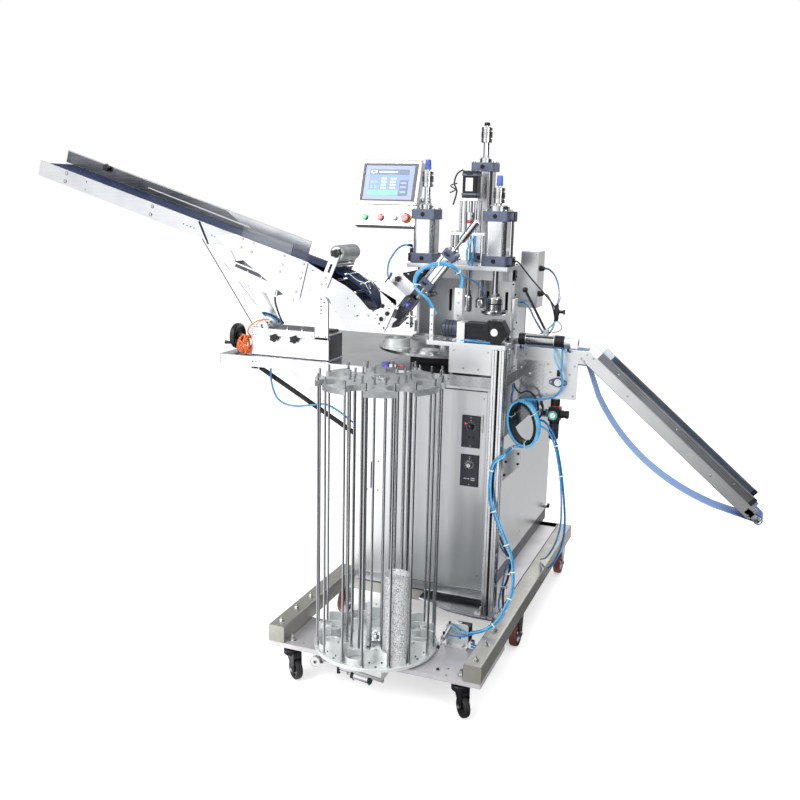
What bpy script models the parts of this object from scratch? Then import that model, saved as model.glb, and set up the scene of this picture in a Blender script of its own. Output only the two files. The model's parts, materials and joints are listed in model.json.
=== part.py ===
# Tartlet shell maker: an automatic machine that presses pastry shells into foil cups.
# Metres, +Z up. The model stands on its casters; X runs to the right, Y to the back.
# The machine frame has its zero at the floor, under the middle of the chassis's front edge.
# One empty carries everything and moves that frame so that the origin is under the
# middle of the whole machine.
import math

import bmesh
import bpy
from mathutils import Matrix, Vector

# Fits and general values
GAP = 0.0003
MERGE = 0.000001
OVERRUN = 0.004
SINK = 0.001
SHARP = math.radians(35)
FINE, ROUND, LARGE, DISC = 6, 12, 20, 48

# Chassis
CHASSIS_WIDTH = 0.766
PLATE_DEPTH = 0.225
PLATE_EAR_DEPTH = 0.295
PLATE_THICK = 0.0167
CASTER_HEIGHT = 0.117
BEAM = 0.060
BEAM_WALL = 0.003
LEFT_BEAM_LENGTH = 0.600
RIGHT_BEAM_LENGTH = 1.450
CROSS_TUBE_BACK = 0.580
REAR_RAIL_X = -0.230
PLATFORM_THICK = 0.008
PLATFORM_INNER_X = 0.200
GUSSET_FRONT = 0.350
BOLT_FRONT, BOLT_PITCH = 0.041, 0.113
BOLT_RADIUS, BOLT_RISE = 0.006, 0.007
WASHER_RADIUS, WASHER_THICK = 0.011, 0.0015
BOLTS_PER_BEAM = 3

# Casters and wheels
CASTER_X, CASTER_Y = 0.307, 0.035
CASTER_TRAIL = 0.025
CASTER_HEADINGS = {"left": -37, "right": -49}
CASTER_WHEEL_RADIUS, CASTER_WHEEL_WIDTH = 0.0375, 0.022
STUD_RADIUS, STUD_RISE = 0.0065, 0.026
NUT_RADIUS, NUT_THICK = 0.011, 0.006
RACE_RADIUS, RACE_THICK = 0.020, 0.010
HOOD_RADIUS, HOOD_HEIGHT = 0.026, 0.018
CHEEK_THICK, CHEEK_WIDTH = 0.004, 0.030
SIDE_PLAY = 0.001
AXLE_RADIUS = 0.006
REAR_WHEEL_RADIUS, REAR_WHEEL_WIDTH = 0.050, 0.030
MID_WHEEL_Y, REAR_WHEEL_Y = 0.575, 1.345
BRACKET_THICK, BRACKET_LENGTH = 0.005, 0.080

# Cabinet
CABINET_LEFT, CABINET_WIDTH = -0.262, 0.512
CABINET_FRONT, CABINET_DEPTH = 0.450, 1.050
CABINET_HEIGHT = 0.8154
CABINET_WALL = 0.003
COVER_THICK = 0.002
COVER_LOW, COVER_HIGH = 0.095, 0.792
COVER_EDGE = 0.010
SIDE_COVER_EDGE = 0.030
VENT_COUNT, VENT_LENGTH, VENT_HEIGHT, VENT_PITCH = 8, 0.180, 0.006, 0.020
VENT_LOW = 0.560
CONTROL_X, CONTROL_WIDTH, CONTROL_HEIGHT = 0.185, 0.068, 0.117
CONTROL_THICK = 0.004
CONTROL_LEVELS = {"upper": 0.648, "lower": 0.505}
KNOB_RISE = {"upper": 0.018, "lower": 0.022}
KNOB_RADIUS, KNOB_DEPTH, KNOB_STEM = 0.0095, 0.014, 0.003
LAMP_RADIUS, LAMP_OFFSET = 0.004, 0.020

# Work table and its strut
TABLE_LEFT, TABLE_RIGHT = -0.810, 0.300
TABLE_FRONT, TABLE_BACK = 0.400, 1.200
TABLE_EDGE, TABLE_SHEET = 0.0397, 0.004
TABLE_RIB = 0.012
STRUT_FOOT_X, STRUT_DROP = -0.695, 0.240
STRUT_WIDTH, STRUT_THICK = 0.024, 0.012
STRUT_PAD, STRUT_PAD_THICK = 0.060, 0.004

# Front column and support
COLUMN_X, COLUMN_Y, COLUMN_SIZE = 0.2965, 0.3765, 0.045
COLUMN_GROOVE, COLUMN_GROOVE_DEPTH = 0.010, 0.008
SUPPORT_RISE = 0.1054
SUPPORT_LEFT, SUPPORT_THICK = 0.040, 0.015
SUPPORT_FRONT, SUPPORT_DEPTH = 0.360, 0.080
APRON_LEFT, APRON_DROP, APRON_THICK = 0.122, 0.090, 0.008
POST_X, POST_SIZE, POST_HEIGHT = 0.053, 0.014, 0.108

# Foil cup magazine
MAGAZINE_X, MAGAZINE_Y = -0.031, 0.123
STATIONS = 8
DISC_RADIUS, DISC_THICK, DISC_RISE = 0.213, 0.012, 0.006
STATION_RADIUS, POCKET_RADIUS, SLOT_HALF = 0.165, 0.0463, 0.0305
ROD_RADIUS, ROD_LENGTH = 0.0038, 0.8977
OUTER_ROD_RADIUS, OUTER_ROD_ANGLE = 0.204, 12.6
INNER_ROD_RADIUS, INNER_ROD_ANGLE = 0.100, 10.4
HUB_RADIUS = 0.050
TOP_DISC_THICK = 0.020
SEAT_RADIUS, SEAT_WALL, SEAT_HEIGHT = 0.040, 0.005, 0.043
WING_HEIGHT, WING_THICK = 0.048, 0.008
CUP_RADIUS, STACK_HEIGHT, CUP_RIM = 0.0425, 0.265, 0.0012
STOP_BAR_X, STOP_BAR_Y = -0.030, 0.060
STOP_BAR_WIDTH, STOP_BAR_THICK, STOP_BAR_HEIGHT = 0.016, 0.006, 0.165
BRACKET_HOLE = 0.003

# Magazine lock and the slide under the front plate
LOCK_BALL_PLACE = (0.191, 0.139, 0.161)
LOCK_HINGE_PLACE = (0.206, 0.226, 0.205)
LOCK_RADIUS, LOCK_ROD, LOCK_BALL = 0.009, 0.004, 0.0065
LOCK_SIDE, LOCK_PLATE_THICK, LOCK_PLATE_HEIGHT = 0.051, 0.006, 0.085
LOCK_BLOCK, LOCK_BLOCK_DEPTH, LOCK_BLOCK_HEIGHT = 0.050, 0.034, 0.058
SLIDE_Y, SLIDE_LEFT, SLIDE_RIGHT = 0.014, -0.202, 0.045
SLIDE_DROP_LEFT, SLIDE_DROP_RIGHT, SLIDE_BAR = 0.026, 0.052, 0.010
SLIDE_CYLINDER, SLIDE_CYLINDER_LENGTH = 0.013, 0.075
GUSSET_SIZE, GUSSET_THICK = 0.052, 0.008
ROLLER_RADIUS, ROLLER_WIDTH, ROLLER_PIN = 0.019, 0.012, 0.005

# Turntable, moulds and indexer
TURN_X, TURN_Y, TURN_RADIUS, TURN_THICK = 0.015, 0.650, 0.250, 0.010
INDEXER_WIDTH, INDEXER_DEPTH, INDEXER_HEIGHT = 0.210, 0.200, 0.0397
INDEXER_FLANGE, INDEXER_FLANGE_THICK = 0.060, 0.010
MOULD_CIRCLE = 0.200
MOULD_RADIUS, MOULD_HEIGHT, MOULD_BORE = 0.043, 0.012, 0.032
MOULD_FLANGE, MOULD_FLANGE_THICK = 0.050, 0.004
STACK_BASE, STACK_TOP, STACK_MOULD_HEIGHT = 0.052, 0.048, 0.038
STACK_STATION = 5
CENTRE_CAP, CENTRE_CAP_THICK = 0.045, 0.012
INDEXER_INPUT = 0.030

# Press frame
TOP_PLATE_LEFT, TOP_PLATE_RIGHT = -0.184, 0.213
PLATE_AHEAD, PLATE_MARGIN = 0.051, 0.011
TOP_PLATE_THICK, FRAME_HEIGHT = 0.016, 0.3357
FRAME_WALL, SIDE_WALL_BEHIND = 0.012, 0.071
SLOT_COUNT, SLOT_WIDTH, SLOT_LENGTH, SLOT_RISE = 4, 0.012, 0.090, 0.140
FRAME_TIE, FRAME_TIE_RISE = 0.020, 0.290
ELECTRIC_WIDTH, ELECTRIC_DEPTH = 0.070, 0.100
ELECTRIC_LOW, ELECTRIC_HEIGHT = 0.185, 0.218
GLAND_RADIUS, GLAND_LENGTH = 0.011, 0.018
SCREEN_POST, SCREEN_TUBE = 0.024, 0.0125

# Vertical presses
LEFT_PRESS_X, RIGHT_PRESS_X, PRESS_BEHIND = -0.126, 0.156, 0.141
CAP_SIZE, CAP_CORNER, CAP_HEIGHT = 0.095, 0.008, 0.038
BARREL_SIZE, BARREL_CORNER, BARREL_HEIGHT = 0.082, 0.018, 0.126
BUSH_RADIUS, BUSH_HEIGHT = 0.0235, 0.020
PRESS_ROD, PRESS_STROKE = 0.0115, 0.055
SLEEVE_RADIUS, SLEEVE_HEIGHT, SLEEVE_REST = 0.0215, 0.058, 0.007
KNOB_NECK, TAIL_KNOB_RADIUS, TAIL_KNOB_HEIGHT = 0.006, 0.012, 0.037
HEAD_RADIUS, HEAD_HEIGHT, HEAD_DROP = 0.0295, 0.052, 0.096
RING_RADIUS, RING_THICK = 0.050, 0.018
TALL_X, TALL_BEHIND, TALL_CAP = 0.0366, 0.214, 0.092
TALL_BARREL, TALL_BARREL_HEIGHT, TALL_CAP_HEIGHT = 0.070, 0.315, 0.034
TALL_SLEEVE_REST, TALL_STROKE = 0.056, 0.050
TALL_HEAD, TALL_HEAD_HEIGHT, TALL_HEAD_DROP = 0.020, 0.040, 0.130
SWITCH_WIDTH, SWITCH_ROD = 0.020, 0.004

# Spindle tower
TOWER_X, TOWER_BEHIND, TOWER_WIDTH, TOWER_DEPTH = 0.030, 0.059, 0.140, 0.080
TOWER_LOW, TOWER_MID, TOWER_PLATE = 0.108, 0.236, 0.010
TOWER_POST = 0.007
MOTOR_SIZE, MOTOR_HEIGHT, MOTOR_CORNER = 0.059, 0.101, 0.005
MOTOR_BAND = 0.004
SPINDLE_RADIUS, COUPLING_RADIUS, COUPLING_HEIGHT = 0.008, 0.0195, 0.072
SPINDLE_HEAD, SPINDLE_HEAD_HEIGHT, SPINDLE_TIP = 0.018, 0.066, 0.168

# Gearmotor on the front support
GEAR_X, GEAR_ACROSS, GEAR_DEPTH, GEAR_BORE = 0.274, 0.080, 0.052, 0.013
GEAR_BODY, GEAR_BODY_LEFT, GEAR_PLATE, GEAR_PLATE_LEFT = 0.056, 0.172, 0.068, 0.145
GEAR_BELL_LEFT, GEAR_BELL = 0.088, 0.030
GEAR_WALL = 0.003

# Screen panel
PANEL_X, PANEL_BEHIND, PANEL_RISE = -0.447, 0.059, 0.570
PANEL_TILT = 17.9
PANEL_WIDTH, PANEL_HEIGHT, PANEL_SKIRT, PANEL_DEPTH = 0.255, 0.175, 0.087, 0.045
BEZEL_THICK, BEZEL_WALL, SCREEN_RECESS = 0.008, 0.014, 0.003
BUTTON_DROP = 0.054
BUTTON_PLACES = {"start_button": 0.043, "stop_button": 0.110, "selector_knob": 0.169,
                 "estop_button": 0.217}
BUTTON_RADIUS, BUTTON_HEIGHT, BUTTON_STEM, BUTTON_TRAVEL = 0.011, 0.006, 0.005, 0.0035
ESTOP_RADIUS, ESTOP_HEIGHT = 0.018, 0.013
CLAMP_WIDTH, CLAMP_SIZE, CLAMP_RISE = 0.040, 0.038, 0.035

# Infeed conveyor: the knee is the lower end of the long plate's top edge
KNEE_X, KNEE_RISE, INFEED_SLOPE = -0.449, 0.360, 16.45
INFEED_LENGTH, INFEED_PLATE_HEIGHT = 1.233, 0.060
INFEED_FRONT, INFEED_SPACING, SIDE_SHEET = 0.420, 0.145, 0.005
GUARD_HEIGHT, GUARD_SHORT = 0.048, 0.070
STEEP_SPAN, STEEP_DROP = 0.356, 0.235
STEEP_SHARES = ((0.35, 0.27), (0.51, 0.40), (0.69, 0.66), (1.00, 0.78), (0.85, 0.99), (0.45, 1.00),
                (0.27, 0.63), (0.18, 0.51), (-0.11, 0.57))
HANGER_SPAN, HANGER_DROP, HANGER_THICK = 0.388, 0.148, 0.005
HANGER_SHARES = ((0.00, -0.54), (0.23, -0.60), (1.00, 0.03), (0.91, 0.95), (0.84, 1.00))
BOX_SPAN, BOX_DROP = 0.266, 0.135
BOX_SHARES = ((-0.26, 0.50), (-0.15, 0.08), (0.58, 0.52), (0.74, 0.47), (0.71, 0.91), (0.52, 1.00))
LEG_HIGH_LEFT, LEG_HIGH_RIGHT = -0.895, -0.770
LEG_LOW_LEFT, LEG_LOW_RIGHT = -0.686, -0.620
BELT_THICK, BELT_PLAY, BELT_DEPTH = 0.003, 0.004, 0.040
NOSE_X, NOSE_DROP, NOSE_RADIUS = 0.270, 0.156, 0.010
TAIL_ROLLER, WRAP_STEP = 0.0155, 14
BED_THICK = 0.006
ARM_WIDTH, ARM_THICK = 0.034, 0.006
SLOT_SHARES = (1.25, 0.70)
ARM_FOOT_X, ARM_FOOT_DROP = 0.068, 0.084
DRUM_X, DRUM_RISE, DRUM_RADIUS = 0.118, 0.036, 0.028
IDLER_X, IDLER_DROP, IDLER_RADIUS = 0.104, 0.008, 0.014
STAR_RADIUS, STAR_DEPTH, STAR_LOBES = 0.016, 0.014, 5

# Infeed base unit, upright and handwheel
BASE_LEFT, BASE_RIGHT, BASE_FRONT, BASE_BACK = -0.688, -0.365, 0.430, 0.550
BASE_HEIGHT, BASE_BAR_HEIGHT, BASE_STEP = 0.105, 0.025, 0.010
BASE_KNOBS = (-0.585, -0.501)
BASE_KNOB_RISE = 0.073
UPRIGHT_LEFT, UPRIGHT_WIDTH, UPRIGHT_TOP = -0.412, 0.054, 0.240
WHEEL_RISE, HANDWHEEL_RADIUS, HANDWHEEL_THICK = 0.058, 0.049, 0.022
HANDWHEEL_REACH, CRANK_LENGTH, CRANK_RADIUS = 0.105, 0.030, 0.007

# Cutter head and feed cylinder, along an axis that falls to the left
FEED_X, FEED_Y, FEED_RISE, FEED_ANGLE = -0.020, 0.500, 0.288, 52
FEED_CAP, FEED_CAP_LENGTH, FEED_BARREL, FEED_BARREL_LENGTH = 0.050, 0.030, 0.042, 0.102
FEED_ROD, FEED_REACH, FEED_STROKE = 0.006, 0.180, 0.030
FEED_TAIL, FEED_SLEEVE, FEED_SLEEVE_LENGTH, FEED_SLEEVE_REST = 0.010, 0.0125, 0.083, 0.010
BLOCK_WIDTH, BLOCK_LENGTH, BLOCK_OFFSET, BLOCK_AHEAD = 0.086, 0.090, 0.016, 0.010
BLOCK_FRONT, BLOCK_DEPTH = 0.412, 0.128
CHUTE_WALL, CHUTE_LENGTH, CHUTE_WIDTH, CHUTE_BACK = 0.003, 0.082, 0.031, 0.012
WEDGE_LENGTH, WEDGE_DEPTH, WEDGE_TOE = 0.070, 0.060, 0.0076
CUTTER_SPAN, CUTTER_DROP, CUTTER_AHEAD = 0.100, 0.151, 0.015
CUTTER_SHARES = ((0.34, 0.00), (0.97, 0.20), (1.00, 0.30), (0.54, 1.00), (0.00, 0.70), (0.13, 0.50),
                 (0.45, 0.40))

# Outfeed conveyor
OUT_START_X, OUT_TOP_RISE, OUT_KNEE_X = 0.296, 0.0855, 0.565
OUT_CENTRE_Y, OUT_SPACING, OUT_DROP_ANGLE = 0.650, 0.092, 40.0
OUT_LENGTH, OUT_PLATE_HEIGHT, OUT_SHEET = 0.772, 0.047, 0.004
OUT_TAIL_REACH, OUT_TAIL_DROP, OUT_TAIL_HALF = 0.023, 0.026, 0.011
RAIL_WIDTH, RAIL_HEIGHT, RAIL_LIFT, RAIL_START = 0.012, 0.028, 0.025, -0.010
RAIL_BACK_START, RAIL_SHORT = 0.026, 0.030
OUT_BELT_DROP, OUT_BELT_DEPTH, OUT_SAG = 0.010, 0.026, 0.110
OUT_ROLLER = 0.012
SADDLE_LEFT, SADDLE_RIGHT, SADDLE_HEIGHT = 0.402, 0.520, 0.134
SADDLE_SLOT, SADDLE_SLOT_RISE = 0.012, 0.080
BEARING_X, BEARING_RISE, BEARING_RADIUS = 0.453, 0.059, 0.019
BRACE_LEFT_DROP, BRACE_RIGHT_DROP = 0.230, 0.130

# Pusher cylinder and the ball lever
PUSH_Y, PUSH_RISE, PUSH_RADIUS = 0.600, 0.114, 0.021
PUSH_LENGTH, PUSH_END, PUSH_END_RADIUS = 0.200, 0.025, 0.023
PUSH_PLATE_X, PUSH_PLATE_THICK, PUSH_PLATE_WIDTH = 0.284, 0.008, 0.080
PUSH_PLATE_HEIGHT = 0.255
PUSH_ROD, PUSH_REACH, PUSH_TIP, PUSH_STROKE = 0.006, 0.022, 0.011, 0.050
LEVER_X, LEVER_HUB, LEVER_THICK, LEVER_PIN = 0.400, 0.008, 0.010, 0.003
LEVER_LENGTH, LEVER_LEAN, LEVER_ROD, LEVER_BALL = 0.165, 30, 0.0035, 0.010
EAR_THICK = 0.004

# Air service unit
AIR_X, AIR_Y, AIR_RISE = 0.440, 0.640, -0.155
AIR_BODY, AIR_BODY_HEIGHT = 0.042, 0.052
AIR_KNOB, AIR_KNOB_HEIGHT, AIR_BOWL, AIR_BOWL_HEIGHT = 0.017, 0.030, 0.018, 0.075
AIR_GAUGE, AIR_GAUGE_DEPTH, AIR_SIDE_KNOB = 0.020, 0.018, 0.015
AIR_BRACKET, AIR_BRACKET_THICK = 0.030, 0.006

# Hoses: radii, and routes chosen by hand in the machine frame
HOSE_RADIUS = 0.005
COIL_LOOPS, COIL_WIDE, COIL_TALL, COIL_PITCH = 5, 0.052, 0.084, 0.0125
COIL_X, COIL_Z, COIL_LEAN = 0.345, 0.866, 14
LOOP_POINTS = 24
BUNDLE_RADIUS = 0.006
BUNDLE_ROUTE = ((0.352, 0.5245, 0.790), (0.343, 0.495, 0.798), (0.336, 0.440, 0.803), (0.334, 0.390, 0.800),
                (0.331, 0.351, 0.794),
                (0.304, 0.336, 0.772), (0.295, 0.335, 0.728), (0.294, 0.335, 0.674), (0.304, 0.333, 0.619),
                (0.343, 0.333, 0.530), (0.380, 0.330, 0.450), (0.391, 0.325, 0.395), (0.395, 0.310, 0.333),
                (0.382, 0.285, 0.282), (0.363, 0.255, 0.240), (0.329, 0.232, 0.212), (0.300, 0.231, 0.196),
                (0.277, 0.231, 0.190))
ORANGE_RADIUS, ORANGE_LOOPS, ORANGE_COIL, ORANGE_LENGTH = 0.0028, 6, 0.034, 0.052
ORANGE_Y = 0.440
ORANGE_POINTS = 10
HOSE_STEP = 2.5

# Levels that follow from the sizes above
plate_top = CASTER_HEIGHT + PLATE_THICK
beam_low = plate_top + GAP
beam_top = beam_low + BEAM
cabinet_low = beam_top + GAP
cabinet_top = cabinet_low + CABINET_HEIGHT
table_low = cabinet_top + GAP
table_top = table_low + TABLE_EDGE
beam_x = (CHASSIS_WIDTH - BEAM) / 2
column_low = beam_top + GAP
support_low = table_top + SUPPORT_RISE
column_height = support_low - GAP - column_low
support_top = support_low + SUPPORT_THICK
lock_right = CHASSIS_WIDTH / 2 - BEAM - LOCK_SIDE
disc_low = plate_top + DISC_RISE
disc_top = disc_low + DISC_THICK
rods_top = disc_top + ROD_LENGTH
frame_top = table_top + GAP + FRAME_HEIGHT + TOP_PLATE_THICK
turn_low = table_top + GAP + INDEXER_HEIGHT + INDEXER_FLANGE_THICK + GAP
turn_top = turn_low + TURN_THICK
axle_bore = AXLE_RADIUS + GAP
press_y = TURN_Y + PRESS_BEHIND
tall_y = press_y + TALL_BEHIND
tower_y = press_y + TOWER_BEHIND
panel_y = press_y + PANEL_BEHIND
top_plate_front = press_y - PLATE_AHEAD
top_plate_back = tall_y + TALL_CAP / 2 + PLATE_MARGIN
side_wall_front = press_y + SIDE_WALL_BEHIND
knee_z = table_top + KNEE_RISE
slope = math.radians(INFEED_SLOPE)
out_knee_z = table_top + OUT_TOP_RISE
out_slope = math.radians(OUT_DROP_ANGLE)
out_front = OUT_CENTRE_Y - OUT_SPACING / 2
out_back = OUT_CENTRE_Y + OUT_SPACING / 2
infeed_back = INFEED_FRONT + INFEED_SPACING
feed_angle = math.radians(FEED_ANGLE)
feed_low = Vector((FEED_X, FEED_Y, table_top + FEED_RISE))
feed_up = Vector((math.cos(feed_angle), 0, math.sin(feed_angle)))
feed_across = Vector((-math.sin(feed_angle), 0, math.cos(feed_angle)))
infeed_left = KNEE_X - INFEED_LENGTH * math.cos(slope) - INFEED_PLATE_HEIGHT * math.sin(slope)
out_tail = OUT_LENGTH + OUT_TAIL_REACH
outfeed_right = (OUT_KNEE_X + out_tail * math.cos(out_slope) - OUT_TAIL_DROP * math.sin(out_slope)
                 + OUT_ROLLER + GAP + BELT_THICK)
machine_front = MAGAZINE_Y - DISC_RADIUS
machine_back = CABINET_FRONT + CABINET_DEPTH

for old in list(bpy.data.objects):
    bpy.data.objects.remove(old, do_unlink=True)

machine = bpy.data.objects.new("machine", None)
machine.location = (-(infeed_left + outfeed_right) / 2, -(machine_front + machine_back) / 2, 0)
bpy.context.scene.collection.objects.link(machine)


# Materials
def finish(name, red, green, blue, roughness, metallic):
    made = bpy.data.materials.new(name)
    made.use_nodes = True
    shader = made.node_tree.nodes["Principled BSDF"]
    shader.inputs["Base Color"].default_value = (red, green, blue, 1)
    shader.inputs["Roughness"].default_value = roughness
    shader.inputs["Metallic"].default_value = metallic
    made.diffuse_color = (red, green, blue, 1)
    return made


steel = finish("brushed_stainless", 0.62, 0.62, 0.62, 0.32, 1)
aluminium = finish("anodised_aluminium", 0.72, 0.73, 0.74, 0.38, 1)
chrome = finish("ground_steel", 0.75, 0.75, 0.76, 0.16, 1)
dark_steel = finish("blackened_steel", 0.03, 0.03, 0.035, 0.45, 0.6)
black_plastic = finish("black_plastic", 0.012, 0.012, 0.013, 0.45, 0)
grey_cast = finish("grey_cap_enamel", 0.12, 0.13, 0.17, 0.45, 0.3)
rubber = finish("black_rubber", 0.015, 0.015, 0.016, 0.7, 0)
red_tread = finish("red_brown_tread", 0.09, 0.018, 0.014, 0.6, 0)
navy_belt = finish("navy_belt", 0.010, 0.018, 0.055, 0.55, 0)
light_belt = finish("light_blue_belt", 0.10, 0.24, 0.52, 0.5, 0)
blue_hose = finish("blue_air_hose", 0.05, 0.30, 0.55, 0.3, 0)
orange_hose = finish("orange_coil_hose", 0.80, 0.16, 0.02, 0.35, 0)
foil = finish("crinkled_foil", 0.80, 0.80, 0.80, 0.28, 1)
panel_grey = finish("panel_aluminium", 0.70, 0.70, 0.71, 0.35, 0.9)
green_cap = finish("green_button", 0.02, 0.35, 0.22, 0.35, 0)
red_cap = finish("red_button", 0.50, 0.02, 0.03, 0.35, 0)
white_cap = finish("white_selector", 0.70, 0.70, 0.68, 0.4, 0)


# Closed shapes
def box(low, high):
    shape = bmesh.new()
    bmesh.ops.create_cube(shape, size=1)
    for vertex in shape.verts:
        vertex.co = [a + (b - a) * (c + 1 / 2) for a, b, c in zip(low, high, vertex.co)]
    return shape


def centred_box(middle, size):
    low = [m - s / 2 for m, s in zip(middle, size)]
    high = [m + s / 2 for m, s in zip(middle, size)]
    return box(low, high)


def bar(start, end, radius, sides=ROUND, tip=None):
    start, end = Vector(start), Vector(end)
    shape = bmesh.new()
    turn = (end - start).to_track_quat("Z", "Y").to_matrix().to_4x4()
    place = Matrix.Translation((start + end) / 2) @ turn
    bmesh.ops.create_cone(shape, cap_ends=True, segments=sides, radius1=radius,
                          radius2=radius if tip is None else tip, depth=(end - start).length,
                          matrix=place)
    return shape


def prism(outline, across, near, far):
    order = {"X": lambda a, b, c: (c, a, b), "Y": lambda a, b, c: (a, c, b), "Z": lambda a, b, c: (a, b, c)}
    place = order[across]
    shape = bmesh.new()
    face = shape.faces.new([shape.verts.new(place(a, b, near)) for a, b in outline])
    grown = bmesh.ops.extrude_face_region(shape, geom=[face])
    moved = [item for item in grown["geom"] if isinstance(item, bmesh.types.BMVert)]
    bmesh.ops.translate(shape, verts=moved, vec=place(0, 0, far - near))
    bmesh.ops.recalc_face_normals(shape, faces=shape.faces)
    return shape


def turned(profile, base, direction, sides=ROUND):
    # profile is a closed loop of radius and height, revolved about the line from base
    turn = Vector(direction).to_track_quat("Z", "Y").to_matrix().to_4x4()
    place = Matrix.Translation(base) @ turn
    shape = bmesh.new()
    rings = []
    for step in range(sides):
        angle = math.tau * step / sides
        rings.append([shape.verts.new(place @ Vector((r * math.cos(angle), r * math.sin(angle), h)))
                      for r, h in profile])
    for step in range(sides):
        here, there = rings[step], rings[(step + 1) % sides]
        for index in range(len(profile)):
            after = (index + 1) % len(profile)
            shape.faces.new((here[index], here[after], there[after], there[index]))
    bmesh.ops.remove_doubles(shape, verts=shape.verts, dist=MERGE)
    bmesh.ops.dissolve_degenerate(shape, edges=shape.edges, dist=MERGE)
    bare = [edge for edge in shape.edges if not edge.link_faces]
    bmesh.ops.delete(shape, geom=bare, context="EDGES")
    bmesh.ops.recalc_face_normals(shape, faces=shape.faces)
    return shape


def slab(start, end, width, depth, near):
    # a flat bar in the XZ plane from start to end, its depth running back from near
    start, end = Vector((start[0], start[1])), Vector((end[0], end[1]))
    side = (end - start).normalized().orthogonal() * width / 2
    corners = (start - side, start + side, end + side, end - side)
    return prism([tuple(corner) for corner in corners], "Y", near, near + depth)


def square_with_corners(size, corner):
    half = size / 2
    inner = half - corner
    return ((half, -inner), (half, inner), (inner, half), (-inner, half),
            (-half, inner), (-half, -inner), (-inner, -half), (inner, -half))


def post(x, y, low, high, size, corner):
    outline = [(x + a, y + b) for a, b in square_with_corners(size, corner)]
    return prism(outline, "Z", low, high)


def arc(centre, radius, first, last, count):
    points = []
    for step in range(count):
        angle = math.radians(first + (last - first) * step / (count - 1))
        points.append((centre[0] + radius * math.cos(angle), centre[1] + radius * math.sin(angle)))
    return points


def star_knob(x, y, z, back):
    # a lobed hand knob facing the front, with the stud that holds it
    outline = []
    lobe_share, valley_share = 1.0, 0.72
    for step in range(STAR_LOBES * 2):
        reach = STAR_RADIUS * (valley_share if step % 2 else lobe_share)
        angle = math.pi * step / STAR_LOBES
        outline.append((x + reach * math.cos(angle), z + reach * math.sin(angle)))
    head = prism(outline, "Y", y, y + STAR_DEPTH)
    return [head, bar((x, y + STAR_DEPTH / 2, z), (x, back, z), BOLT_RADIUS, FINE)]


def shares_outline(corner, span, drop, shares):
    return [(corner[0] + span * a, corner[1] - drop * b) for a, b in shares]


def combined(shapes, name, pivot):
    whole = bmesh.new()
    for shape in shapes:
        single = bpy.data.meshes.new(name)
        shape.to_mesh(single)
        shape.free()
        whole.from_mesh(single)
        bpy.data.meshes.remove(single)
    bmesh.ops.translate(whole, verts=whole.verts, vec=[-value for value in pivot])
    mesh = bpy.data.meshes.new(name)
    whole.to_mesh(mesh)
    whole.free()
    mesh.shade_smooth()
    mesh.set_sharp_from_angle(angle=SHARP)
    return mesh


def operand(body, name, shapes, pivot, operation):
    helper = bpy.data.objects.new(name, combined(shapes, name, pivot))
    helper.hide_render = True
    helper.display_type = "WIRE"
    helper.parent = body
    bpy.context.scene.collection.objects.link(helper)
    step = body.modifiers.new(operation.lower(), "BOOLEAN")
    step.operation = operation
    step.object = helper
    step.solver = "EXACT"
    step.use_self = True


def node(name, material, shapes, cuts=(), pivot=(0, 0, 0), heading=0):
    # one sub-part: its shapes joined into one body, its cuts taken out, its origin at the pivot
    body = bpy.data.objects.new(name, combined(shapes[:1], name, pivot))
    body.data.materials.append(material)
    bpy.context.scene.collection.objects.link(body)
    if len(shapes) > 1:
        operand(body, name + "_joined", shapes[1:], pivot, "UNION")
    if cuts:
        operand(body, name + "_cuts", cuts, pivot, "DIFFERENCE")
    body.location = pivot
    body.rotation_euler.z = heading
    body.parent = machine
    return body


def hose(name, material, points, radius, resolution):
    line = bpy.data.curves.new(name, "CURVE")
    line.dimensions = "3D"
    line.bevel_depth = radius
    line.bevel_resolution = resolution
    line.use_fill_caps = True
    run = line.splines.new("POLY")
    run.points.add(len(points) - 1)
    for place, point in zip(run.points, points):
        place.co = (*point, 1)
    tube = bpy.data.objects.new(name, line)
    line.materials.append(material)
    bpy.context.scene.collection.objects.link(tube)
    tube.parent = machine


def smooth_route(route, step):
    # evenly spaced points read from a smooth curve through the route's own points
    knots = [Vector(point) for point in route]
    knots = [knots[0] * 2 - knots[1]] + knots + [knots[-1] * 2 - knots[-2]]
    dense_count = 12
    dense = []
    for index in range(1, len(knots) - 2):
        p0, p1, p2, p3 = knots[index - 1:index + 3]
        for part in range(dense_count):
            t = part / dense_count
            dense.append(((2 * p1) + (p2 - p0) * t + (2 * p0 - 5 * p1 + 4 * p2 - p3) * t ** 2
                          + (3 * p1 - p0 - 3 * p2 + p3) * t ** 3) / 2)
    dense.append(knots[-2])
    points = [dense[0]]
    for point in dense[1:-1]:
        if (point - points[-1]).length >= step:
            points.append(point)
    points.append(dense[-1])
    return points


def with_straight_ends(points, radius):
    first = points[0] + (points[0] - points[1]).normalized() * radius * 2
    last = points[-1] + (points[-1] - points[-2]).normalized() * radius * 2
    return [first] + points + [last]


def least_gap(points, radius, skip):
    return min((a - b).length for i, a in enumerate(points) for b in points[i + skip:]) - radius * 2


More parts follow.
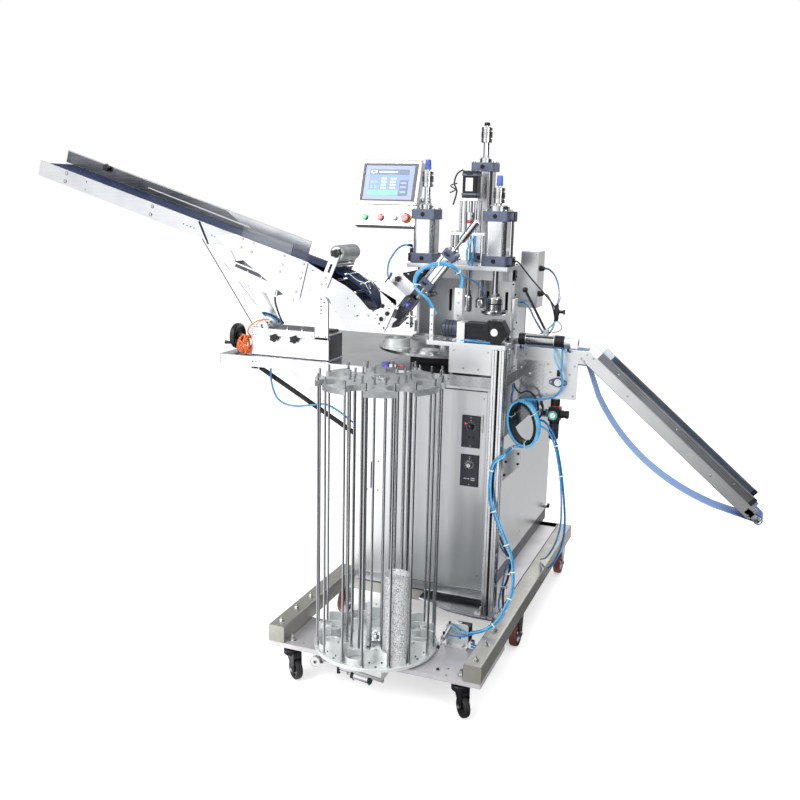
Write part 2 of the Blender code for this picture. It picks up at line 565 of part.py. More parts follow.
# Chassis
def wheel_mount(x, y, low, high, radius, width):
    # two cheeks, a top plate and the axle of one fixed wheel
    outer = width / 2 + SIDE_PLAY + BRACKET_THICK
    cheeks = []
    for side in (-1, 1):
        face = x + side * (outer - BRACKET_THICK / 2)
        outline = ((y - BRACKET_LENGTH / 2, high), (y - AXLE_RADIUS * 2, low - AXLE_RADIUS * 2),
                   (y + AXLE_RADIUS * 2, low - AXLE_RADIUS * 2), (y + BRACKET_LENGTH / 2, high))
        cheeks.append(prism(outline, "X", face - BRACKET_THICK / 2, face + BRACKET_THICK / 2))
    lid = box((x - outer, y - BRACKET_LENGTH / 2, high - BRACKET_THICK),
              (x + outer, y + BRACKET_LENGTH / 2, high + SINK))
    axle = bar((x - outer + SINK, y, low), (x + outer - SINK, y, low), AXLE_RADIUS, ROUND)
    return cheeks + [lid, axle]


def bolt(x, y, level):
    washer = bar((x, y, level - SINK), (x, y, level + WASHER_THICK), WASHER_RADIUS, FINE)
    head = bar((x, y, level), (x, y, level + WASHER_THICK + BOLT_RISE), BOLT_RADIUS, FINE)
    return [washer, head]


def build_chassis():
    half = CHASSIS_WIDTH / 2
    inner = half - BEAM
    outline = ((-half, 0), (half, 0), (half, PLATE_EAR_DEPTH), (inner, PLATE_EAR_DEPTH),
               (inner, PLATE_DEPTH), (-half, PLATE_DEPTH))
    plate = [prism(outline, "Z", CASTER_HEIGHT, plate_top)]
    plate.append(bar((MAGAZINE_X, MAGAZINE_Y, plate_top - SINK), (MAGAZINE_X, MAGAZINE_Y, disc_low - GAP),
                     HUB_RADIUS, LARGE))
    for side in (-1, 1):
        x = side * CASTER_X
        plate.append(bar((x, CASTER_Y, CASTER_HEIGHT - RACE_THICK), (x, CASTER_Y, CASTER_HEIGHT + SINK),
                         RACE_RADIUS, ROUND))
        plate.append(bar((x, CASTER_Y, plate_top - SINK), (x, CASTER_Y, plate_top + STUD_RISE),
                         STUD_RADIUS, FINE))
        plate.append(bar((x, CASTER_Y, plate_top - SINK), (x, CASTER_Y, plate_top + NUT_THICK),
                         NUT_RADIUS, 6))
    node("front_plate", steel, plate)

    rear = RIGHT_BEAM_LENGTH
    cross_front = CROSS_TUBE_BACK - BEAM
    frame = [box((inner, 0, beam_low), (half, rear, beam_top))]
    frame.append(box((-half, 0, beam_low), (-inner, LEFT_BEAM_LENGTH, beam_top)))
    frame.append(box((-inner - SINK, cross_front, beam_low), (inner + SINK, CROSS_TUBE_BACK, beam_top)))
    rail_left = REAR_RAIL_X - BEAM / 2
    frame.append(box((rail_left, rear - BEAM, beam_low), (inner + SINK, rear, beam_top)))
    frame.append(box((rail_left, CROSS_TUBE_BACK - SINK, beam_low),
                     (rail_left + BEAM, rear - BEAM + SINK, beam_top)))
    frame.append(box((PLATFORM_INNER_X, CROSS_TUBE_BACK - SINK, beam_top - PLATFORM_THICK),
                     (inner + BEAM_WALL, rear - SINK, beam_top)))
    gusset_shares = ((0.24, 0.0), (0.58, 0.08), (1.0, 0.42))
    width = inner + BEAM_WALL - TURN_X
    depth = cross_front + BEAM_WALL - GUSSET_FRONT
    corner = [(inner + BEAM_WALL - width * a, GUSSET_FRONT + depth * b) for a, b in gusset_shares]
    corner += [(TURN_X, cross_front + BEAM_WALL), (inner + BEAM_WALL, cross_front + BEAM_WALL),
               (inner + BEAM_WALL, GUSSET_FRONT)]
    frame.append(prism(corner, "Z", beam_top - PLATFORM_THICK, beam_top))
    for side in (-1, 1):
        for index in range(BOLTS_PER_BEAM):
            frame += bolt(side * beam_x, BOLT_FRONT + BOLT_PITCH * index, beam_top)
    for x, y in ((-beam_x, MID_WHEEL_Y), (beam_x, MID_WHEEL_Y), (REAR_RAIL_X, REAR_WHEEL_Y),
                 (beam_x, REAR_WHEEL_Y)):
        frame += wheel_mount(x, y, REAR_WHEEL_RADIUS, beam_low, REAR_WHEEL_RADIUS, REAR_WHEEL_WIDTH)
    low, high = beam_low + BEAM_WALL * 2, beam_top - PLATFORM_THICK - BEAM_WALL
    bore = BEAM / 2 - BEAM_WALL
    hollow = [box((beam_x - bore, BEAM_WALL, low), (beam_x + bore, rear + OVERRUN, high))]
    hollow.append(box((-beam_x - bore, BEAM_WALL, low), (-beam_x + bore, LEFT_BEAM_LENGTH + OVERRUN, high)))
    node("base_frame", steel, frame, hollow)


def wheel(name, x, y, z, radius, width, material):
    half = width / 2
    profile = ((axle_bore, -half), (radius * 0.94, -half), (radius, -half * 0.8), (radius, half * 0.8),
               (radius * 0.94, half), (axle_bore, half))
    made = turned(profile, (x, y, z), (1, 0, 0), LARGE)
    node(name, material, [made], pivot=(x, y, z))


def caster(side, sign):
    # the fork turns on its stem, and the wheel trails behind it
    stem = Vector((sign * CASTER_X, CASTER_Y, 0))
    heading = math.radians(CASTER_HEADINGS[side])
    race_low = CASTER_HEIGHT - RACE_THICK - GAP
    axle_z = CASTER_WHEEL_RADIUS
    outer = CASTER_WHEEL_WIDTH / 2 + SIDE_PLAY
    hood = bar(stem + Vector((0, 0, race_low - HOOD_HEIGHT)), stem + Vector((0, 0, race_low)),
               HOOD_RADIUS, ROUND)
    shapes = [hood]
    wheel_x = stem.x + CASTER_TRAIL
    for flank in (-1, 1):
        near = stem.y + flank * outer
        far = stem.y + flank * (outer + CHEEK_THICK)
        outline = ((stem.x - HOOD_RADIUS * 0.8, race_low - HOOD_HEIGHT / 4),
                   (stem.x + CASTER_TRAIL + CHEEK_WIDTH / 2, race_low - HOOD_HEIGHT / 4),
                   (wheel_x + CHEEK_WIDTH / 2, axle_z), (wheel_x, axle_z - CHEEK_WIDTH / 2),
                   (wheel_x - CHEEK_WIDTH / 2, axle_z))
        shapes.append(prism(outline, "Y", min(near, far), max(near, far)))
    hood_low = CASTER_WHEEL_RADIUS * 2 + SIDE_PLAY * 2
    shapes.append(box((stem.x - HOOD_RADIUS * 0.8, stem.y - outer - CHEEK_THICK, hood_low),
                      (wheel_x + CHEEK_WIDTH / 2, stem.y + outer + CHEEK_THICK,
                       race_low - HOOD_HEIGHT / 4)))
    shapes.append(bar((wheel_x, stem.y - outer - CHEEK_THICK + SINK, axle_z),
                      (wheel_x, stem.y + outer + CHEEK_THICK - SINK, axle_z), AXLE_RADIUS, ROUND))
    node("caster_fork_" + side, black_plastic, shapes, pivot=tuple(stem), heading=heading)

    half = CASTER_WHEEL_WIDTH / 2
    radius = CASTER_WHEEL_RADIUS
    profile = ((axle_bore, -half), (radius * 0.9, -half), (radius, -half * 0.7), (radius, half * 0.7),
               (radius * 0.9, half), (axle_bore, half))
    trail = Vector((math.cos(heading), math.sin(heading), 0)) * CASTER_TRAIL
    hub = stem + trail + Vector((0, 0, radius))
    axis = (-math.sin(heading), math.cos(heading), 0)
    node("caster_wheel_" + side, rubber, [turned(profile, hub, axis, LARGE)], pivot=tuple(hub))


# Cabinet with its speed controllers
def build_cabinet():
    left, right = CABINET_LEFT, CABINET_LEFT + CABINET_WIDTH
    front, back = CABINET_FRONT, CABINET_FRONT + CABINET_DEPTH
    shapes = [box((left, front, cabinet_low), (right, back, cabinet_top))]
    shapes.append(box((left + COVER_EDGE, front - COVER_THICK, cabinet_low + COVER_LOW),
                      (right - COVER_EDGE, front + SINK, cabinet_low + COVER_HIGH)))
    for x, outward in ((left, -1), (right, 1)):
        shapes.append(box((min(x - outward * SINK, x + outward * COVER_THICK), front + SIDE_COVER_EDGE,
                           cabinet_low + COVER_LOW),
                          (max(x - outward * SINK, x + outward * COVER_THICK), back - SIDE_COVER_EDGE,
                           cabinet_low + COVER_HIGH - SIDE_COVER_EDGE)))
    face = front - COVER_THICK
    bores = []
    for name, level in CONTROL_LEVELS.items():
        middle = cabinet_low + level
        shapes.append(box((CONTROL_X - CONTROL_WIDTH / 2, face - CONTROL_THICK,
                           middle - CONTROL_HEIGHT / 2),
                          (CONTROL_X + CONTROL_WIDTH / 2, face + SINK, middle + CONTROL_HEIGHT / 2)))
        knob_z = middle + KNOB_RISE[name]
        plate_face = face - CONTROL_THICK
        bores.append(bar((CONTROL_X, plate_face - OVERRUN, knob_z),
                         (CONTROL_X, front + CABINET_WALL / 2, knob_z), KNOB_STEM + GAP, ROUND))
        knob = [bar((CONTROL_X, plate_face - GAP - KNOB_DEPTH, knob_z),
                    (CONTROL_X, plate_face - GAP, knob_z),
                    KNOB_RADIUS * 0.85, ROUND, KNOB_RADIUS)]
        knob.append(bar((CONTROL_X, plate_face - GAP - SINK, knob_z),
                        (CONTROL_X, front - GAP, knob_z), KNOB_STEM, ROUND))
        knob.append(box((CONTROL_X - SINK, plate_face - GAP - KNOB_DEPTH - SINK, knob_z),
                        (CONTROL_X + SINK, plate_face - GAP - KNOB_DEPTH + SINK,
                         knob_z + KNOB_RADIUS * 0.8)))
        node("controller_knob_" + name, black_plastic, knob, pivot=(CONTROL_X, plate_face, knob_z))
    lamp_z = cabinet_low + CONTROL_LEVELS["upper"] + KNOB_RISE["upper"] + LAMP_OFFSET / 2
    lamp_x = CONTROL_X - LAMP_OFFSET
    shapes.append(bar((lamp_x, face - CONTROL_THICK - LAMP_RADIUS, lamp_z), (lamp_x, face, lamp_z),
                      LAMP_RADIUS, FINE))
    hollow = [box((left + CABINET_WALL, front + CABINET_WALL, cabinet_low - OVERRUN),
                  (right - CABINET_WALL, back - CABINET_WALL, cabinet_top - CABINET_WALL))]
    for index in range(VENT_COUNT):
        level = cabinet_low + VENT_LOW + VENT_PITCH * index
        hollow.append(centred_box((left + CABINET_WIDTH / 2, back, level),
                                  (VENT_LENGTH, CABINET_WALL * 4, VENT_HEIGHT)))
    node("cabinet", steel, shapes, hollow + bores)


# Work table, strut, column and front support
def build_table():
    shapes = [box((TABLE_LEFT, TABLE_FRONT, table_low), (TABLE_RIGHT, TABLE_BACK, table_top))]
    cabinet_right = CABINET_LEFT + CABINET_WIDTH
    pockets = []
    edges = (TABLE_LEFT + TABLE_SHEET, CABINET_LEFT, CABINET_LEFT + TABLE_RIB,
             cabinet_right - TABLE_RIB, cabinet_right, TABLE_RIGHT - TABLE_SHEET)
    for left, right in zip(edges[::2], edges[1::2]):
        pockets.append(box((left, TABLE_FRONT + TABLE_SHEET, table_low - OVERRUN),
                           (right, TABLE_BACK - TABLE_SHEET, table_top - TABLE_SHEET)))
    node("work_table", steel, shapes, pockets)

    start = (STRUT_FOOT_X, table_low - STRUT_WIDTH / 2)
    end = (CABINET_LEFT - COVER_THICK - STRUT_PAD_THICK * 2, table_low - STRUT_DROP)
    near = CABINET_FRONT + SIDE_COVER_EDGE
    strut = [slab(start, end, STRUT_WIDTH, STRUT_THICK, near)]
    tab_top = table_top - TABLE_SHEET - GAP
    strut.append(box((STRUT_FOOT_X - STRUT_WIDTH, near, start[1] - STRUT_WIDTH / 2),
                     (STRUT_FOOT_X + STRUT_WIDTH, near + STRUT_PAD_THICK, tab_top)))
    pad_x = CABINET_LEFT - COVER_THICK - GAP
    strut.append(box((pad_x - STRUT_PAD_THICK, near - STRUT_PAD / 4, end[1] - STRUT_PAD / 2),
                     (pad_x, near + STRUT_PAD / 2, end[1] + STRUT_PAD / 2)))
    strut.append(box((STRUT_FOOT_X - STRUT_WIDTH, near, tab_top - STRUT_PAD_THICK),
                     (STRUT_FOOT_X + STRUT_WIDTH, near + STRUT_WIDTH, tab_top)))
    node("table_strut", dark_steel, strut)

    core = [centred_box((COLUMN_X, COLUMN_Y, column_low + column_height / 2),
                        (COLUMN_SIZE, COLUMN_SIZE, column_height))]
    grooves = []
    for angle in range(4):
        outward = Vector((math.cos(math.pi / 2 * angle), math.sin(math.pi / 2 * angle)))
        middle = Vector((COLUMN_X, COLUMN_Y)) + outward * (COLUMN_SIZE / 2 - COLUMN_GROOVE_DEPTH / 2 + OVERRUN / 2)
        reach = COLUMN_GROOVE_DEPTH + OVERRUN
        wide = (reach if abs(outward.x) > 1 / 2 else COLUMN_GROOVE,
                reach if abs(outward.y) > 1 / 2 else COLUMN_GROOVE)
        grooves.append(centred_box((middle.x, middle.y, column_low + column_height / 2),
                                   (wide[0], wide[1], column_height + OVERRUN * 2)))
    node("column", aluminium, core, grooves)

    right = COLUMN_X + COLUMN_SIZE / 2
    back = SUPPORT_FRONT + SUPPORT_DEPTH
    support = [box((SUPPORT_LEFT, SUPPORT_FRONT, support_low), (right, back, support_top))]
    apron_right = COLUMN_X - COLUMN_SIZE / 2 - GAP
    support.append(box((APRON_LEFT, SUPPORT_FRONT, support_low - APRON_DROP),
                       (apron_right, SUPPORT_FRONT + APRON_THICK, support_low + SINK)))
    support.append(box((POST_X - POST_SIZE / 2, SUPPORT_FRONT + APRON_THICK, support_top - SINK),
                       (POST_X + POST_SIZE / 2, SUPPORT_FRONT + APRON_THICK + POST_SIZE,
                        support_top + POST_HEIGHT)))
    for share in (0.35, 0.70):
        x = APRON_LEFT + (apron_right - APRON_LEFT) * share
        z = support_low - APRON_DROP * 0.8
        support.append(bar((x, SUPPORT_FRONT - BOLT_RISE / 2, z), (x, SUPPORT_FRONT + SINK, z),
                           BOLT_RADIUS / 2, FINE))
    node("front_support", aluminium, support)


# Foil cup magazine
def polar(radius, degrees):
    angle = math.radians(degrees)
    return (MAGAZINE_X + radius * math.cos(angle), MAGAZINE_Y + radius * math.sin(angle))


def magazine_rod_places():
    pitch = 360 / STATIONS
    places = []
    for index in range(STATIONS):
        lobe = pitch * index + pitch / 2
        for radius, spread in ((OUTER_ROD_RADIUS, OUTER_ROD_ANGLE), (INNER_ROD_RADIUS, INNER_ROD_ANGLE)):
            places.append(polar(radius, lobe - spread))
            places.append(polar(radius, lobe + spread))
    return places


def lobed_outline():
    # a round plate whose rim opens into one pocket for each cup station
    outline = []
    pitch = 360 / STATIONS
    rim_angle = math.degrees(math.asin(SLOT_HALF / DISC_RADIUS))
    open_angle = math.degrees(math.asin(SLOT_HALF / POCKET_RADIUS))
    for index in range(STATIONS):
        station = pitch * index
        outline.append(polar(DISC_RADIUS, station - rim_angle))
        outline += arc(polar(STATION_RADIUS, station), POCKET_RADIUS, station - open_angle,
                       station - 360 + open_angle, 10)
        outline += [polar(DISC_RADIUS, station + rim_angle + (pitch - 2 * rim_angle) * step / 4)
                    for step in range(4)]
    return outline


def wing_block(lobe):
    # two curved wings that steer the cups of the stations on either side of a lobe
    half_pitch = 180 / STATIONS
    first, last = 52, 112
    reach = POCKET_RADIUS
    low_side = arc(polar(STATION_RADIUS, lobe - half_pitch), reach, lobe - half_pitch + first,
                   lobe - half_pitch + last, 5)
    high_side = arc(polar(STATION_RADIUS, lobe + half_pitch), reach, lobe + half_pitch - last,
                    lobe + half_pitch - first, 5)
    thick = WING_THICK
    inner_high = arc(polar(STATION_RADIUS, lobe + half_pitch), reach + thick, lobe + half_pitch - first,
                     lobe + half_pitch - first - 18, 2)
    notch = [polar(STATION_RADIUS - thick, lobe)]
    inner_low = arc(polar(STATION_RADIUS, lobe - half_pitch), reach + thick, lobe - half_pitch + first + 18,
                    lobe - half_pitch + first, 2)
    outline = low_side + high_side + inner_high + notch + inner_low
    return prism(outline, "Z", disc_top - SINK, disc_top + WING_HEIGHT)


def build_magazine():
    pitch = 360 / STATIONS
    shapes = [bar((MAGAZINE_X, MAGAZINE_Y, disc_low), (MAGAZINE_X, MAGAZINE_Y, disc_top), DISC_RADIUS,
                  DISC)]
    for x, y in magazine_rod_places():
        shapes.append(bar((x, y, disc_top - SINK), (x, y, rods_top), ROD_RADIUS, FINE))
    ring = ((SEAT_RADIUS - SEAT_WALL, -SINK), (SEAT_RADIUS, -SINK), (SEAT_RADIUS, SEAT_HEIGHT),
            (SEAT_RADIUS - SEAT_WALL, SEAT_HEIGHT))
    for index in range(STATIONS):
        x, y = polar(STATION_RADIUS, pitch * index)
        shapes.append(turned(ring, (x, y, disc_top), (0, 0, 1), ROUND))
        shapes.append(wing_block(pitch * index + pitch / 2))
    stop_low = disc_top - SINK
    stop_high = disc_top + STOP_BAR_HEIGHT
    rounded = ((-1, 0), (1, 0), (1, 0.93), (0.5, 0.985), (0, 1), (-0.5, 0.985), (-1, 0.93))
    outline = [(STOP_BAR_X + STOP_BAR_WIDTH / 2 * a, stop_low + (stop_high - stop_low) * b) for a,
               b in rounded]
    shapes.append(prism(outline, "Y", STOP_BAR_Y - STOP_BAR_THICK / 2, STOP_BAR_Y + STOP_BAR_THICK / 2))
    shapes.append(box((STOP_BAR_X - STOP_BAR_WIDTH, STOP_BAR_Y - STOP_BAR_THICK / 2, stop_low),
                      (STOP_BAR_X + STOP_BAR_WIDTH, STOP_BAR_Y + STOP_BAR_WIDTH,
                       disc_top + STOP_BAR_THICK)))
    node("magazine_rods", chrome, shapes, pivot=(MAGAZINE_X, MAGAZINE_Y, disc_low))

    low = rods_top + GAP
    top = low + TOP_DISC_THICK
    lid = prism(lobed_outline(), "Z", low, top)
    node("magazine_top_disc", aluminium, [lid], pivot=(MAGAZINE_X, MAGAZINE_Y, low))

    x, y = polar(STATION_RADIUS, pitch * (STATIONS - 1))
    base = disc_top + SEAT_HEIGHT + GAP
    rib_count = 9
    profile = [(0, 0)]
    for index in range(rib_count):
        share = index / rib_count
        profile.append((CUP_RADIUS - CUP_RIM, STACK_HEIGHT * share))
        profile.append((CUP_RADIUS, STACK_HEIGHT * (share + 0.6 / rib_count)))
    profile += [(CUP_RADIUS, STACK_HEIGHT), (CUP_RADIUS * 0.9, STACK_HEIGHT),
                (CUP_RADIUS * 0.62, STACK_HEIGHT * 0.94), (0, STACK_HEIGHT * 0.94)]
    node("cup_stack", foil, [turned(profile, (x, y, base), (0, 0, 1), 16)], pivot=(x, y, base))


def build_magazine_drive():
    # an air lock with a ball end that drops beside the rim of the bottom disc
    base = plate_top + GAP
    hinge, ball = Vector(LOCK_HINGE_PLACE), Vector(LOCK_BALL_PLACE)
    plate_left = LOCK_HINGE_PLACE[0] - LOCK_RADIUS * 1.5
    plate_back = PLATE_DEPTH - SIDE_PLAY
    plate_front = plate_back - LOCK_PLATE_THICK
    shapes = [box((plate_left, plate_front, base), (lock_right, plate_back, base + LOCK_PLATE_HEIGHT))]
    shapes.append(box((plate_left, plate_front - LOCK_BLOCK_DEPTH / 2, base),
                      (lock_right, plate_back, base + LOCK_PLATE_THICK)))
    block_high = base + LOCK_PLATE_HEIGHT - LOCK_PLATE_THICK
    shapes.append(box((lock_right - LOCK_BLOCK, plate_back - SINK, block_high - LOCK_BLOCK_HEIGHT),
                      (lock_right + LOCK_PLATE_THICK / 2, plate_back + LOCK_BLOCK_DEPTH, block_high)))
    shapes.append(bar(hinge, hinge.lerp(ball, 0.62), LOCK_RADIUS, ROUND))
    shapes.append(bar(hinge.lerp(ball, 0.6), ball, LOCK_ROD, FINE))
    shapes.append(bar(ball - Vector((0, 0, LOCK_BALL)), ball + Vector((0, 0, LOCK_BALL)), LOCK_BALL, ROUND))
    node("magazine_lock", black_plastic, shapes)

    # slide bar, small air cylinder and gusset that hang from the front plate
    low_left = Vector((SLIDE_LEFT, SLIDE_Y, CASTER_HEIGHT - SLIDE_DROP_LEFT))
    low_right = Vector((SLIDE_RIGHT, SLIDE_Y, CASTER_HEIGHT - SLIDE_DROP_RIGHT))
    half = SLIDE_BAR / 2
    top = CASTER_HEIGHT - GAP
    slide = [slab((low_left.x, low_left.z), (low_right.x, low_right.z), SLIDE_BAR, SLIDE_BAR,
                  SLIDE_Y - half)]
    slide.append(box((SLIDE_LEFT - ROLLER_PIN, SLIDE_Y - half, low_left.z - ROLLER_PIN * 2),
                     (SLIDE_LEFT + GUSSET_SIZE / 2, SLIDE_Y + half, top)))
    gusset_left = SLIDE_RIGHT - GUSSET_THICK
    outline = ((gusset_left, top), (gusset_left + GUSSET_SIZE * 0.7, top),
               (gusset_left, low_right.z - SLIDE_BAR / 2))
    slide.append(prism(outline, "Y", SLIDE_Y - half, SLIDE_Y + GUSSET_THICK))
    along = (low_right - low_left).normalized()
    drop = Vector((0, 0, -SLIDE_CYLINDER))
    tube_start = low_left.lerp(low_right, 0.52) + drop
    slide.append(bar(tube_start, tube_start + along * SLIDE_CYLINDER_LENGTH, SLIDE_CYLINDER, ROUND))
    slide.append(bar(tube_start - along * GUSSET_SIZE, tube_start + along * SINK, SLIDE_CYLINDER / 3, FINE))
    slide.append(box((tube_start.x - GUSSET_SIZE, SLIDE_Y - half, tube_start.z - SINK),
                     (tube_start.x - GUSSET_SIZE + SLIDE_BAR, SLIDE_Y + half, low_left.z)))
    pin_front = SLIDE_Y - half - ROLLER_WIDTH - SIDE_PLAY * 2
    slide.append(bar((SLIDE_LEFT, pin_front, low_left.z), (SLIDE_LEFT, SLIDE_Y, low_left.z), ROLLER_PIN,
                     ROUND))
    node("under_slide", dark_steel, slide)
    middle = (SLIDE_LEFT, pin_front + SIDE_PLAY, low_left.z)
    rim = ((ROLLER_PIN + GAP, 0), (ROLLER_RADIUS, 0), (ROLLER_RADIUS, ROLLER_WIDTH),
           (ROLLER_PIN + GAP, ROLLER_WIDTH))
    node("guide_roller", chrome, [turned(rim, middle, (0, 1, 0), LARGE)], pivot=middle)


# Turntable with its moulds, on the indexer
def build_turntable():
    base = table_top + GAP
    flange_low = base + INDEXER_HEIGHT
    body = [centred_box((TURN_X, TURN_Y, base + INDEXER_HEIGHT / 2),
                        (INDEXER_WIDTH, INDEXER_DEPTH, INDEXER_HEIGHT))]
    body.append(bar((TURN_X, TURN_Y, flange_low - SINK), (TURN_X, TURN_Y,
                                                          flange_low + INDEXER_FLANGE_THICK),
                    INDEXER_FLANGE, LARGE))
    body.append(bar((TURN_X - INDEXER_WIDTH / 2 - INDEXER_INPUT, TURN_Y, base + INDEXER_HEIGHT / 2),
                    (TURN_X - INDEXER_WIDTH / 2 + SINK, TURN_Y, base + INDEXER_HEIGHT / 2),
                    INDEXER_HEIGHT / 3))
    node("indexer", dark_steel, body)

    disc = [bar((TURN_X, TURN_Y, turn_low), (TURN_X, TURN_Y, turn_top), TURN_RADIUS, DISC)]
    disc.append(bar((TURN_X, TURN_Y, turn_top - SINK), (TURN_X, TURN_Y, turn_top + CENTRE_CAP_THICK),
                    CENTRE_CAP, LARGE))
    for index in range(STATIONS):
        angle = math.tau * index / STATIONS
        place = (TURN_X + MOULD_CIRCLE * math.cos(angle), TURN_Y + MOULD_CIRCLE * math.sin(angle), turn_top)
        outer, low_outer, height = MOULD_RADIUS, MOULD_FLANGE, MOULD_HEIGHT
        if index == STACK_STATION:
            outer, low_outer, height = STACK_TOP, STACK_BASE, STACK_MOULD_HEIGHT
        profile = ((0, -SINK), (low_outer, -SINK), (low_outer, MOULD_FLANGE_THICK), (outer, height * 0.5),
                   (outer, height), (MOULD_BORE * 1.12, height),
                   (MOULD_BORE * 0.8, MOULD_FLANGE_THICK / 2), (0, MOULD_FLANGE_THICK / 2))
        disc.append(turned(profile, place, (0, 0, 1), ROUND))
    node("turntable", steel, disc, pivot=(TURN_X, TURN_Y, turn_low))


# Press frame, top plate, electrical box and the arm of the screen
def build_press_frame():
    base = table_top + GAP
    plate_low = base + FRAME_HEIGHT
    shapes = [box((TOP_PLATE_LEFT, top_plate_front, plate_low),
                  (TOP_PLATE_RIGHT, top_plate_back, frame_top))]
    for left in (TOP_PLATE_LEFT, TOP_PLATE_RIGHT - FRAME_WALL):
        shapes.append(box((left, side_wall_front, base), (left + FRAME_WALL, top_plate_back,
                                                          plate_low + SINK)))
    back_face = top_plate_back - FRAME_WALL
    shapes.append(box((TOP_PLATE_LEFT, back_face, base), (TOP_PLATE_RIGHT, top_plate_back,
                                                          plate_low + SINK)))
    tie_z = base + FRAME_TIE_RISE
    shapes.append(box((TOP_PLATE_LEFT, side_wall_front, tie_z),
                      (TOP_PLATE_RIGHT, side_wall_front + FRAME_TIE,
                                                                 plate_low + SINK)))
    box_low = base + ELECTRIC_LOW
    box_back = top_plate_back - FRAME_TIE
    box_right = TOP_PLATE_RIGHT + ELECTRIC_WIDTH
    shapes.append(box((TOP_PLATE_RIGHT - SINK, box_back - ELECTRIC_DEPTH, box_low),
                      (box_right, box_back, box_low + ELECTRIC_HEIGHT)))
    for share in (0.25, 0.7):
        z = box_low + ELECTRIC_HEIGHT * share
        y = box_back - ELECTRIC_DEPTH * 0.7
        shapes.append(bar((box_right - SINK, y, z), (box_right + GLAND_LENGTH, y, z), GLAND_RADIUS, FINE))
    tube_y, tube_z = screen_axis()
    post_x = TOP_PLATE_LEFT + SCREEN_POST / 2
    shapes.append(box((post_x - SCREEN_POST / 2, tube_y - SCREEN_POST / 2, frame_top - SINK),
                      (post_x + SCREEN_POST / 2, tube_y + SCREEN_POST / 2, tube_z + SCREEN_POST / 2)))
    tube_end = PANEL_X + PANEL_WIDTH / 2 - CLAMP_WIDTH / 2 - STRUT_THICK
    shapes.append(bar((tube_end, tube_y, tube_z), (post_x, tube_y, tube_z), SCREEN_TUBE, LARGE))
    cuts = []
    clear = PRESS_ROD + GAP * 4
    for x, y in ((LEFT_PRESS_X, press_y), (RIGHT_PRESS_X, press_y), (TALL_X, tall_y)):
        cuts.append(bar((x, y, plate_low - OVERRUN), (x, y, frame_top + OVERRUN), clear, ROUND))
    cuts.append(bar((TOWER_X, tower_y, plate_low - OVERRUN), (TOWER_X, tower_y, frame_top + OVERRUN),
                    SPINDLE_RADIUS + GAP * 4, ROUND))
    pitch = (TOP_PLATE_RIGHT - TOP_PLATE_LEFT) / (SLOT_COUNT + 1)
    for index in range(SLOT_COUNT):
        x = TOP_PLATE_LEFT + pitch * (index + 1)
        cuts.append(centred_box((x, back_face + FRAME_WALL / 2, base + SLOT_RISE + SLOT_LENGTH / 2),
                                (SLOT_WIDTH, FRAME_WALL + OVERRUN * 2, SLOT_LENGTH)))
    node("press_frame", steel, shapes, cuts)


def press_cylinder(name, x, y, base, cap, cap_height, barrel, barrel_height, extras):
    # square caps with a grooved barrel between them, bored right through for the rod
    low, high = base + cap_height, base + cap_height + barrel_height
    top = high + cap_height
    shapes = [post(x, y, low - SINK, high + SINK, barrel, BARREL_CORNER)]
    shapes.append(post(x, y, base, low, cap, CAP_CORNER))
    shapes.append(post(x, y, high, top, cap, CAP_CORNER))
    shapes.append(bar((x, y, top - SINK), (x, y, top + BUSH_HEIGHT), BUSH_RADIUS, ROUND))
    tie = cap / 2 - CAP_CORNER
    for a in (-1, 1):
        for b in (-1, 1):
            shapes.append(bar((x + a * tie, y + b * tie, low - SINK),
                              (x + a * tie, y + b * tie, high + SINK),
                              ROD_RADIUS, 6))
    shapes += extras
    bore = bar((x, y, base - OVERRUN), (x, y, top + BUSH_HEIGHT + OVERRUN), PRESS_ROD + GAP, ROUND)
    node(name, aluminium, shapes, [bore])
    return top + BUSH_HEIGHT


def press_rod(name, x, y, bush_top, rest, low, head, extra_height):
    # rod through the cylinder, adjusting sleeve and knob above, tool below
    sleeve_low = bush_top + rest
    sleeve_top = sleeve_low + SLEEVE_HEIGHT
    shapes = [bar((x, y, low), (x, y, sleeve_top), PRESS_ROD, ROUND)]
    shapes.append(bar((x, y, sleeve_low), (x, y, sleeve_top), SLEEVE_RADIUS, ROUND))
    shapes.append(bar((x, y, sleeve_top - SINK), (x, y, sleeve_top + KNOB_NECK + SINK),
                      TAIL_KNOB_RADIUS / 2, FINE))
    shapes.append(bar((x, y, sleeve_top + KNOB_NECK), (x, y, sleeve_top + KNOB_NECK + extra_height),
                      TAIL_KNOB_RADIUS, ROUND, TAIL_KNOB_RADIUS * 0.85))
    shapes += head
    node(name, chrome, shapes, pivot=(x, y, bush_top))


def press_head(x, y, top):
    # a domed holder over the flat ring that forms the shell's rim
    low = top - HEAD_HEIGHT
    profile = ((0, 0), (HEAD_RADIUS, 0), (HEAD_RADIUS, HEAD_HEIGHT * 0.8),
               (HEAD_RADIUS * 0.75, HEAD_HEIGHT),
               (0, HEAD_HEIGHT))
    ring = ((0, -RING_THICK), (RING_RADIUS * 0.9, -RING_THICK), (RING_RADIUS, -RING_THICK * 0.7),
            (RING_RADIUS, -RING_THICK * 0.2), (0, SINK * 2))
    return [turned(profile, (x, y, low), (0, 0, 1), LARGE), turned(ring, (x, y, low), (0, 0, 1), LARGE)]


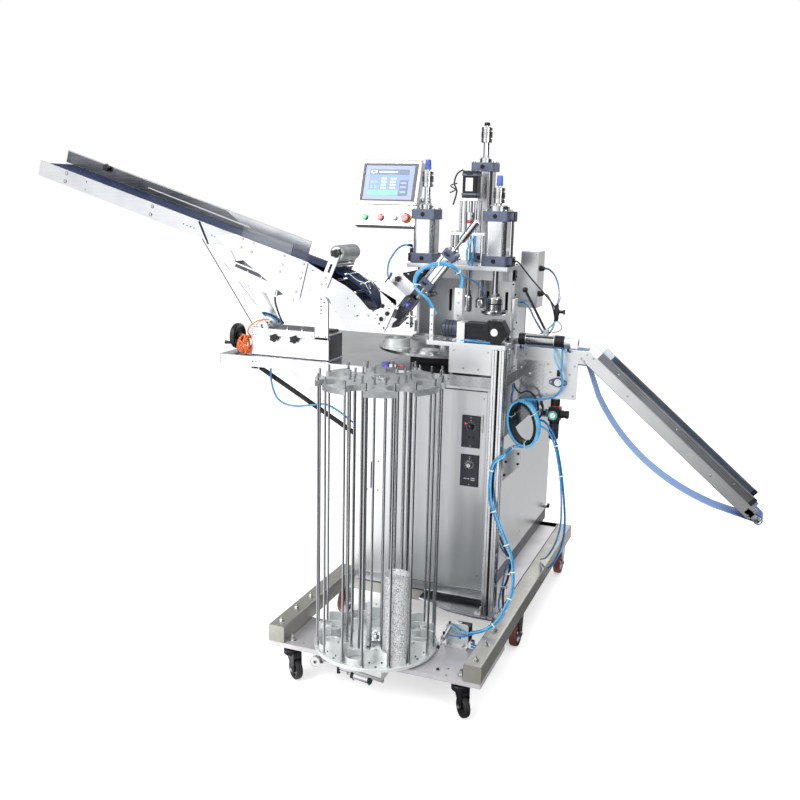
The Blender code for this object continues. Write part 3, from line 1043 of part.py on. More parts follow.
def build_presses():
    base = frame_top + GAP
    half_cap = CAP_SIZE / 2
    top = base + CAP_HEIGHT * 2 + BARREL_HEIGHT
    left_bush = press_cylinder("press_cylinder_left", LEFT_PRESS_X, press_y, base, CAP_SIZE, CAP_HEIGHT,
                               BARREL_SIZE, BARREL_HEIGHT, [])
    flange = [bar((RIGHT_PRESS_X, press_y, top - SINK), (RIGHT_PRESS_X, press_y, top + BUSH_HEIGHT),
                  BARREL_SIZE / 2, ROUND)]
    side_x = RIGHT_PRESS_X + half_cap
    for low in (base, base + CAP_HEIGHT + BARREL_HEIGHT):
        flange.append(box((side_x - SINK, press_y - SWITCH_WIDTH, low + SINK),
                          (side_x + SWITCH_WIDTH, press_y + SWITCH_WIDTH, low + CAP_HEIGHT - SINK)))
    rod_x = side_x + SWITCH_WIDTH / 2
    flange.append(bar((rod_x, press_y, base + CAP_HEIGHT - SINK * 2),
                      (rod_x, press_y, base + CAP_HEIGHT + BARREL_HEIGHT + SINK * 2), SWITCH_ROD, FINE))
    right_bush = press_cylinder("press_cylinder_right", RIGHT_PRESS_X, press_y, base, CAP_SIZE, CAP_HEIGHT,
                                BARREL_SIZE, BARREL_HEIGHT, flange)
    tall_bush = press_cylinder("press_cylinder_rear", TALL_X, tall_y, base, TALL_CAP, TALL_CAP_HEIGHT,
                               TALL_BARREL, TALL_BARREL_HEIGHT, [])
    plate_low = frame_top - TOP_PLATE_THICK
    head_top = plate_low - HEAD_DROP
    up = PRESS_STROKE + SLEEVE_REST
    press_rod("press_rod_left", LEFT_PRESS_X, press_y, left_bush, up, head_top + PRESS_STROKE - SINK,
              press_head(LEFT_PRESS_X, press_y, head_top + PRESS_STROKE), TAIL_KNOB_HEIGHT)
    press_rod("press_rod_right", RIGHT_PRESS_X, press_y, right_bush, SLEEVE_REST, head_top - SINK,
              press_head(RIGHT_PRESS_X, press_y, head_top), TAIL_KNOB_HEIGHT)
    low = plate_low - TALL_HEAD_DROP
    tool = [bar((TALL_X, tall_y, low - TALL_HEAD_HEIGHT), (TALL_X, tall_y, low), TALL_HEAD, ROUND)]
    press_rod("press_rod_rear", TALL_X, tall_y, tall_bush, TALL_SLEEVE_REST, low - SINK, tool,
              KNOB_NECK * 2)


def build_spindle():
    base = frame_top + GAP
    low_plate, mid_plate = base + TOWER_LOW, base + TOWER_MID
    motor_low = mid_plate + TOWER_PLATE
    half_w, half_d = TOWER_WIDTH / 2, TOWER_DEPTH / 2
    shapes = [centred_box((TOWER_X, tower_y, low_plate + TOWER_PLATE / 2),
                          (TOWER_WIDTH, TOWER_DEPTH, TOWER_PLATE))]
    motor_half = MOTOR_SIZE / 2 + TOWER_POST
    shapes.append(centred_box((TOWER_X, tower_y, mid_plate + TOWER_PLATE / 2),
                              (motor_half * 2, motor_half * 2, TOWER_PLATE)))
    for a in (-1, 1):
        for b in (-1, 1):
            x, y = TOWER_X + a * (half_w - TOWER_POST * 1.5), tower_y + b * (half_d - TOWER_POST * 1.5)
            shapes.append(bar((x, y, base), (x, y, low_plate + SINK), TOWER_POST, FINE))
            x, y = TOWER_X + a * (motor_half - TOWER_POST), tower_y + b * (motor_half - TOWER_POST)
            shapes.append(bar((x, y, low_plate + TOWER_PLATE - SINK), (x, y, mid_plate + SINK),
                              TOWER_POST * 0.7, FINE))
    motor_top = motor_low + MOTOR_HEIGHT
    shapes.append(post(TOWER_X, tower_y, motor_low - SINK, motor_top, MOTOR_SIZE, MOTOR_CORNER))
    for level in (motor_low + MOTOR_HEIGHT * 0.15, motor_low + MOTOR_HEIGHT * 0.85):
        shapes.append(post(TOWER_X, tower_y, level - MOTOR_BAND, level + MOTOR_BAND,
                           MOTOR_SIZE + MOTOR_BAND, MOTOR_CORNER))
    bore = bar((TOWER_X, tower_y, low_plate - OVERRUN), (TOWER_X, tower_y, motor_low + MOTOR_HEIGHT / 5),
               SPINDLE_RADIUS + GAP, ROUND)
    node("spindle_motor", dark_steel, shapes, [bore])

    tip = table_top + SPINDLE_TIP
    coupling_low = low_plate + TOWER_PLATE + SIDE_PLAY * 4
    turning = [bar((TOWER_X, tower_y, tip), (TOWER_X, tower_y, motor_low + MOTOR_HEIGHT / 6),
                   SPINDLE_RADIUS, ROUND)]
    turning.append(bar((TOWER_X, tower_y, coupling_low), (TOWER_X, tower_y, coupling_low + COUPLING_HEIGHT),
                       COUPLING_RADIUS, ROUND))
    turning.append(bar((TOWER_X, tower_y, tip), (TOWER_X, tower_y, tip + SPINDLE_HEAD_HEIGHT), SPINDLE_HEAD,
                       ROUND))
    node("spindle", chrome, turning, pivot=(TOWER_X, tower_y, tip))


def build_gearmotor():
    base = support_top + GAP
    y = SUPPORT_FRONT + SUPPORT_DEPTH / 2
    level = base + GEAR_ACROSS / 2
    circle = GEAR_ACROSS / 2 / math.cos(math.pi / 6)
    outline = arc((GEAR_X, level), circle, 0, 300, 6)
    shapes = [prism(outline, "Y", y - GEAR_DEPTH / 2, y + GEAR_DEPTH / 2)]
    half = GEAR_BODY / 2
    body_end = GEAR_X - GEAR_ACROSS / 4
    shapes.append(box((GEAR_BODY_LEFT, y - half, level - half), (body_end, y + half, level + half)))
    plate_half = GEAR_PLATE / 2
    shapes.append(box((GEAR_PLATE_LEFT, y - plate_half, base),
                      (GEAR_BODY_LEFT + SINK, y + plate_half, base + GEAR_PLATE)))
    shapes.append(bar((GEAR_BELL_LEFT, y, level), (GEAR_PLATE_LEFT + SINK, y, level), GEAR_BELL, LARGE))
    bore = bar((GEAR_X, y - GEAR_DEPTH, level), (GEAR_X, y + GEAR_DEPTH, level), GEAR_BORE + GAP, LARGE)
    node("gearmotor", dark_steel, shapes, [bore])
    shell = ((GEAR_BORE - GEAR_WALL, 0), (GEAR_BORE, 0), (GEAR_BORE, GEAR_DEPTH + GEAR_WALL),
             (GEAR_BORE - GEAR_WALL, GEAR_DEPTH + GEAR_WALL))
    start = (GEAR_X, y - GEAR_DEPTH / 2 - GEAR_WALL / 2, level)
    key = centred_box((GEAR_X + GEAR_BORE - GEAR_WALL, y, level), (GEAR_WALL, GEAR_DEPTH * 0.9, GEAR_WALL))
    node("gearmotor_shaft", chrome, [turned(shell, start, (0, 1, 0), LARGE), key], pivot=(GEAR_X, y, level))


# Screen panel, tilted back on a tube
def panel_point(x, height, depth):
    tilt = math.radians(PANEL_TILT)
    y = panel_y + height * math.sin(tilt) + depth * math.cos(tilt)
    z = table_top + PANEL_RISE + height * math.cos(tilt) - depth * math.sin(tilt)
    return Vector((PANEL_X + x, y, z))


def screen_axis():
    middle = panel_point(0, CLAMP_RISE, PANEL_DEPTH + CLAMP_SIZE / 2)
    return middle.y, middle.z


def panel_shape(low, high):
    # a box given in the panel's own width, height and depth, stood up and tilted
    shape = box(low, high)
    for vertex in shape.verts:
        vertex.co = panel_point(vertex.co.x, vertex.co.z, vertex.co.y)
    return shape


def build_panel():
    back = PANEL_DEPTH
    shapes = [panel_shape((0, BEZEL_THICK - SINK, -PANEL_SKIRT), (PANEL_WIDTH, back, PANEL_HEIGHT))]
    shapes.append(panel_shape((-SINK * 2, 0, -SINK * 3), (PANEL_WIDTH + SINK * 2, BEZEL_THICK,
                                                          PANEL_HEIGHT + SINK * 3)))
    middle = PANEL_WIDTH / 2
    shapes.append(panel_shape((middle - CLAMP_WIDTH / 2, back - SINK, CLAMP_RISE - CLAMP_SIZE / 2),
                              (middle + CLAMP_WIDTH / 2, back + CLAMP_SIZE, CLAMP_RISE + CLAMP_SIZE / 2)))
    cuts = [panel_shape((BEZEL_WALL, -OVERRUN, BEZEL_WALL),
                        (PANEL_WIDTH - BEZEL_WALL, SCREEN_RECESS, PANEL_HEIGHT - BEZEL_WALL))]
    axis_y, axis_z = screen_axis()
    cuts.append(bar((PANEL_X + middle - CLAMP_WIDTH, axis_y, axis_z),
                    (PANEL_X + middle + CLAMP_WIDTH, axis_y, axis_z),
                    SCREEN_TUBE + GAP, LARGE))
    face = BEZEL_THICK - SINK
    for x in BUTTON_PLACES.values():
        cuts.append(bar(panel_point(x, -BUTTON_DROP, face - OVERRUN),
                        panel_point(x, -BUTTON_DROP, face + back / 2),
                        BUTTON_STEM + GAP, ROUND))
    node("hmi_panel", panel_grey, shapes, cuts, pivot=(PANEL_X + middle, axis_y, axis_z))

    looks = {"start_button": (green_cap, BUTTON_RADIUS, BUTTON_HEIGHT),
             "stop_button": (red_cap, BUTTON_RADIUS, BUTTON_HEIGHT),
             "selector_knob": (white_cap, BUTTON_RADIUS, BUTTON_HEIGHT * 2),
             "estop_button": (red_cap, ESTOP_RADIUS, ESTOP_HEIGHT)}
    for name, (material, radius, height) in looks.items():
        x = BUTTON_PLACES[name]
        travel = GAP if name == "selector_knob" else BUTTON_TRAVEL
        low = panel_point(x, -BUTTON_DROP, face - travel)
        high = panel_point(x, -BUTTON_DROP, face - travel - height)
        shapes = [bar(low, high, radius, ROUND, radius * 0.9)]
        shapes.append(bar(panel_point(x, -BUTTON_DROP, face - travel - SINK),
                          panel_point(x, -BUTTON_DROP, face + back / 3),
                          BUTTON_STEM, ROUND))
        if name == "selector_knob":
            shapes.append(bar(panel_point(x, -BUTTON_DROP - radius * 0.8, face - travel - height - SINK),
                              panel_point(x, -BUTTON_DROP + radius * 0.8, face - travel - height - SINK),
                              SINK * 3, FINE))
        node(name, material, shapes, pivot=tuple(low))


# Infeed conveyor
def along_infeed(distance, drop):
    # a point on the long plate, measured from the knee up the slope and down from its top edge
    return (KNEE_X - distance * math.cos(slope) - drop * math.sin(slope),
            knee_z + distance * math.sin(slope) - drop * math.cos(slope))


def infeed_belt_paths():
    # the belt's outer line: up the long plate, over the knee, down the steep nose and back below
    nose = (KNEE_X + NOSE_X, knee_z - NOSE_DROP)
    reach = (NOSE_RADIUS + GAP) / math.cos(math.radians(WRAP_STEP))
    tail_drop = BELT_PLAY + TAIL_ROLLER
    tail = along_infeed(INFEED_LENGTH - tail_drop * 2, tail_drop)
    convex_shares = ((0.05, 0.035), (0.20, 0.10), (0.36, 0.185), (0.52, 0.30), (0.68, 0.48), (0.82, 0.66))
    tail_degrees = math.degrees(slope)

    def line(grow):
        over = [(KNEE_X + NOSE_X * a * 1.09, knee_z - NOSE_DROP * b * 1.04 + grow) for a,
                b in convex_shares]
        tail_arc = arc(tail, TAIL_ROLLER + grow, 90 - tail_degrees, 270 - tail_degrees, 7)
        start = along_infeed(0, BELT_PLAY - grow)
        nose_arc = arc(nose, reach + grow, 52, -110, 7)
        under = [along_infeed(INFEED_LENGTH * 0.02, BELT_PLAY + TAIL_ROLLER * 2 + grow + GAP)]
        return [start] + over + nose_arc + under + tail_arc[::-1]

    return line(BELT_THICK), line(0), nose, tail


def build_infeed():
    steep = shares_outline((KNEE_X, knee_z), STEEP_SPAN, STEEP_DROP, STEEP_SHARES)
    side = [along_infeed(INFEED_LENGTH, 0), (KNEE_X, knee_z)] + steep
    side += [along_infeed(INFEED_PLATE_HEIGHT / 2, INFEED_PLATE_HEIGHT),
             along_infeed(INFEED_LENGTH, INFEED_PLATE_HEIGHT)]
    shapes = [prism(side, "Y", near, near + SIDE_SHEET) for near in (INFEED_FRONT, infeed_back)]
    outer, inner, nose, tail = infeed_belt_paths()
    inside_front, inside_back = INFEED_FRONT + SIDE_SHEET, infeed_back
    bed_drop = BELT_PLAY + GAP
    bed = [along_infeed(INFEED_LENGTH * 0.06, bed_drop), along_infeed(INFEED_LENGTH * 0.94, bed_drop),
           along_infeed(INFEED_LENGTH * 0.94, bed_drop + BED_THICK),
           along_infeed(INFEED_LENGTH * 0.06, bed_drop + BED_THICK)]
    shapes.append(prism(bed, "Y", inside_front - SINK, inside_back + SINK))
    for share_x, share_z in ((0.30, 0.27), (0.53, 0.43)):
        x, z = KNEE_X + STEEP_SPAN * share_x, knee_z - STEEP_DROP * share_z
        shapes.append(bar((x, inside_front - SINK, z), (x, inside_back + SINK, z), BED_THICK, FINE))
    shapes.append(bar((tail[0], inside_front - SINK, tail[1]), (tail[0], inside_back + SINK, tail[1]),
                      TAIL_ROLLER * 0.94, ROUND))
    guard = [along_infeed(GUARD_SHORT, SINK), along_infeed(INFEED_LENGTH, SINK),
             along_infeed(INFEED_LENGTH, -GUARD_HEIGHT),
             along_infeed(GUARD_SHORT, -GUARD_HEIGHT)]
    shapes.append(prism(guard, "Y", infeed_back, infeed_back + SIDE_SHEET))
    knob = along_infeed(INFEED_LENGTH * 0.83, -GUARD_HEIGHT * 0.8)
    shapes += star_knob(knob[0], infeed_back - STAR_DEPTH * 1.5, knob[1], infeed_back + SINK)

    hanger = shares_outline((KNEE_X - HANGER_SPAN + SINK * 5, knee_z), HANGER_SPAN, HANGER_DROP,
                            HANGER_SHARES)
    shapes.append(prism(hanger, "Y", INFEED_FRONT - HANGER_THICK, INFEED_FRONT + SINK))
    motor_box = shares_outline((KNEE_X - BOX_SPAN, knee_z), BOX_SPAN, BOX_DROP, BOX_SHARES)
    shapes.append(prism(motor_box, "Y", INFEED_FRONT - SINK, infeed_back - SIDE_SHEET))
    foot_z = table_top + GAP + BASE_HEIGHT + GAP
    leg_far, leg_near = (KNEE_X - LEG_HIGH_LEFT) / math.cos(slope), (KNEE_X - LEG_HIGH_RIGHT) / math.cos(slope)
    shelf_drop = INFEED_PLATE_HEIGHT - SIDE_SHEET
    shelf = [along_infeed(leg_far, shelf_drop), along_infeed(leg_near, shelf_drop),
             along_infeed(leg_near, INFEED_PLATE_HEIGHT), along_infeed(leg_far, INFEED_PLATE_HEIGHT)]
    shapes.append(prism(shelf, "Y", inside_front - SINK, infeed_back + SINK))
    leg = [along_infeed(leg_far - SINK, shelf_drop + SINK), (LEG_LOW_LEFT, foot_z), (LEG_LOW_RIGHT, foot_z),
           along_infeed(leg_near + SINK, shelf_drop + SINK)]
    leg_front = BASE_FRONT + BASE_STEP
    leg_back = infeed_back - BASE_STEP - SIDE_SHEET
    shapes.append(prism(leg, "Y", leg_front, leg_front + SIDE_SHEET))
    shapes.append(prism(leg, "Y", leg_back - SIDE_SHEET, leg_back))
    shapes.append(box((LEG_LOW_LEFT - SINK, leg_front - SINK, foot_z),
                      (LEG_LOW_RIGHT + SINK, leg_back + SINK, foot_z + SIDE_SHEET)))

    arm_front = INFEED_FRONT - ARM_THICK
    drum = (KNEE_X + DRUM_X, knee_z + DRUM_RISE)
    foot_point = (KNEE_X + ARM_FOOT_X, knee_z - ARM_FOOT_DROP)
    for near in (arm_front, infeed_back + SIDE_SHEET - SINK):
        shapes.append(slab(foot_point, drum, ARM_WIDTH, ARM_THICK + SINK, near))
    idler = (KNEE_X + IDLER_X, knee_z - IDLER_DROP)
    shapes.append(bar((idler[0], arm_front + SINK, idler[1]),
                      (idler[0], infeed_back + SIDE_SHEET, idler[1]),
                      IDLER_RADIUS, ROUND))
    drum_bore = BOLT_RADIUS + GAP
    cuts = [bar((drum[0], arm_front - OVERRUN, drum[1]), (drum[0],
                                                          infeed_back + SIDE_SHEET + ARM_THICK + OVERRUN,
                                                          drum[1]),
                drum_bore, ROUND)]
    nose_bore = NOSE_RADIUS / 2 + GAP
    cuts.append(bar((nose[0], INFEED_FRONT - OVERRUN, nose[1]),
                    (nose[0], infeed_back + SIDE_SHEET + OVERRUN, nose[1]),
                    nose_bore, ROUND))
    lean = Vector((foot_point[0] - drum[0], foot_point[1] - drum[1])) * 0.45
    slot_low, slot_high = (Vector(drum) + lean * share for share in SLOT_SHARES)
    cuts.append(slab(tuple(slot_low), tuple(slot_high), ARM_WIDTH / 4, ARM_THICK * 0.6, arm_front - SINK))
    node("infeed_frame", steel, shapes, cuts)

    belt_front = inside_front + BELT_PLAY
    belt_back = inside_back - BELT_PLAY
    belt = prism(outer, "Y", belt_front, belt_back)
    hole = prism(inner, "Y", belt_front - OVERRUN, belt_back + OVERRUN)
    node("infeed_belt", navy_belt, [belt], [hole])

    shaft = NOSE_RADIUS / 2
    roller = ((0, 0), (shaft, 0), (shaft, SIDE_SHEET + SIDE_PLAY), (NOSE_RADIUS, SIDE_SHEET + SIDE_PLAY),
              (NOSE_RADIUS, INFEED_SPACING - SIDE_PLAY), (shaft, INFEED_SPACING - SIDE_PLAY),
              (shaft, INFEED_SPACING + SIDE_SHEET), (0, INFEED_SPACING + SIDE_SHEET))
    node("infeed_roller", chrome, [turned(roller, (nose[0], INFEED_FRONT, nose[1]), (0, 1, 0), ROUND)],
         pivot=(nose[0], INFEED_FRONT, nose[1]))

    drum_front = INFEED_FRONT + SINK + SIDE_PLAY
    width = infeed_back + SIDE_SHEET - SINK - SIDE_PLAY - drum_front
    drum_profile = ((0, 0), (DRUM_RADIUS, 0), (DRUM_RADIUS, width), (0, width))
    spin = [turned(drum_profile, (drum[0], drum_front, drum[1]), (0, 1, 0), LARGE)]
    spin.append(bar((drum[0], arm_front - STAR_DEPTH, drum[1]),
                    (drum[0], infeed_back + SIDE_SHEET + ARM_THICK, drum[1]), BOLT_RADIUS, ROUND))
    spin += star_knob(drum[0], arm_front - SIDE_PLAY - STAR_DEPTH, drum[1], arm_front)
    node("press_drum", grey_cast, spin, pivot=(drum[0], INFEED_FRONT, drum[1]))


def build_infeed_base():
    low = table_top + GAP
    top = low + BASE_HEIGHT
    bar_low = top - BASE_BAR_HEIGHT
    shapes = [box((BASE_LEFT, BASE_FRONT, low), (BASE_RIGHT, BASE_BACK, top - BASE_STEP))]
    shapes.append(box((BASE_LEFT, BASE_FRONT - BASE_STEP, bar_low),
                      (BASE_RIGHT - UPRIGHT_WIDTH, BASE_BACK, top)))
    for x in BASE_KNOBS:
        shapes += star_knob(x, BASE_FRONT - STAR_DEPTH * 1.6, low + BASE_KNOB_RISE, BASE_FRONT + SINK)
    right = UPRIGHT_LEFT + UPRIGHT_WIDTH
    crown = arc((UPRIGHT_LEFT + UPRIGHT_WIDTH / 2, table_top + UPRIGHT_TOP - UPRIGHT_WIDTH / 2),
                UPRIGHT_WIDTH / 2, 0, 180, 7)
    outline = [(UPRIGHT_LEFT, bar_low), (right, bar_low)] + crown
    plate_back = INFEED_FRONT - GAP
    shapes.append(prism(outline, "Y", plate_back - HANGER_THICK * 2, plate_back))
    shapes.append(box((UPRIGHT_LEFT, plate_back - HANGER_THICK * 2, bar_low),
                      (right, BASE_FRONT + SINK, bar_low + BASE_STEP)))
    wheel_z = table_top + WHEEL_RISE
    wheel_y = (BASE_FRONT + BASE_BACK) / 2
    bore = bar((BASE_LEFT - OVERRUN, wheel_y, wheel_z), (BASE_LEFT + HANDWHEEL_REACH / 2, wheel_y, wheel_z),
               BOLT_RADIUS + GAP, ROUND)
    node("infeed_base", steel, shapes, [bore])

    hub_x = BASE_LEFT - HANDWHEEL_REACH
    rim = ((0, 0), (HANDWHEEL_RADIUS * 0.9, 0), (HANDWHEEL_RADIUS, HANDWHEEL_THICK * 0.3),
           (HANDWHEEL_RADIUS, HANDWHEEL_THICK * 0.8), (HANDWHEEL_RADIUS * 0.85, HANDWHEEL_THICK),
           (HANDWHEEL_RADIUS * 0.6, HANDWHEEL_THICK * 0.6), (0, HANDWHEEL_THICK * 0.6))
    shapes = [turned(rim, (hub_x, wheel_y, wheel_z), (1, 0, 0), LARGE)]
    shapes.append(bar((hub_x + SINK, wheel_y, wheel_z), (BASE_LEFT + HANDWHEEL_REACH / 2 - SIDE_PLAY,
                                                         wheel_y, wheel_z),
                      BOLT_RADIUS, ROUND))
    crank_y, crank_z = wheel_y - HANDWHEEL_RADIUS * 0.55, wheel_z - HANDWHEEL_RADIUS * 0.5
    shapes.append(bar((hub_x + SINK, crank_y, crank_z), (hub_x - CRANK_LENGTH, crank_y, crank_z),
                      CRANK_RADIUS * 0.7, FINE,
                      CRANK_RADIUS))
    node("handwheel", black_plastic, shapes, pivot=(hub_x, wheel_y, wheel_z))


# Cutter head, chute and feed cylinder
def feed_point(up, across, depth=0.0):
    return feed_low + feed_up * up + feed_across * across + Vector((0, depth, 0))


def feed_prism(corners, near, far):
    outline = [(feed_point(up, across).x, feed_point(up, across).z) for up, across in corners]
    return prism(outline, "Y", near, far)


def build_feed():
    block_high = -BLOCK_AHEAD
    block_low = block_high - BLOCK_LENGTH
    far = BLOCK_OFFSET + BLOCK_WIDTH
    back = BLOCK_FRONT + BLOCK_DEPTH
    block = [feed_prism(((block_low, BLOCK_OFFSET), (block_high, BLOCK_OFFSET), (block_high, far),
                         (block_low, far)),
                        FEED_Y - BLOCK_DEPTH / 3, back)]
    wedge_side = FEED_CAP / 2 + GAP
    block.append(feed_prism(((block_high - SINK * 3, far * 0.9), (block_high - SINK * 3, wedge_side),
                             (block_high + WEDGE_LENGTH, wedge_side),
                             (block_high + WEDGE_LENGTH, wedge_side + WEDGE_TOE)),
                            FEED_Y - WEDGE_DEPTH / 2, FEED_Y + WEDGE_DEPTH / 2))
    plate = shares_outline((NOSE_X + KNEE_X - CUTTER_AHEAD, knee_z - ARM_FOOT_DROP), CUTTER_SPAN,
                           CUTTER_DROP,
                           CUTTER_SHARES)
    plate_back = INFEED_FRONT - GAP
    block.append(prism(plate, "Y", plate_back - HANGER_THICK, plate_back))
    bridge = [(block_low, BLOCK_OFFSET), (block_low + BLOCK_LENGTH * 0.6, BLOCK_OFFSET),
              (block_low + BLOCK_LENGTH * 0.6, far), (block_low, far)]
    block.append(feed_prism(bridge, plate_back - HANGER_THICK, FEED_Y))
    chute_far = -CHUTE_BACK
    low_end = block_low - CHUTE_LENGTH
    channel = ((block_high - BLOCK_LENGTH / 2, chute_far), (block_high - BLOCK_LENGTH / 2,
                                                            BLOCK_OFFSET + SINK),
               (block_low, CHUTE_WIDTH), (low_end - CHUTE_BACK, 0), (low_end, chute_far))
    half = FEED_BARREL / 2
    for near in (FEED_Y - half, FEED_Y + half - CHUTE_WALL):
        block.append(feed_prism(channel, near, near + CHUTE_WALL))
    floor = ((block_high - BLOCK_LENGTH / 2, chute_far), (block_high - BLOCK_LENGTH / 2,
                                                          chute_far + CHUTE_WALL),
             (low_end, chute_far + CHUTE_WALL), (low_end, chute_far))
    block.append(feed_prism(floor, FEED_Y - half, FEED_Y + half))
    for share in (0.25, 0.75):
        knob = feed_point(block_low + BLOCK_LENGTH * share, far - BLOCK_WIDTH * 0.2)
        block.append(bar((knob.x, FEED_Y - BLOCK_DEPTH / 3 - STAR_DEPTH, knob.z), (knob.x, FEED_Y, knob.z),
                         STAR_RADIUS * 0.7, FINE))
    node("cutter_head", steel, block)

    barrel_low, barrel_high = FEED_CAP_LENGTH, FEED_CAP_LENGTH + FEED_BARREL_LENGTH
    half_cap, half_barrel = FEED_CAP / 2, FEED_BARREL / 2
    end = barrel_high + FEED_CAP_LENGTH
    body = [feed_prism(((barrel_low - SINK, -half_barrel), (barrel_high + SINK, -half_barrel),
                        (barrel_high + SINK, half_barrel), (barrel_low - SINK, half_barrel)),
                       FEED_Y - half_barrel, FEED_Y + half_barrel)]
    for low, high in ((0, barrel_low), (barrel_high, end)):
        body.append(feed_prism(((low, -half_cap), (high, -half_cap), (high, half_cap), (low, half_cap)),
                               FEED_Y - half_cap, FEED_Y + half_cap))
    body.append(bar(feed_point(end - SINK, 0), feed_point(end + FEED_TAIL, 0), FEED_SLEEVE, ROUND))
    bore = bar(feed_point(-OVERRUN, 0), feed_point(end + FEED_TAIL + OVERRUN, 0), FEED_ROD + GAP, ROUND)
    node("feed_cylinder", aluminium, body, [bore])

    sleeve_low = end + FEED_TAIL + FEED_STROKE + FEED_SLEEVE_REST
    moving = [bar(feed_point(-FEED_REACH, 0), feed_point(sleeve_low + SINK, 0), FEED_ROD, ROUND)]
    moving.append(bar(feed_point(sleeve_low, 0), feed_point(sleeve_low + FEED_SLEEVE_LENGTH, 0),
                      FEED_SLEEVE, ROUND))
    node("feed_rod", chrome, moving, pivot=tuple(feed_low))


# Outfeed conveyor
def along_outfeed(distance, drop):
    # a point on the falling stretch, from the knee down the slope and down from the top edge
    return (OUT_KNEE_X + distance * math.cos(out_slope) - drop * math.sin(out_slope),
            out_knee_z - distance * math.sin(out_slope) - drop * math.cos(out_slope))


def build_outfeed():
    knee_back = OUT_PLATE_HEIGHT * math.tan(out_slope / 2)
    side = [(OUT_START_X, out_knee_z), (OUT_KNEE_X, out_knee_z), along_outfeed(OUT_LENGTH, 0),
            along_outfeed(OUT_LENGTH, OUT_PLATE_HEIGHT), (OUT_KNEE_X - knee_back,
                                                          out_knee_z - OUT_PLATE_HEIGHT),
            (OUT_START_X, out_knee_z - OUT_PLATE_HEIGHT)]
    shapes = [prism(side, "Y", out_front, out_front + OUT_SHEET),
              prism(side, "Y", out_back - OUT_SHEET, out_back)]
    inside_front, inside_back = out_front + OUT_SHEET, out_back - OUT_SHEET
    spacer_drop = OUT_BELT_DROP + OUT_BELT_DEPTH / 2 + BELT_THICK
    spots = [(OUT_START_X + OUT_ROLLER * 3, out_knee_z - spacer_drop),
             (OUT_KNEE_X - OUT_ROLLER * 3, out_knee_z - spacer_drop)]
    spots += [along_outfeed(OUT_LENGTH * share, spacer_drop) for share in (0.25, 0.75)]
    for x, z in spots:
        shapes.append(bar((x, inside_front - SINK, z), (x, inside_back + SINK, z), BED_THICK, FINE))
    rail_end = OUT_LENGTH - RAIL_SHORT
    tail_end = out_tail + OUT_TAIL_HALF * 0.6
    for near, start, plate in ((out_front - RAIL_WIDTH + SINK, RAIL_START, out_front),
                               (out_back - SINK, RAIL_BACK_START, out_back - OUT_SHEET)):
        rail = [along_outfeed(start, -RAIL_LIFT), along_outfeed(rail_end, -RAIL_LIFT),
                along_outfeed(rail_end, RAIL_HEIGHT - RAIL_LIFT),
                along_outfeed(start, RAIL_HEIGHT - RAIL_LIFT)]
        shapes.append(prism(rail, "Y", near, near + RAIL_WIDTH))
        tail = [along_outfeed(rail_end, OUT_TAIL_DROP - OUT_TAIL_HALF),
                along_outfeed(tail_end, OUT_TAIL_DROP - OUT_TAIL_HALF),
                along_outfeed(tail_end, OUT_TAIL_DROP + OUT_TAIL_HALF),
                along_outfeed(rail_end, OUT_TAIL_DROP + OUT_TAIL_HALF)]
        shapes.append(prism(tail, "Y", plate, plate + OUT_SHEET))
    saddle_top = out_knee_z - OUT_PLATE_HEIGHT + SINK * 4
    saddle_low = saddle_top - SADDLE_HEIGHT
    near = out_front - OUT_SHEET
    shapes.append(box((SADDLE_LEFT, near, saddle_low), (SADDLE_RIGHT, out_front + SINK, saddle_top)))
    bearing_z = saddle_low + BEARING_RISE
    shapes.append(bar((BEARING_X, near - OUT_SHEET, bearing_z), (BEARING_X, near + SINK, bearing_z),
                      BEARING_RADIUS, ROUND))
    shapes.append(centred_box((BEARING_X, near - OUT_SHEET / 4, bearing_z),
                              (BEARING_RADIUS * 3.4, OUT_SHEET / 2 + SINK, BEARING_RADIUS)))
    shapes.append(bar((BEARING_X, near - OUT_SHEET * 2, bearing_z), (BEARING_X, near, bearing_z),
                      BEARING_RADIUS / 2, ROUND))
    cabinet_right = CABINET_LEFT + CABINET_WIDTH + COVER_THICK + GAP
    table_right = TABLE_RIGHT + GAP * 2
    under = table_low - GAP * 2
    plate_low = out_knee_z - OUT_PLATE_HEIGHT + SINK
    brace = [(table_right, plate_low), (SADDLE_LEFT + SINK * 4, plate_low),
             (SADDLE_LEFT + SINK * 4, under - BRACE_RIGHT_DROP / 2),
             (cabinet_right, under - BRACE_LEFT_DROP), (cabinet_right, under), (table_right, under)]
    shapes.append(prism(brace, "Y", out_front, out_front + OUT_SHEET))
    slot_z = saddle_low + SADDLE_SLOT_RISE + SADDLE_SLOT
    cuts = [centred_box((BEARING_X, out_front, slot_z), (SADDLE_SLOT, OUT_SHEET * 4, SADDLE_SLOT * 2))]
    end = along_outfeed(out_tail, OUT_TAIL_DROP)
    cuts.append(bar((end[0], out_front - RAIL_WIDTH - OVERRUN, end[1]),
                    (end[0], out_back + RAIL_WIDTH + OVERRUN, end[1]),
                    OUT_ROLLER / 2 + GAP, ROUND))
    node("outfeed_frame", steel, shapes, cuts)

    shaft = OUT_ROLLER / 2
    width = OUT_SPACING
    roller = ((0, 0), (shaft, 0), (shaft, OUT_SHEET + SIDE_PLAY), (OUT_ROLLER, OUT_SHEET + SIDE_PLAY),
              (OUT_ROLLER, width - OUT_SHEET - SIDE_PLAY), (shaft, width - OUT_SHEET - SIDE_PLAY),
              (shaft, width), (0, width))
    node("outfeed_roller", chrome, [turned(roller, (end[0], out_front, end[1]), (0, 1, 0), ROUND)],
         pivot=(end[0], out_front, end[1]))

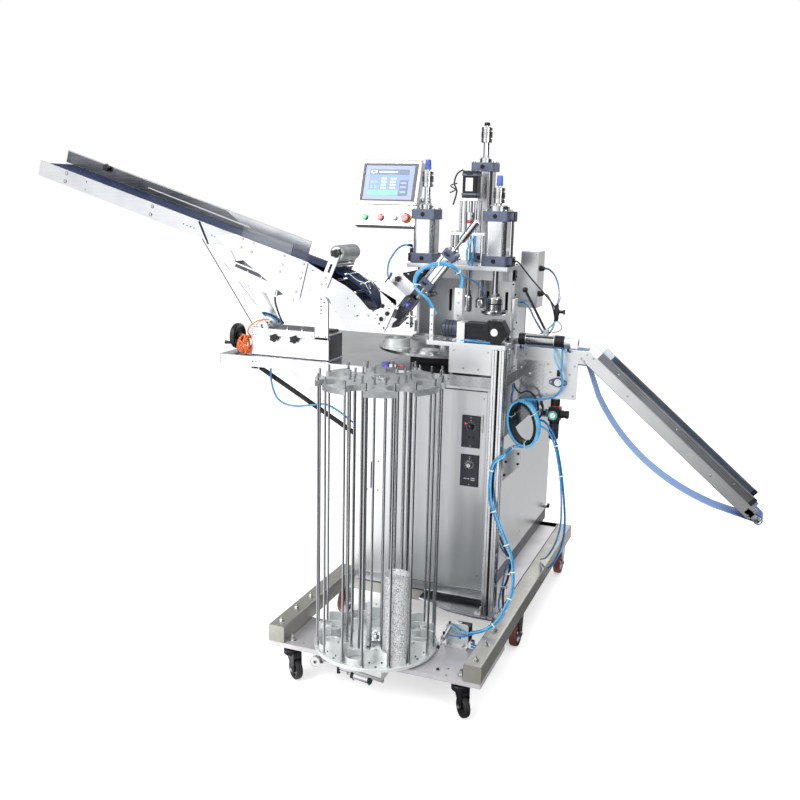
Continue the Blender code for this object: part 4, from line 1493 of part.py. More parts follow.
    # the carrying run lies between the plates and the slack return sags below them
    def belt_line(grow):
        level = out_knee_z - OUT_BELT_DROP - BELT_THICK + grow
        reach = (OUT_ROLLER + GAP) / math.cos(math.radians(WRAP_STEP)) + grow
        first = (OUT_START_X + OUT_ROLLER * 1.2, out_knee_z - OUT_BELT_DROP - BELT_THICK - OUT_ROLLER)
        head_arc = arc(first, OUT_ROLLER + grow, 90, 270, 6)
        over = [(OUT_KNEE_X, level)]
        down = math.degrees(out_slope)
        tail_arc = arc(end, reach, 90 - down, -115 - down, 9)
        sag = []
        for share in (0.86, 0.72, 0.58, 0.44, 0.30, 0.16):
            depth = OUT_PLATE_HEIGHT + OUT_SAG * 4 * share * (1 - share)
            x, z = along_outfeed(OUT_LENGTH * share, depth + grow)
            sag.append((x, z))
        sag.append((OUT_KNEE_X - knee_back, out_knee_z - OUT_PLATE_HEIGHT - BELT_THICK - grow))
        sag.append((SADDLE_LEFT, out_knee_z - OUT_PLATE_HEIGHT - grow))
        return head_arc[::-1] + over + tail_arc + sag

    front, rear = inside_front + BELT_PLAY / 2, inside_back - BELT_PLAY / 2
    belt = prism(belt_line(BELT_THICK), "Y", front, rear)
    hole = prism(belt_line(0), "Y", front - OVERRUN, rear + OVERRUN)
    node("outfeed_belt", light_belt, [belt], [hole])


# Pusher cylinder on its plate, and the ball lever above it
def build_pusher():
    level = table_top + PUSH_RISE
    plate_right = PUSH_PLATE_X + PUSH_PLATE_THICK
    base = table_top + GAP
    shapes = [box((PUSH_PLATE_X, PUSH_Y - PUSH_PLATE_WIDTH / 2, base),
                  (plate_right, out_front - SIDE_PLAY, base + PUSH_PLATE_HEIGHT))]
    end = plate_right + PUSH_LENGTH
    shapes.append(bar((plate_right - SINK, PUSH_Y, level), (end, PUSH_Y, level), PUSH_RADIUS, LARGE))
    shapes.append(bar((end - SINK, PUSH_Y, level), (end + PUSH_END, PUSH_Y, level), PUSH_END_RADIUS, LARGE))
    pin_z = level + PUSH_RADIUS + LEVER_HUB + SIDE_PLAY * 2
    ear_inner = LEVER_THICK / 2 + GAP
    for side in (-1, 1):
        near = PUSH_Y + side * ear_inner
        far = PUSH_Y + side * (ear_inner + EAR_THICK)
        shapes.append(box((LEVER_X - LEVER_HUB, min(near, far), level + PUSH_RADIUS / 2),
                          (LEVER_X + LEVER_HUB, max(near, far), pin_z + LEVER_HUB)))
    shapes.append(bar((LEVER_X, PUSH_Y - ear_inner - EAR_THICK, pin_z),
                      (LEVER_X, PUSH_Y + ear_inner + EAR_THICK, pin_z),
                      LEVER_PIN, FINE))
    bore = bar((PUSH_PLATE_X - OVERRUN, PUSH_Y, level), (end - PUSH_END, PUSH_Y, level), PUSH_ROD + GAP,
               ROUND)
    node("pusher_cylinder", dark_steel, shapes, [bore])
    moving = [bar((PUSH_PLATE_X - PUSH_REACH, PUSH_Y, level), (end - PUSH_END - PUSH_STROKE, PUSH_Y, level),
                  PUSH_ROD, ROUND)]
    moving.append(bar((PUSH_PLATE_X - PUSH_REACH - PUSH_ROD, PUSH_Y, level),
                      (PUSH_PLATE_X - PUSH_REACH + PUSH_ROD, PUSH_Y, level),
                      PUSH_TIP, ROUND))
    node("pusher_rod", chrome, moving, pivot=(PUSH_PLATE_X, PUSH_Y, level))

    lean = math.radians(LEVER_LEAN)
    tip = Vector((LEVER_X - LEVER_LENGTH * math.sin(lean), PUSH_Y, pin_z + LEVER_LENGTH * math.cos(lean)))
    ring = ((LEVER_PIN + GAP, 0), (LEVER_HUB, 0), (LEVER_HUB, LEVER_THICK), (LEVER_PIN + GAP, LEVER_THICK))
    handle = [turned(ring, (LEVER_X, PUSH_Y - LEVER_THICK / 2, pin_z), (0, 1, 0), ROUND)]
    start = Vector((LEVER_X, PUSH_Y, pin_z)).lerp(tip, LEVER_HUB * 0.75 / LEVER_LENGTH)
    handle.append(bar(start, tip, LEVER_ROD, FINE))
    ball = bmesh.new()
    bmesh.ops.create_icosphere(ball, subdivisions=2, radius=LEVER_BALL, matrix=Matrix.Translation(tip))
    handle.append(ball)
    node("ball_lever", black_plastic, handle, pivot=(LEVER_X, PUSH_Y, pin_z))


def build_air_unit():
    middle = table_top + AIR_RISE
    low, high = middle - AIR_BODY_HEIGHT / 2, middle + AIR_BODY_HEIGHT / 2
    shapes = [centred_box((AIR_X, AIR_Y, middle), (AIR_BODY, AIR_BODY, AIR_BODY_HEIGHT))]
    shapes.append(bar((AIR_X, AIR_Y, high - SINK), (AIR_X, AIR_Y, high + AIR_KNOB_HEIGHT), AIR_KNOB, ROUND))
    bowl = ((0, 0), (AIR_BOWL * 0.6, 0), (AIR_BOWL, AIR_BOWL * 0.5), (AIR_BOWL, AIR_BOWL_HEIGHT),
            (0, AIR_BOWL_HEIGHT))
    shapes.append(turned(bowl, (AIR_X, AIR_Y, low + SINK - AIR_BOWL_HEIGHT), (0, 0, 1), ROUND))
    front = AIR_Y - AIR_BODY / 2
    shapes.append(bar((AIR_X, front - AIR_GAUGE_DEPTH, middle), (AIR_X, front + SINK, middle), AIR_GAUGE,
                      LARGE))
    side = AIR_X + AIR_BODY / 2
    shapes.append(bar((side - SINK, AIR_Y, middle), (side + AIR_KNOB_HEIGHT, AIR_Y, middle), AIR_SIDE_KNOB,
                      ROUND))
    cabinet_right = CABINET_LEFT + CABINET_WIDTH + COVER_THICK + GAP
    shapes.append(centred_box(((cabinet_right + AIR_X) / 2, AIR_Y, middle),
                              (AIR_X - cabinet_right, AIR_BRACKET_THICK, AIR_BRACKET)))
    shapes.append(centred_box((cabinet_right + AIR_BRACKET_THICK / 2, AIR_Y, middle),
                              (AIR_BRACKET_THICK, AIR_BRACKET * 2, AIR_BRACKET * 2)))
    node("air_regulator", black_plastic, shapes)


# Hoses that the machine carries
def build_hoses():
    # the coil hangs against the outfeed's brace, the orange one lies beside the infeed's base
    points = []
    total = COIL_LOOPS * LOOP_POINTS
    coil_y = out_front - GAP * 3 - HOSE_RADIUS - COIL_PITCH * COIL_LOOPS / 2
    middle = Vector((COIL_X, coil_y, COIL_Z))
    for index in range(total + 1):
        angle = math.tau * index / LOOP_POINTS + math.pi / 2
        y = COIL_PITCH * (index / LOOP_POINTS - COIL_LOOPS / 2)
        upright = Vector((COIL_WIDE * math.cos(angle), y, COIL_TALL * math.sin(angle)))
        points.append(middle + Matrix.Rotation(-math.radians(COIL_LEAN), 3, "Y") @ upright)
    print("hose_coil least gap to itself", round(least_gap(points, HOSE_RADIUS, LOOP_POINTS // 3) * 1000,
                                                 2), "mm")
    hose("hose_coil", blue_hose, with_straight_ends(points, HOSE_RADIUS), HOSE_RADIUS, 1)
    hose("hose_bundle", blue_hose, smooth_route(BUNDLE_ROUTE, BUNDLE_RADIUS * 2 * HOSE_STEP), BUNDLE_RADIUS,
         2)
    curls = []
    total = ORANGE_LOOPS * ORANGE_POINTS
    right = BASE_LEFT - GAP - ORANGE_RADIUS
    curl_z = table_top + GAP + ORANGE_RADIUS + ORANGE_COIL
    for index in range(total + 1):
        angle = math.tau * index / ORANGE_POINTS + math.pi / 2
        x = right + ORANGE_LENGTH * (index / total - 1)
        curls.append(Vector((x, ORANGE_Y + ORANGE_COIL * math.cos(angle),
                             curl_z + ORANGE_COIL * math.sin(angle))))
    print("orange_hose least gap to itself", round(least_gap(curls, ORANGE_RADIUS,
                                                             ORANGE_POINTS // 2) * 1000, 2), "mm")
    hose("orange_hose", orange_hose, with_straight_ends(curls, ORANGE_RADIUS), ORANGE_RADIUS, 1)


build_chassis()
for side, sign in (("left", -1), ("right", 1)):
    caster(side, sign)
wheel("wheel_mid_left", -beam_x, MID_WHEEL_Y, REAR_WHEEL_RADIUS, REAR_WHEEL_RADIUS, REAR_WHEEL_WIDTH,
      red_tread)
wheel("wheel_mid_right", beam_x, MID_WHEEL_Y, REAR_WHEEL_RADIUS, REAR_WHEEL_RADIUS, REAR_WHEEL_WIDTH,
      red_tread)
wheel("wheel_rear_left", REAR_RAIL_X, REAR_WHEEL_Y, REAR_WHEEL_RADIUS, REAR_WHEEL_RADIUS, REAR_WHEEL_WIDTH,
      red_tread)
wheel("wheel_rear_right", beam_x, REAR_WHEEL_Y, REAR_WHEEL_RADIUS, REAR_WHEEL_RADIUS, REAR_WHEEL_WIDTH,
      red_tread)
build_cabinet()
build_table()
build_magazine()
build_magazine_drive()
build_turntable()
build_press_frame()
build_presses()
build_spindle()
build_gearmotor()
build_panel()
build_infeed()
build_infeed_base()
build_feed()
build_outfeed()
build_pusher()
build_air_unit()
build_hoses()
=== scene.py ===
# Tartlet shell maker, dressed: smooth metal, hoses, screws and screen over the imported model.
# Shapes are written in metres in the machine's own frame: zero on the floor under the middle of
# the chassis's front edge, X to the right, Y to the back, Z up. machineZero moves them into place.
import bmesh
import bpy
import json
import random
from math import asin, cos, degrees, pi, radians, sin, tan, tau
from mathutils import Matrix, Vector


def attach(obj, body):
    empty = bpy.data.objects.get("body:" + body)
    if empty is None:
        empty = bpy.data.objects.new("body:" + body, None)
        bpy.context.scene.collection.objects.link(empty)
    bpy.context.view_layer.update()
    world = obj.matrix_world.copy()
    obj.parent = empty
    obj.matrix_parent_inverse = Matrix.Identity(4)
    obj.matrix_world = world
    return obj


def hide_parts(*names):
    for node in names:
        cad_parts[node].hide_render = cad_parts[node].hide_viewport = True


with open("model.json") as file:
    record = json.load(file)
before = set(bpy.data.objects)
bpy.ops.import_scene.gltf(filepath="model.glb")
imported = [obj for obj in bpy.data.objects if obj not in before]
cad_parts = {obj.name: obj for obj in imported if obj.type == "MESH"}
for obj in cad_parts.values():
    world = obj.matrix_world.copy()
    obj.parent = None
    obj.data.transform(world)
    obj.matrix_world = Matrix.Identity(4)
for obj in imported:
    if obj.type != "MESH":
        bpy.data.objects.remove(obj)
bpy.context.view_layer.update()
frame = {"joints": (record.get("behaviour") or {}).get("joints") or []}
turnJoint = next(joint for joint in frame["joints"] if joint["name"] == "turntable_index")
machineZero = Vector((turnJoint["pos_m"][0] - 0.015, turnJoint["pos_m"][1] - 0.65, 0))
random.seed(7)
scene = bpy.context.scene

# camera and studio, before anything else
cameraView = {"place": (1.34456, -3.348, 1.65), "pitch": 12.27, "yaw": 21.11, "roll": 1.29, "lens": 42.18}
cameraData = bpy.data.cameras.new("shopCamera")
cameraData.lens, cameraData.sensor_width, cameraData.clip_end = cameraView["lens"], 36, 60
cameraObject = bpy.data.objects.new("shopCamera", cameraData)
scene.collection.objects.link(cameraObject)
cameraObject.matrix_world = (Matrix.Translation(cameraView["place"])
    @ Matrix.Rotation(radians(cameraView["yaw"]), 4, "Z") @ Matrix.Rotation(radians(90 - cameraView["pitch"]),
    4, "X") @ Matrix.Rotation(radians(cameraView["roll"]), 4, "Z"))
scene.camera = cameraObject


def tint(code):
    # hex sRGB to the linear colour that the shaders want
    parts = [int(code[i:i + 2], 16) / 255 for i in (1, 3, 5)]
    return tuple(p / 12.92 if p <= 0.04045 else ((p + 0.055) / 1.055) ** 2.4 for p in parts) + (1,)


def addNode(tree, kind, settings=None, values=None, links=None):
    # one node: its settings, the values of its inputs, and what feeds them
    made = tree.nodes.new(kind)
    for key, value in (settings or {}).items():
        setattr(made, key, value)
    for key, value in (values or {}).items():
        made.inputs[key].default_value = value
    for key, source in (links or {}).items():
        tree.links.new(source, made.inputs[key])
    return made


def rampStops(node, stops):
    ramp = node.color_ramp
    while len(ramp.elements) < len(stops):
        ramp.elements.new(0.5)
    for element, (place, colour) in zip(ramp.elements, stops):
        element.position = place
        element.color = colour if isinstance(colour, tuple) else (colour, colour, colour, 1)


def newMaterial(name, colour, metallic, roughness, **more):
    made = bpy.data.materials.new(name)
    made.use_nodes = True
    shader = made.node_tree.nodes["Principled BSDF"]
    shader.inputs["Base Color"].default_value = tint(colour)
    shader.inputs["Metallic"].default_value = metallic
    shader.inputs["Roughness"].default_value = roughness
    for key, value in more.items():
        shader.inputs[key].default_value = value
    made.diffuse_color = tint(colour)
    return made, made.node_tree, shader


def grainOn(tree, shader, scale, roughLow, roughHigh, depth, detail=3.0, colours=None):
    # noise in the piece's own metres: it moves the roughness, the colour a little, and the bump
    place = addNode(tree, "ShaderNodeTexCoord")
    stretch = addNode(tree, "ShaderNodeMapping", values={"Scale": scale},
        links={"Vector": place.outputs["Object"]})
    grain = addNode(tree, "ShaderNodeTexNoise", values={"Scale": 1.0, "Detail": detail, "Roughness": 0.6},
        links={"Vector": stretch.outputs["Vector"]})
    span = addNode(tree, "ShaderNodeMapRange", values={"To Min": roughLow, "To Max": roughHigh},
        links={"Value": grain.outputs["Fac"]})
    tree.links.new(span.outputs["Result"], shader.inputs["Roughness"])
    if depth:
        bump = addNode(tree, "ShaderNodeBump", values={"Strength": 0.35, "Distance": depth},
            links={"Height": grain.outputs["Fac"]})
        tree.links.new(bump.outputs["Normal"], shader.inputs["Normal"])
    if colours:
        cloud = addNode(tree, "ShaderNodeTexNoise", values={"Scale": colours[2], "Detail": 3.0,
            "Roughness": 0.6}, links={"Vector": place.outputs["Object"]})
        both = addNode(tree, "ShaderNodeMath", {"operation": "MULTIPLY_ADD"}, {1: 0.35, 2: 0.0},
            {0: grain.outputs["Fac"]})
        total = addNode(tree, "ShaderNodeMath", {"operation": "MULTIPLY_ADD"}, {1: 0.65},
            {0: cloud.outputs["Fac"], 2: both.outputs["Value"]})
        shades = addNode(tree, "ShaderNodeValToRGB", links={"Fac": total.outputs["Value"]})
        rampStops(shades, [(0.32, tint(colours[0])), (0.68, tint(colours[1]))])
        tree.links.new(shades.outputs["Color"], shader.inputs["Base Color"])


def grainSkin(name, colour, metallic, roughness, *grain, **more):
    # a material whose grain shows from the start
    made, tree, shader = newMaterial(name, colour, metallic, roughness)
    grainOn(tree, shader, *grain, **more)
    return made


print("materials")
# 304 stainless sheet, brushed upright: soft vertical bands of painted reflection in its colour
sheetUpright = grainSkin("stainlessUpright", "#D6D8DA", 1.0, 0.27, (700, 700, 5), 0.27, 0.31, 0.0, detail=1.0,
    colours=("#CFD1D4", "#DEE0E1", 1.6))
# the same sheet brushed along its length, on the plates, the table and the chassis
sheetAlong = grainSkin("stainlessAlong", "#BBBDC0", 1.0, 0.24, (7, 620, 620), 0.17, 0.3, 0.00003,
    colours=("#AAACB0", "#CACCCF", 4.0))
# machined and glass-blasted aluminium plate, clear anodised: even, pale, almost white
anodised = grainSkin("anodisedAluminium", "#DADCDE", 1.0, 0.34, (900, 900, 900), 0.3, 0.42, 0.00003,
    colours=("#D3D5D8", "#E4E6E7", 9.0))
# drawn aluminium tube and extrusion: clear long streaks from the die
extrusion = grainSkin("drawnAluminium", "#DFE1E3", 1.0, 0.25, (420, 420, 3), 0.18, 0.3, 0.00004,
    colours=("#CFD1D4", "#E6E8EA", 14.0))
# drawn stainless bar, left satin: soft grey with one dark line down its side
satinBar = grainSkin("satinBar", "#A9ABAE", 1.0, 0.2, (260, 260, 9), 0.16, 0.25, 0.0,
    colours=("#9C9EA2", "#B8BABD", 6.0))
# hard chrome on ground bar: sharp bright and dark lines along each rod
chromedBar = grainSkin("chromedBar", "#DCDEE0", 1.0, 0.08, (300, 300, 18), 0.05, 0.13, 0.0)
# zinc-plated screws and nuts: bright with a faint yellow-grey cloud
zincPlate = grainSkin("zincPlate", "#9A9C9D", 1.0, 0.24, (260, 260, 260), 0.18, 0.38, 0.00003,
    colours=("#A9ABAA", "#CFD0CC", 60.0))
# turned stainless, such as press heads and moulds: fine rings round the axis catch the light
turnedSteel = grainSkin("turnedStainless", "#CFD1D3", 1.0, 0.18, (40, 40, 1500), 0.13, 0.26, 0.00004,
    colours=("#BDBFC2", "#DADCDE", 30.0))
# bead-blasted sheet of the platform: bright, with hardly a mirror in it
blastedSheet = grainSkin("blastedSheet", "#C9C7C9", 0.45, 0.4, (14, 14, 14), 0.34, 0.46, 0.00002,
    colours=("#BDBBBE", "#D6D4D6", 6.0))
# square tube of the frame, brushed along its length: warm grey that darkens to the side
frameTube = grainSkin("frameTube", "#A8A7A1", 0.7, 0.36, (300, 5, 300), 0.3, 0.44, 0.00002,
    colours=("#989791", "#B9B8B2", 9.0))
# turned and anodised aluminium of the carousel, nearly white
paleDisc = grainSkin("paleDisc", "#DADDDD", 0.35, 0.36, (70, 70, 70), 0.3, 0.42, 0.00002,
    colours=("#CDD1D1", "#E9ECEC", 26.0))
# top disc of the carousel: the same metal darkened into painted shade, with a grey mill finish
discTop = grainSkin("discTop", "#9EA1A2", 0.55, 0.42, (120, 120, 120), 0.36, 0.5, 0.00003,
    colours=("#8D9091", "#B2B5B6", 40.0))
# mild steel end plate, ground after welding: dull, warm grey with scratches
weldedPlate = grainSkin("weldedPlate", "#8F8F8A", 0.8, 0.42, (180, 180, 180), 0.34, 0.55, 0.00008,
    colours=("#7A7A74", "#ABABA6", 60.0))
# black oxide on steel: deep grey-black with an oily sheen
blackOxide = grainSkin("blackOxide", "#191A1D", 0.55, 0.4, (350, 350, 350), 0.32, 0.5, 0.00004,
    colours=("#121316", "#24262B", 22.0))
# moulded ABS, black: spark-eroded skin, dull with a soft highlight
mouldedAbs = grainSkin("mouldedAbs", "#101113", 0.0, 0.46, (1400, 1400, 1400), 0.38, 0.54, 0.00008,
    colours=("#0C0D0F", "#17181B", 35.0))
# die-cast end caps under blue-grey enamel: smooth with a little orange peel
capEnamel = grainSkin("capEnamel", "#5B6276", 0.35, 0.42, (420, 420, 420), 0.34, 0.48, 0.00006,
    colours=("#50576B", "#687087", 25.0))
# nitrile rubber: matt black with dust in the pores
nitrileRubber = grainSkin("nitrileRubber", "#161617", 0.0, 0.68, (700, 700, 700), 0.58, 0.8, 0.0001,
    colours=("#121213", "#222224", 30.0))
# polyurethane tyre, red-brown, scuffed grey where it rolls
polyurethaneTyre = grainSkin("polyurethaneTyre", "#4A2422", 0.0, 0.5, (500, 500, 500), 0.42, 0.66, 0.00008,
    colours=("#4A211B", "#74392E", 26.0))
# PVC conveyor belt, navy: a fine weave shows through the coat, drawn at 1.6 mm so that it reads
pvcBelt, tree, shader = newMaterial("pvcBelt", "#101C3C", 0.0, 0.55)
place = addNode(tree, "ShaderNodeTexCoord")
weave = addNode(tree, "ShaderNodeTexWave", {"wave_type": "BANDS", "bands_direction": "Y"},
    {"Scale": 200.0, "Distortion": 0.4, "Detail": 1.0}, {"Vector": place.outputs["Object"]})
cross = addNode(tree, "ShaderNodeTexWave", {"wave_type": "BANDS", "bands_direction": "X"},
    {"Scale": 200.0, "Distortion": 0.4, "Detail": 1.0}, {"Vector": place.outputs["Object"]})
woven = addNode(tree, "ShaderNodeMath", {"operation": "MULTIPLY"},
    links={0: weave.outputs["Fac"], 1: cross.outputs["Fac"]})
bump = addNode(tree, "ShaderNodeBump", values={"Strength": 0.3, "Distance": 0.0002},
    links={"Height": woven.outputs["Value"]})
tree.links.new(bump.outputs["Normal"], shader.inputs["Normal"])
shades = addNode(tree, "ShaderNodeValToRGB", links={"Fac": woven.outputs["Value"]})
rampStops(shades, [(0.0, tint("#0D1C42")), (1.0, tint("#15305F"))])
shader.inputs["Specular IOR Level"].default_value = 0.16
tree.links.new(shades.outputs["Color"], shader.inputs["Base Color"])
# polyurethane belt, food blue and slightly see-through: painted light and shade along it, pale in the middle
# of its run and darker towards both ends
urethaneBelt, tree, shader = newMaterial("urethaneBelt", "#7FA3D2", 0.0, 0.36)
place = addNode(tree, "ShaderNodeTexCoord")
across = addNode(tree, "ShaderNodeSeparateXYZ", links={"Vector": place.outputs["Object"]})
paintedLightAlong = addNode(tree, "ShaderNodeMapRange", values={"From Min": 0.64, "From Max": 1.4},
    links={"Value": across.outputs["X"]})
shades = addNode(tree, "ShaderNodeValToRGB", links={"Fac": paintedLightAlong.outputs["Result"]})
rampStops(shades, [(0.0, tint("#2B4F92")), (0.1, tint("#6F97CB")), (0.5, tint("#8FB2DD")),
    (0.82, tint("#7499CE")), (1.0, tint("#2A50A0"))])
speck = addNode(tree, "ShaderNodeTexNoise", values={"Scale": 900.0, "Detail": 2.0},
    links={"Vector": place.outputs["Object"]})
bump = addNode(tree, "ShaderNodeBump", values={"Strength": 0.25, "Distance": 0.00008},
    links={"Height": speck.outputs["Fac"]})
tree.links.new(shades.outputs["Color"], shader.inputs["Base Color"])
tree.links.new(bump.outputs["Normal"], shader.inputs["Normal"])


def plasticSkin(name, colour, dark, light, roughness, scale, coat=0.0):
    made, tree, shader = newMaterial(name, colour, 0.0, roughness, **{"Coat Weight": coat})
    grainOn(tree, shader, (scale,) * 3, max(roughness - 0.06, 0.05), roughness + 0.07, 0.00004,
        colours=(dark, light, 30.0))
    return made


# extruded polyurethane air hose: clear gloss over blue, a little cloudy
blueHose = plasticSkin("blueHose", "#2E86C4", "#2470AC", "#489FD6", 0.26, 220, 0.3)
paleHose = plasticSkin("paleHose", "#55AEDA", "#439BCB", "#74C4E8", 0.26, 220, 0.3)
deepHose = plasticSkin("deepHose", "#235C97", "#1B4C84", "#2F70AE", 0.22, 220, 0.5)
orangeHose = plasticSkin("orangeHose", "#EE6A1E", "#DD5612", "#F8863A", 0.25, 220, 0.4)
# PVC-sheathed cable, black and semi-matt
cableSheath = plasticSkin("cableSheath", "#121316", "#0D0E10", "#1C1E22", 0.4, 400)
# acetal, natural white: waxy, dense
acetalWhite = plasticSkin("acetalWhite", "#E9E9E4", "#DEDFDA", "#F3F3EF", 0.34, 300)
# nylon cable ties
nylonTie = plasticSkin("nylonTie", "#DCE9EE", "#CFDFE6", "#EEF6F8", 0.32, 300)
# moulded push-button caps with polished faces
greenCap = plasticSkin("greenCap", "#1FA577", "#178F66", "#33BC8C", 0.24, 500, 0.6)
redCap = plasticSkin("redCap", "#B8233A", "#A01B30", "#CF3850", 0.24, 500, 0.6)
whiteCap = plasticSkin("whiteCap", "#E4E4E0", "#D8D8D4", "#EFEFEC", 0.28, 500, 0.4)
yellowBase = plasticSkin("yellowBase", "#E6C02B", "#D8B01C", "#F1CF45", 0.32, 500, 0.3)
gaugeFace = plasticSkin("gaugeFace", "#2FA79B", "#27968B", "#49BBAF", 0.2, 300, 0.8)
# printed plate of a speed controller: dark blue-black polyester film
controlFilm = plasticSkin("controlFilm", "#20222E", "#191B25", "#2B2E3D", 0.36, 350, 0.2)
dialInk = plasticSkin("dialInk", "#C9CCD2", "#B9BDC4", "#D8DBDF", 0.45, 400)
# smoked polycarbonate of the filter bowl
smokedBowl = plasticSkin("smokedBowl", "#23262A", "#1C1F23", "#30343A", 0.12, 150, 0.9)
# dark gap behind slots, vents and open ends
deepShade = plasticSkin("deepShade", "#0B0B0D", "#08080A", "#101013", 0.75, 300)
# hammered aluminium foil of the stacked cups: small facets, each painted white at its middle and darker grey
# towards its creases as painted highlight and shade
crinkledFoil, tree, shader = newMaterial("crinkledFoil", "#F1F2F2", 0.3, 0.28)
place = addNode(tree, "ShaderNodeTexCoord")
facets = addNode(tree, "ShaderNodeTexVoronoi", {"feature": "F1"}, {"Scale": 330.0, "Randomness": 1.0},
    {"Vector": place.outputs["Object"]})
bump = addNode(tree, "ShaderNodeBump", values={"Strength": 0.85, "Distance": 0.0016},
    links={"Height": facets.outputs["Distance"]})
# painted highlight and shade: white at each facet's middle, grey at its creases
shades = addNode(tree, "ShaderNodeValToRGB", links={"Fac": facets.outputs["Distance"]})
rampStops(shades, [(0.0, tint("#FFFFFF")), (0.45, tint("#E2E3E5")), (0.8, tint("#7E8084"))])
tree.links.new(bump.outputs["Normal"], shader.inputs["Normal"])
tree.links.new(shades.outputs["Color"], shader.inputs["Base Color"])


def litFilm(name, colour, strength):
    # a lit patch of the liquid crystal screen, behind its gloss sheet
    made, tree, shader = newMaterial(name, colour, 0.0, 0.12)
    shader.inputs["Emission Color"].default_value = tint(colour)
    shader.inputs["Emission Strength"].default_value = strength
    place = addNode(tree, "ShaderNodeTexCoord")
    dots = addNode(tree, "ShaderNodeTexNoise", values={"Scale": 1500.0},
        links={"Vector": place.outputs["Object"]})
    span = addNode(tree, "ShaderNodeMapRange", values={"To Min": 0.08, "To Max": 0.18},
        links={"Value": dots.outputs["Fac"]})
    tree.links.new(span.outputs["Result"], shader.inputs["Roughness"])
    return made


screenBack = litFilm("screenBack", "#4E74A2", 0.35)
screenDeep = litFilm("screenDeep", "#22406E", 0.25)
screenPale = litFilm("screenPale", "#B9D3EA", 0.5)
screenGreen = litFilm("screenGreen", "#4FB18E", 0.4)
screenFrame = litFilm("screenFrame", "#7E90B4", 0.02)
screenBlue = litFilm("screenBlue", "#6F93C4", 0.3)
redLamp = litFilm("redLamp", "#E8364A", 1.2)
# clear acrylic guard: only its edges and a faint tint show
clearAcrylic, tree, shader = newMaterial("clearAcrylic", "#F4F8FA", 0.0, 0.04)
shader.inputs["Transmission Weight"].default_value = 1.0
shader.inputs["IOR"].default_value = 1.49
grainOn(tree, shader, (60, 60, 60), 0.03, 0.07, 0.00001)
# painted shade: a smoke-grey plate put over faces and edges that lie in shade, framing the bright faces
paintedShadePlate = grainSkin("paintedShadePlate", "#4A4C52", 0.7, 0.4, (6, 6, 500), 0.34, 0.48, 0.00002,
    colours=("#3A3C42", "#63666C", 9))
# violet-blue polycarbonate case of the optical sensor
sensorBlue = plasticSkin("sensorBlue", "#3A35B0", "#2C2890", "#5550CC", 0.2, 300, 0.6)
# blue cap of the adjusting screw
blueCap = plasticSkin("blueCap", "#3E57B4", "#344A9E", "#5670CC", 0.34, 240, 0.2)
# dark navy enamel on the motor's bell
bellEnamel = plasticSkin("bellEnamel", "#272C40", "#1F2334", "#3A4058", 0.34, 220, 0.2)
# inner face of the guard rail, polished: painted shade and a painted reflection of the dark belt in its
# colour
railShade = grainSkin("railShade", "#4A4E52", 0.85, 0.3, (5, 400, 400), 0.24, 0.36, 0.00002,
    colours=("#33363A", "#83868A", 3.2))
# grey extruded guide rail, matt, with fine die lines
railGrey = grainSkin("railGrey", "#7C7F83", 0.85, 0.36, (5, 500, 500), 0.28, 0.44, 0.00003,
    colours=("#6B6E72", "#95989C", 7))
# translucent pale end clip of the rails
paleClip = plasticSkin("paleClip", "#D5DEDD", "#C8D3D2", "#E6EDEC", 0.24, 260, 0.3)
# grey rubber sleeve of the press drum, dulled by flour
rollerGrey = grainSkin("rollerGrey", "#8B9092", 0.2, 0.42, (40, 40, 40), 0.34, 0.52, 0.00003,
    colours=("#7A7F82", "#A4A9AA", 22))


def flagRing(tree, direction, stops):
    # grey levels round the compass: the angle of a direction, looked up in a ramp
    parts = addNode(tree, "ShaderNodeSeparateXYZ", links={"Vector": direction})
    angle = addNode(tree, "ShaderNodeMath", {"operation": "ARCTAN2"},
        links={0: parts.outputs["X"], 1: parts.outputs["Y"]})
    turn = addNode(tree, "ShaderNodeMapRange", values={"From Min": -pi, "From Max": pi},
        links={"Value": angle.outputs["Value"]})
    flags = addNode(tree, "ShaderNodeValToRGB", links={"Fac": turn.outputs["Result"]})
    rampStops(flags, stops)
    return parts, flags


# studio: white cyc light from above, with a few dark flags to draw edges on the metal
scene.view_settings.view_transform = "Standard"
world = bpy.data.worlds.new("studioLight")
scene.world = world
world.use_nodes = True
tree = world.node_tree
tree.nodes.clear()
place = addNode(tree, "ShaderNodeTexCoord")
parts, flags = flagRing(tree, place.outputs["Generated"], [(0.0, 1.25), (0.12, 1.45), (0.17, 0.35),
    (0.22, 0.1), (0.33, 0.12), (0.38, 0.5), (0.42, 0.62), (0.46, 0.55), (0.5, 0.35), (0.56, 0.6), (0.61, 0.6),
    (0.65, 0.06), (0.86, 0.05), (0.95, 0.45), (0.985, 1.1), (1.0, 1.25)])
rise = addNode(tree, "ShaderNodeMapRange", values={"From Min": 0.5, "From Max": 0.85},
    links={"Value": parts.outputs["Z"]})
upper = addNode(tree, "ShaderNodeMix", {"data_type": "RGBA"}, {"B": (1.1, 1.1, 1.1, 1)},
    {"Factor": rise.outputs["Result"], "A": flags.outputs["Color"]})
ray = addNode(tree, "ShaderNodeLightPath")
seen = addNode(tree, "ShaderNodeMix", {"data_type": "RGBA"}, {"B": (1.0, 1.0, 1.0, 1)},
    {"Factor": ray.outputs["Is Camera Ray"], "A": upper.outputs["Result"]})
sky = addNode(tree, "ShaderNodeBackground", values={"Strength": 1.0}, links={"Color": seen.outputs["Result"]})
addNode(tree, "ShaderNodeOutputWorld", links={"Surface": sky.outputs["Background"]})

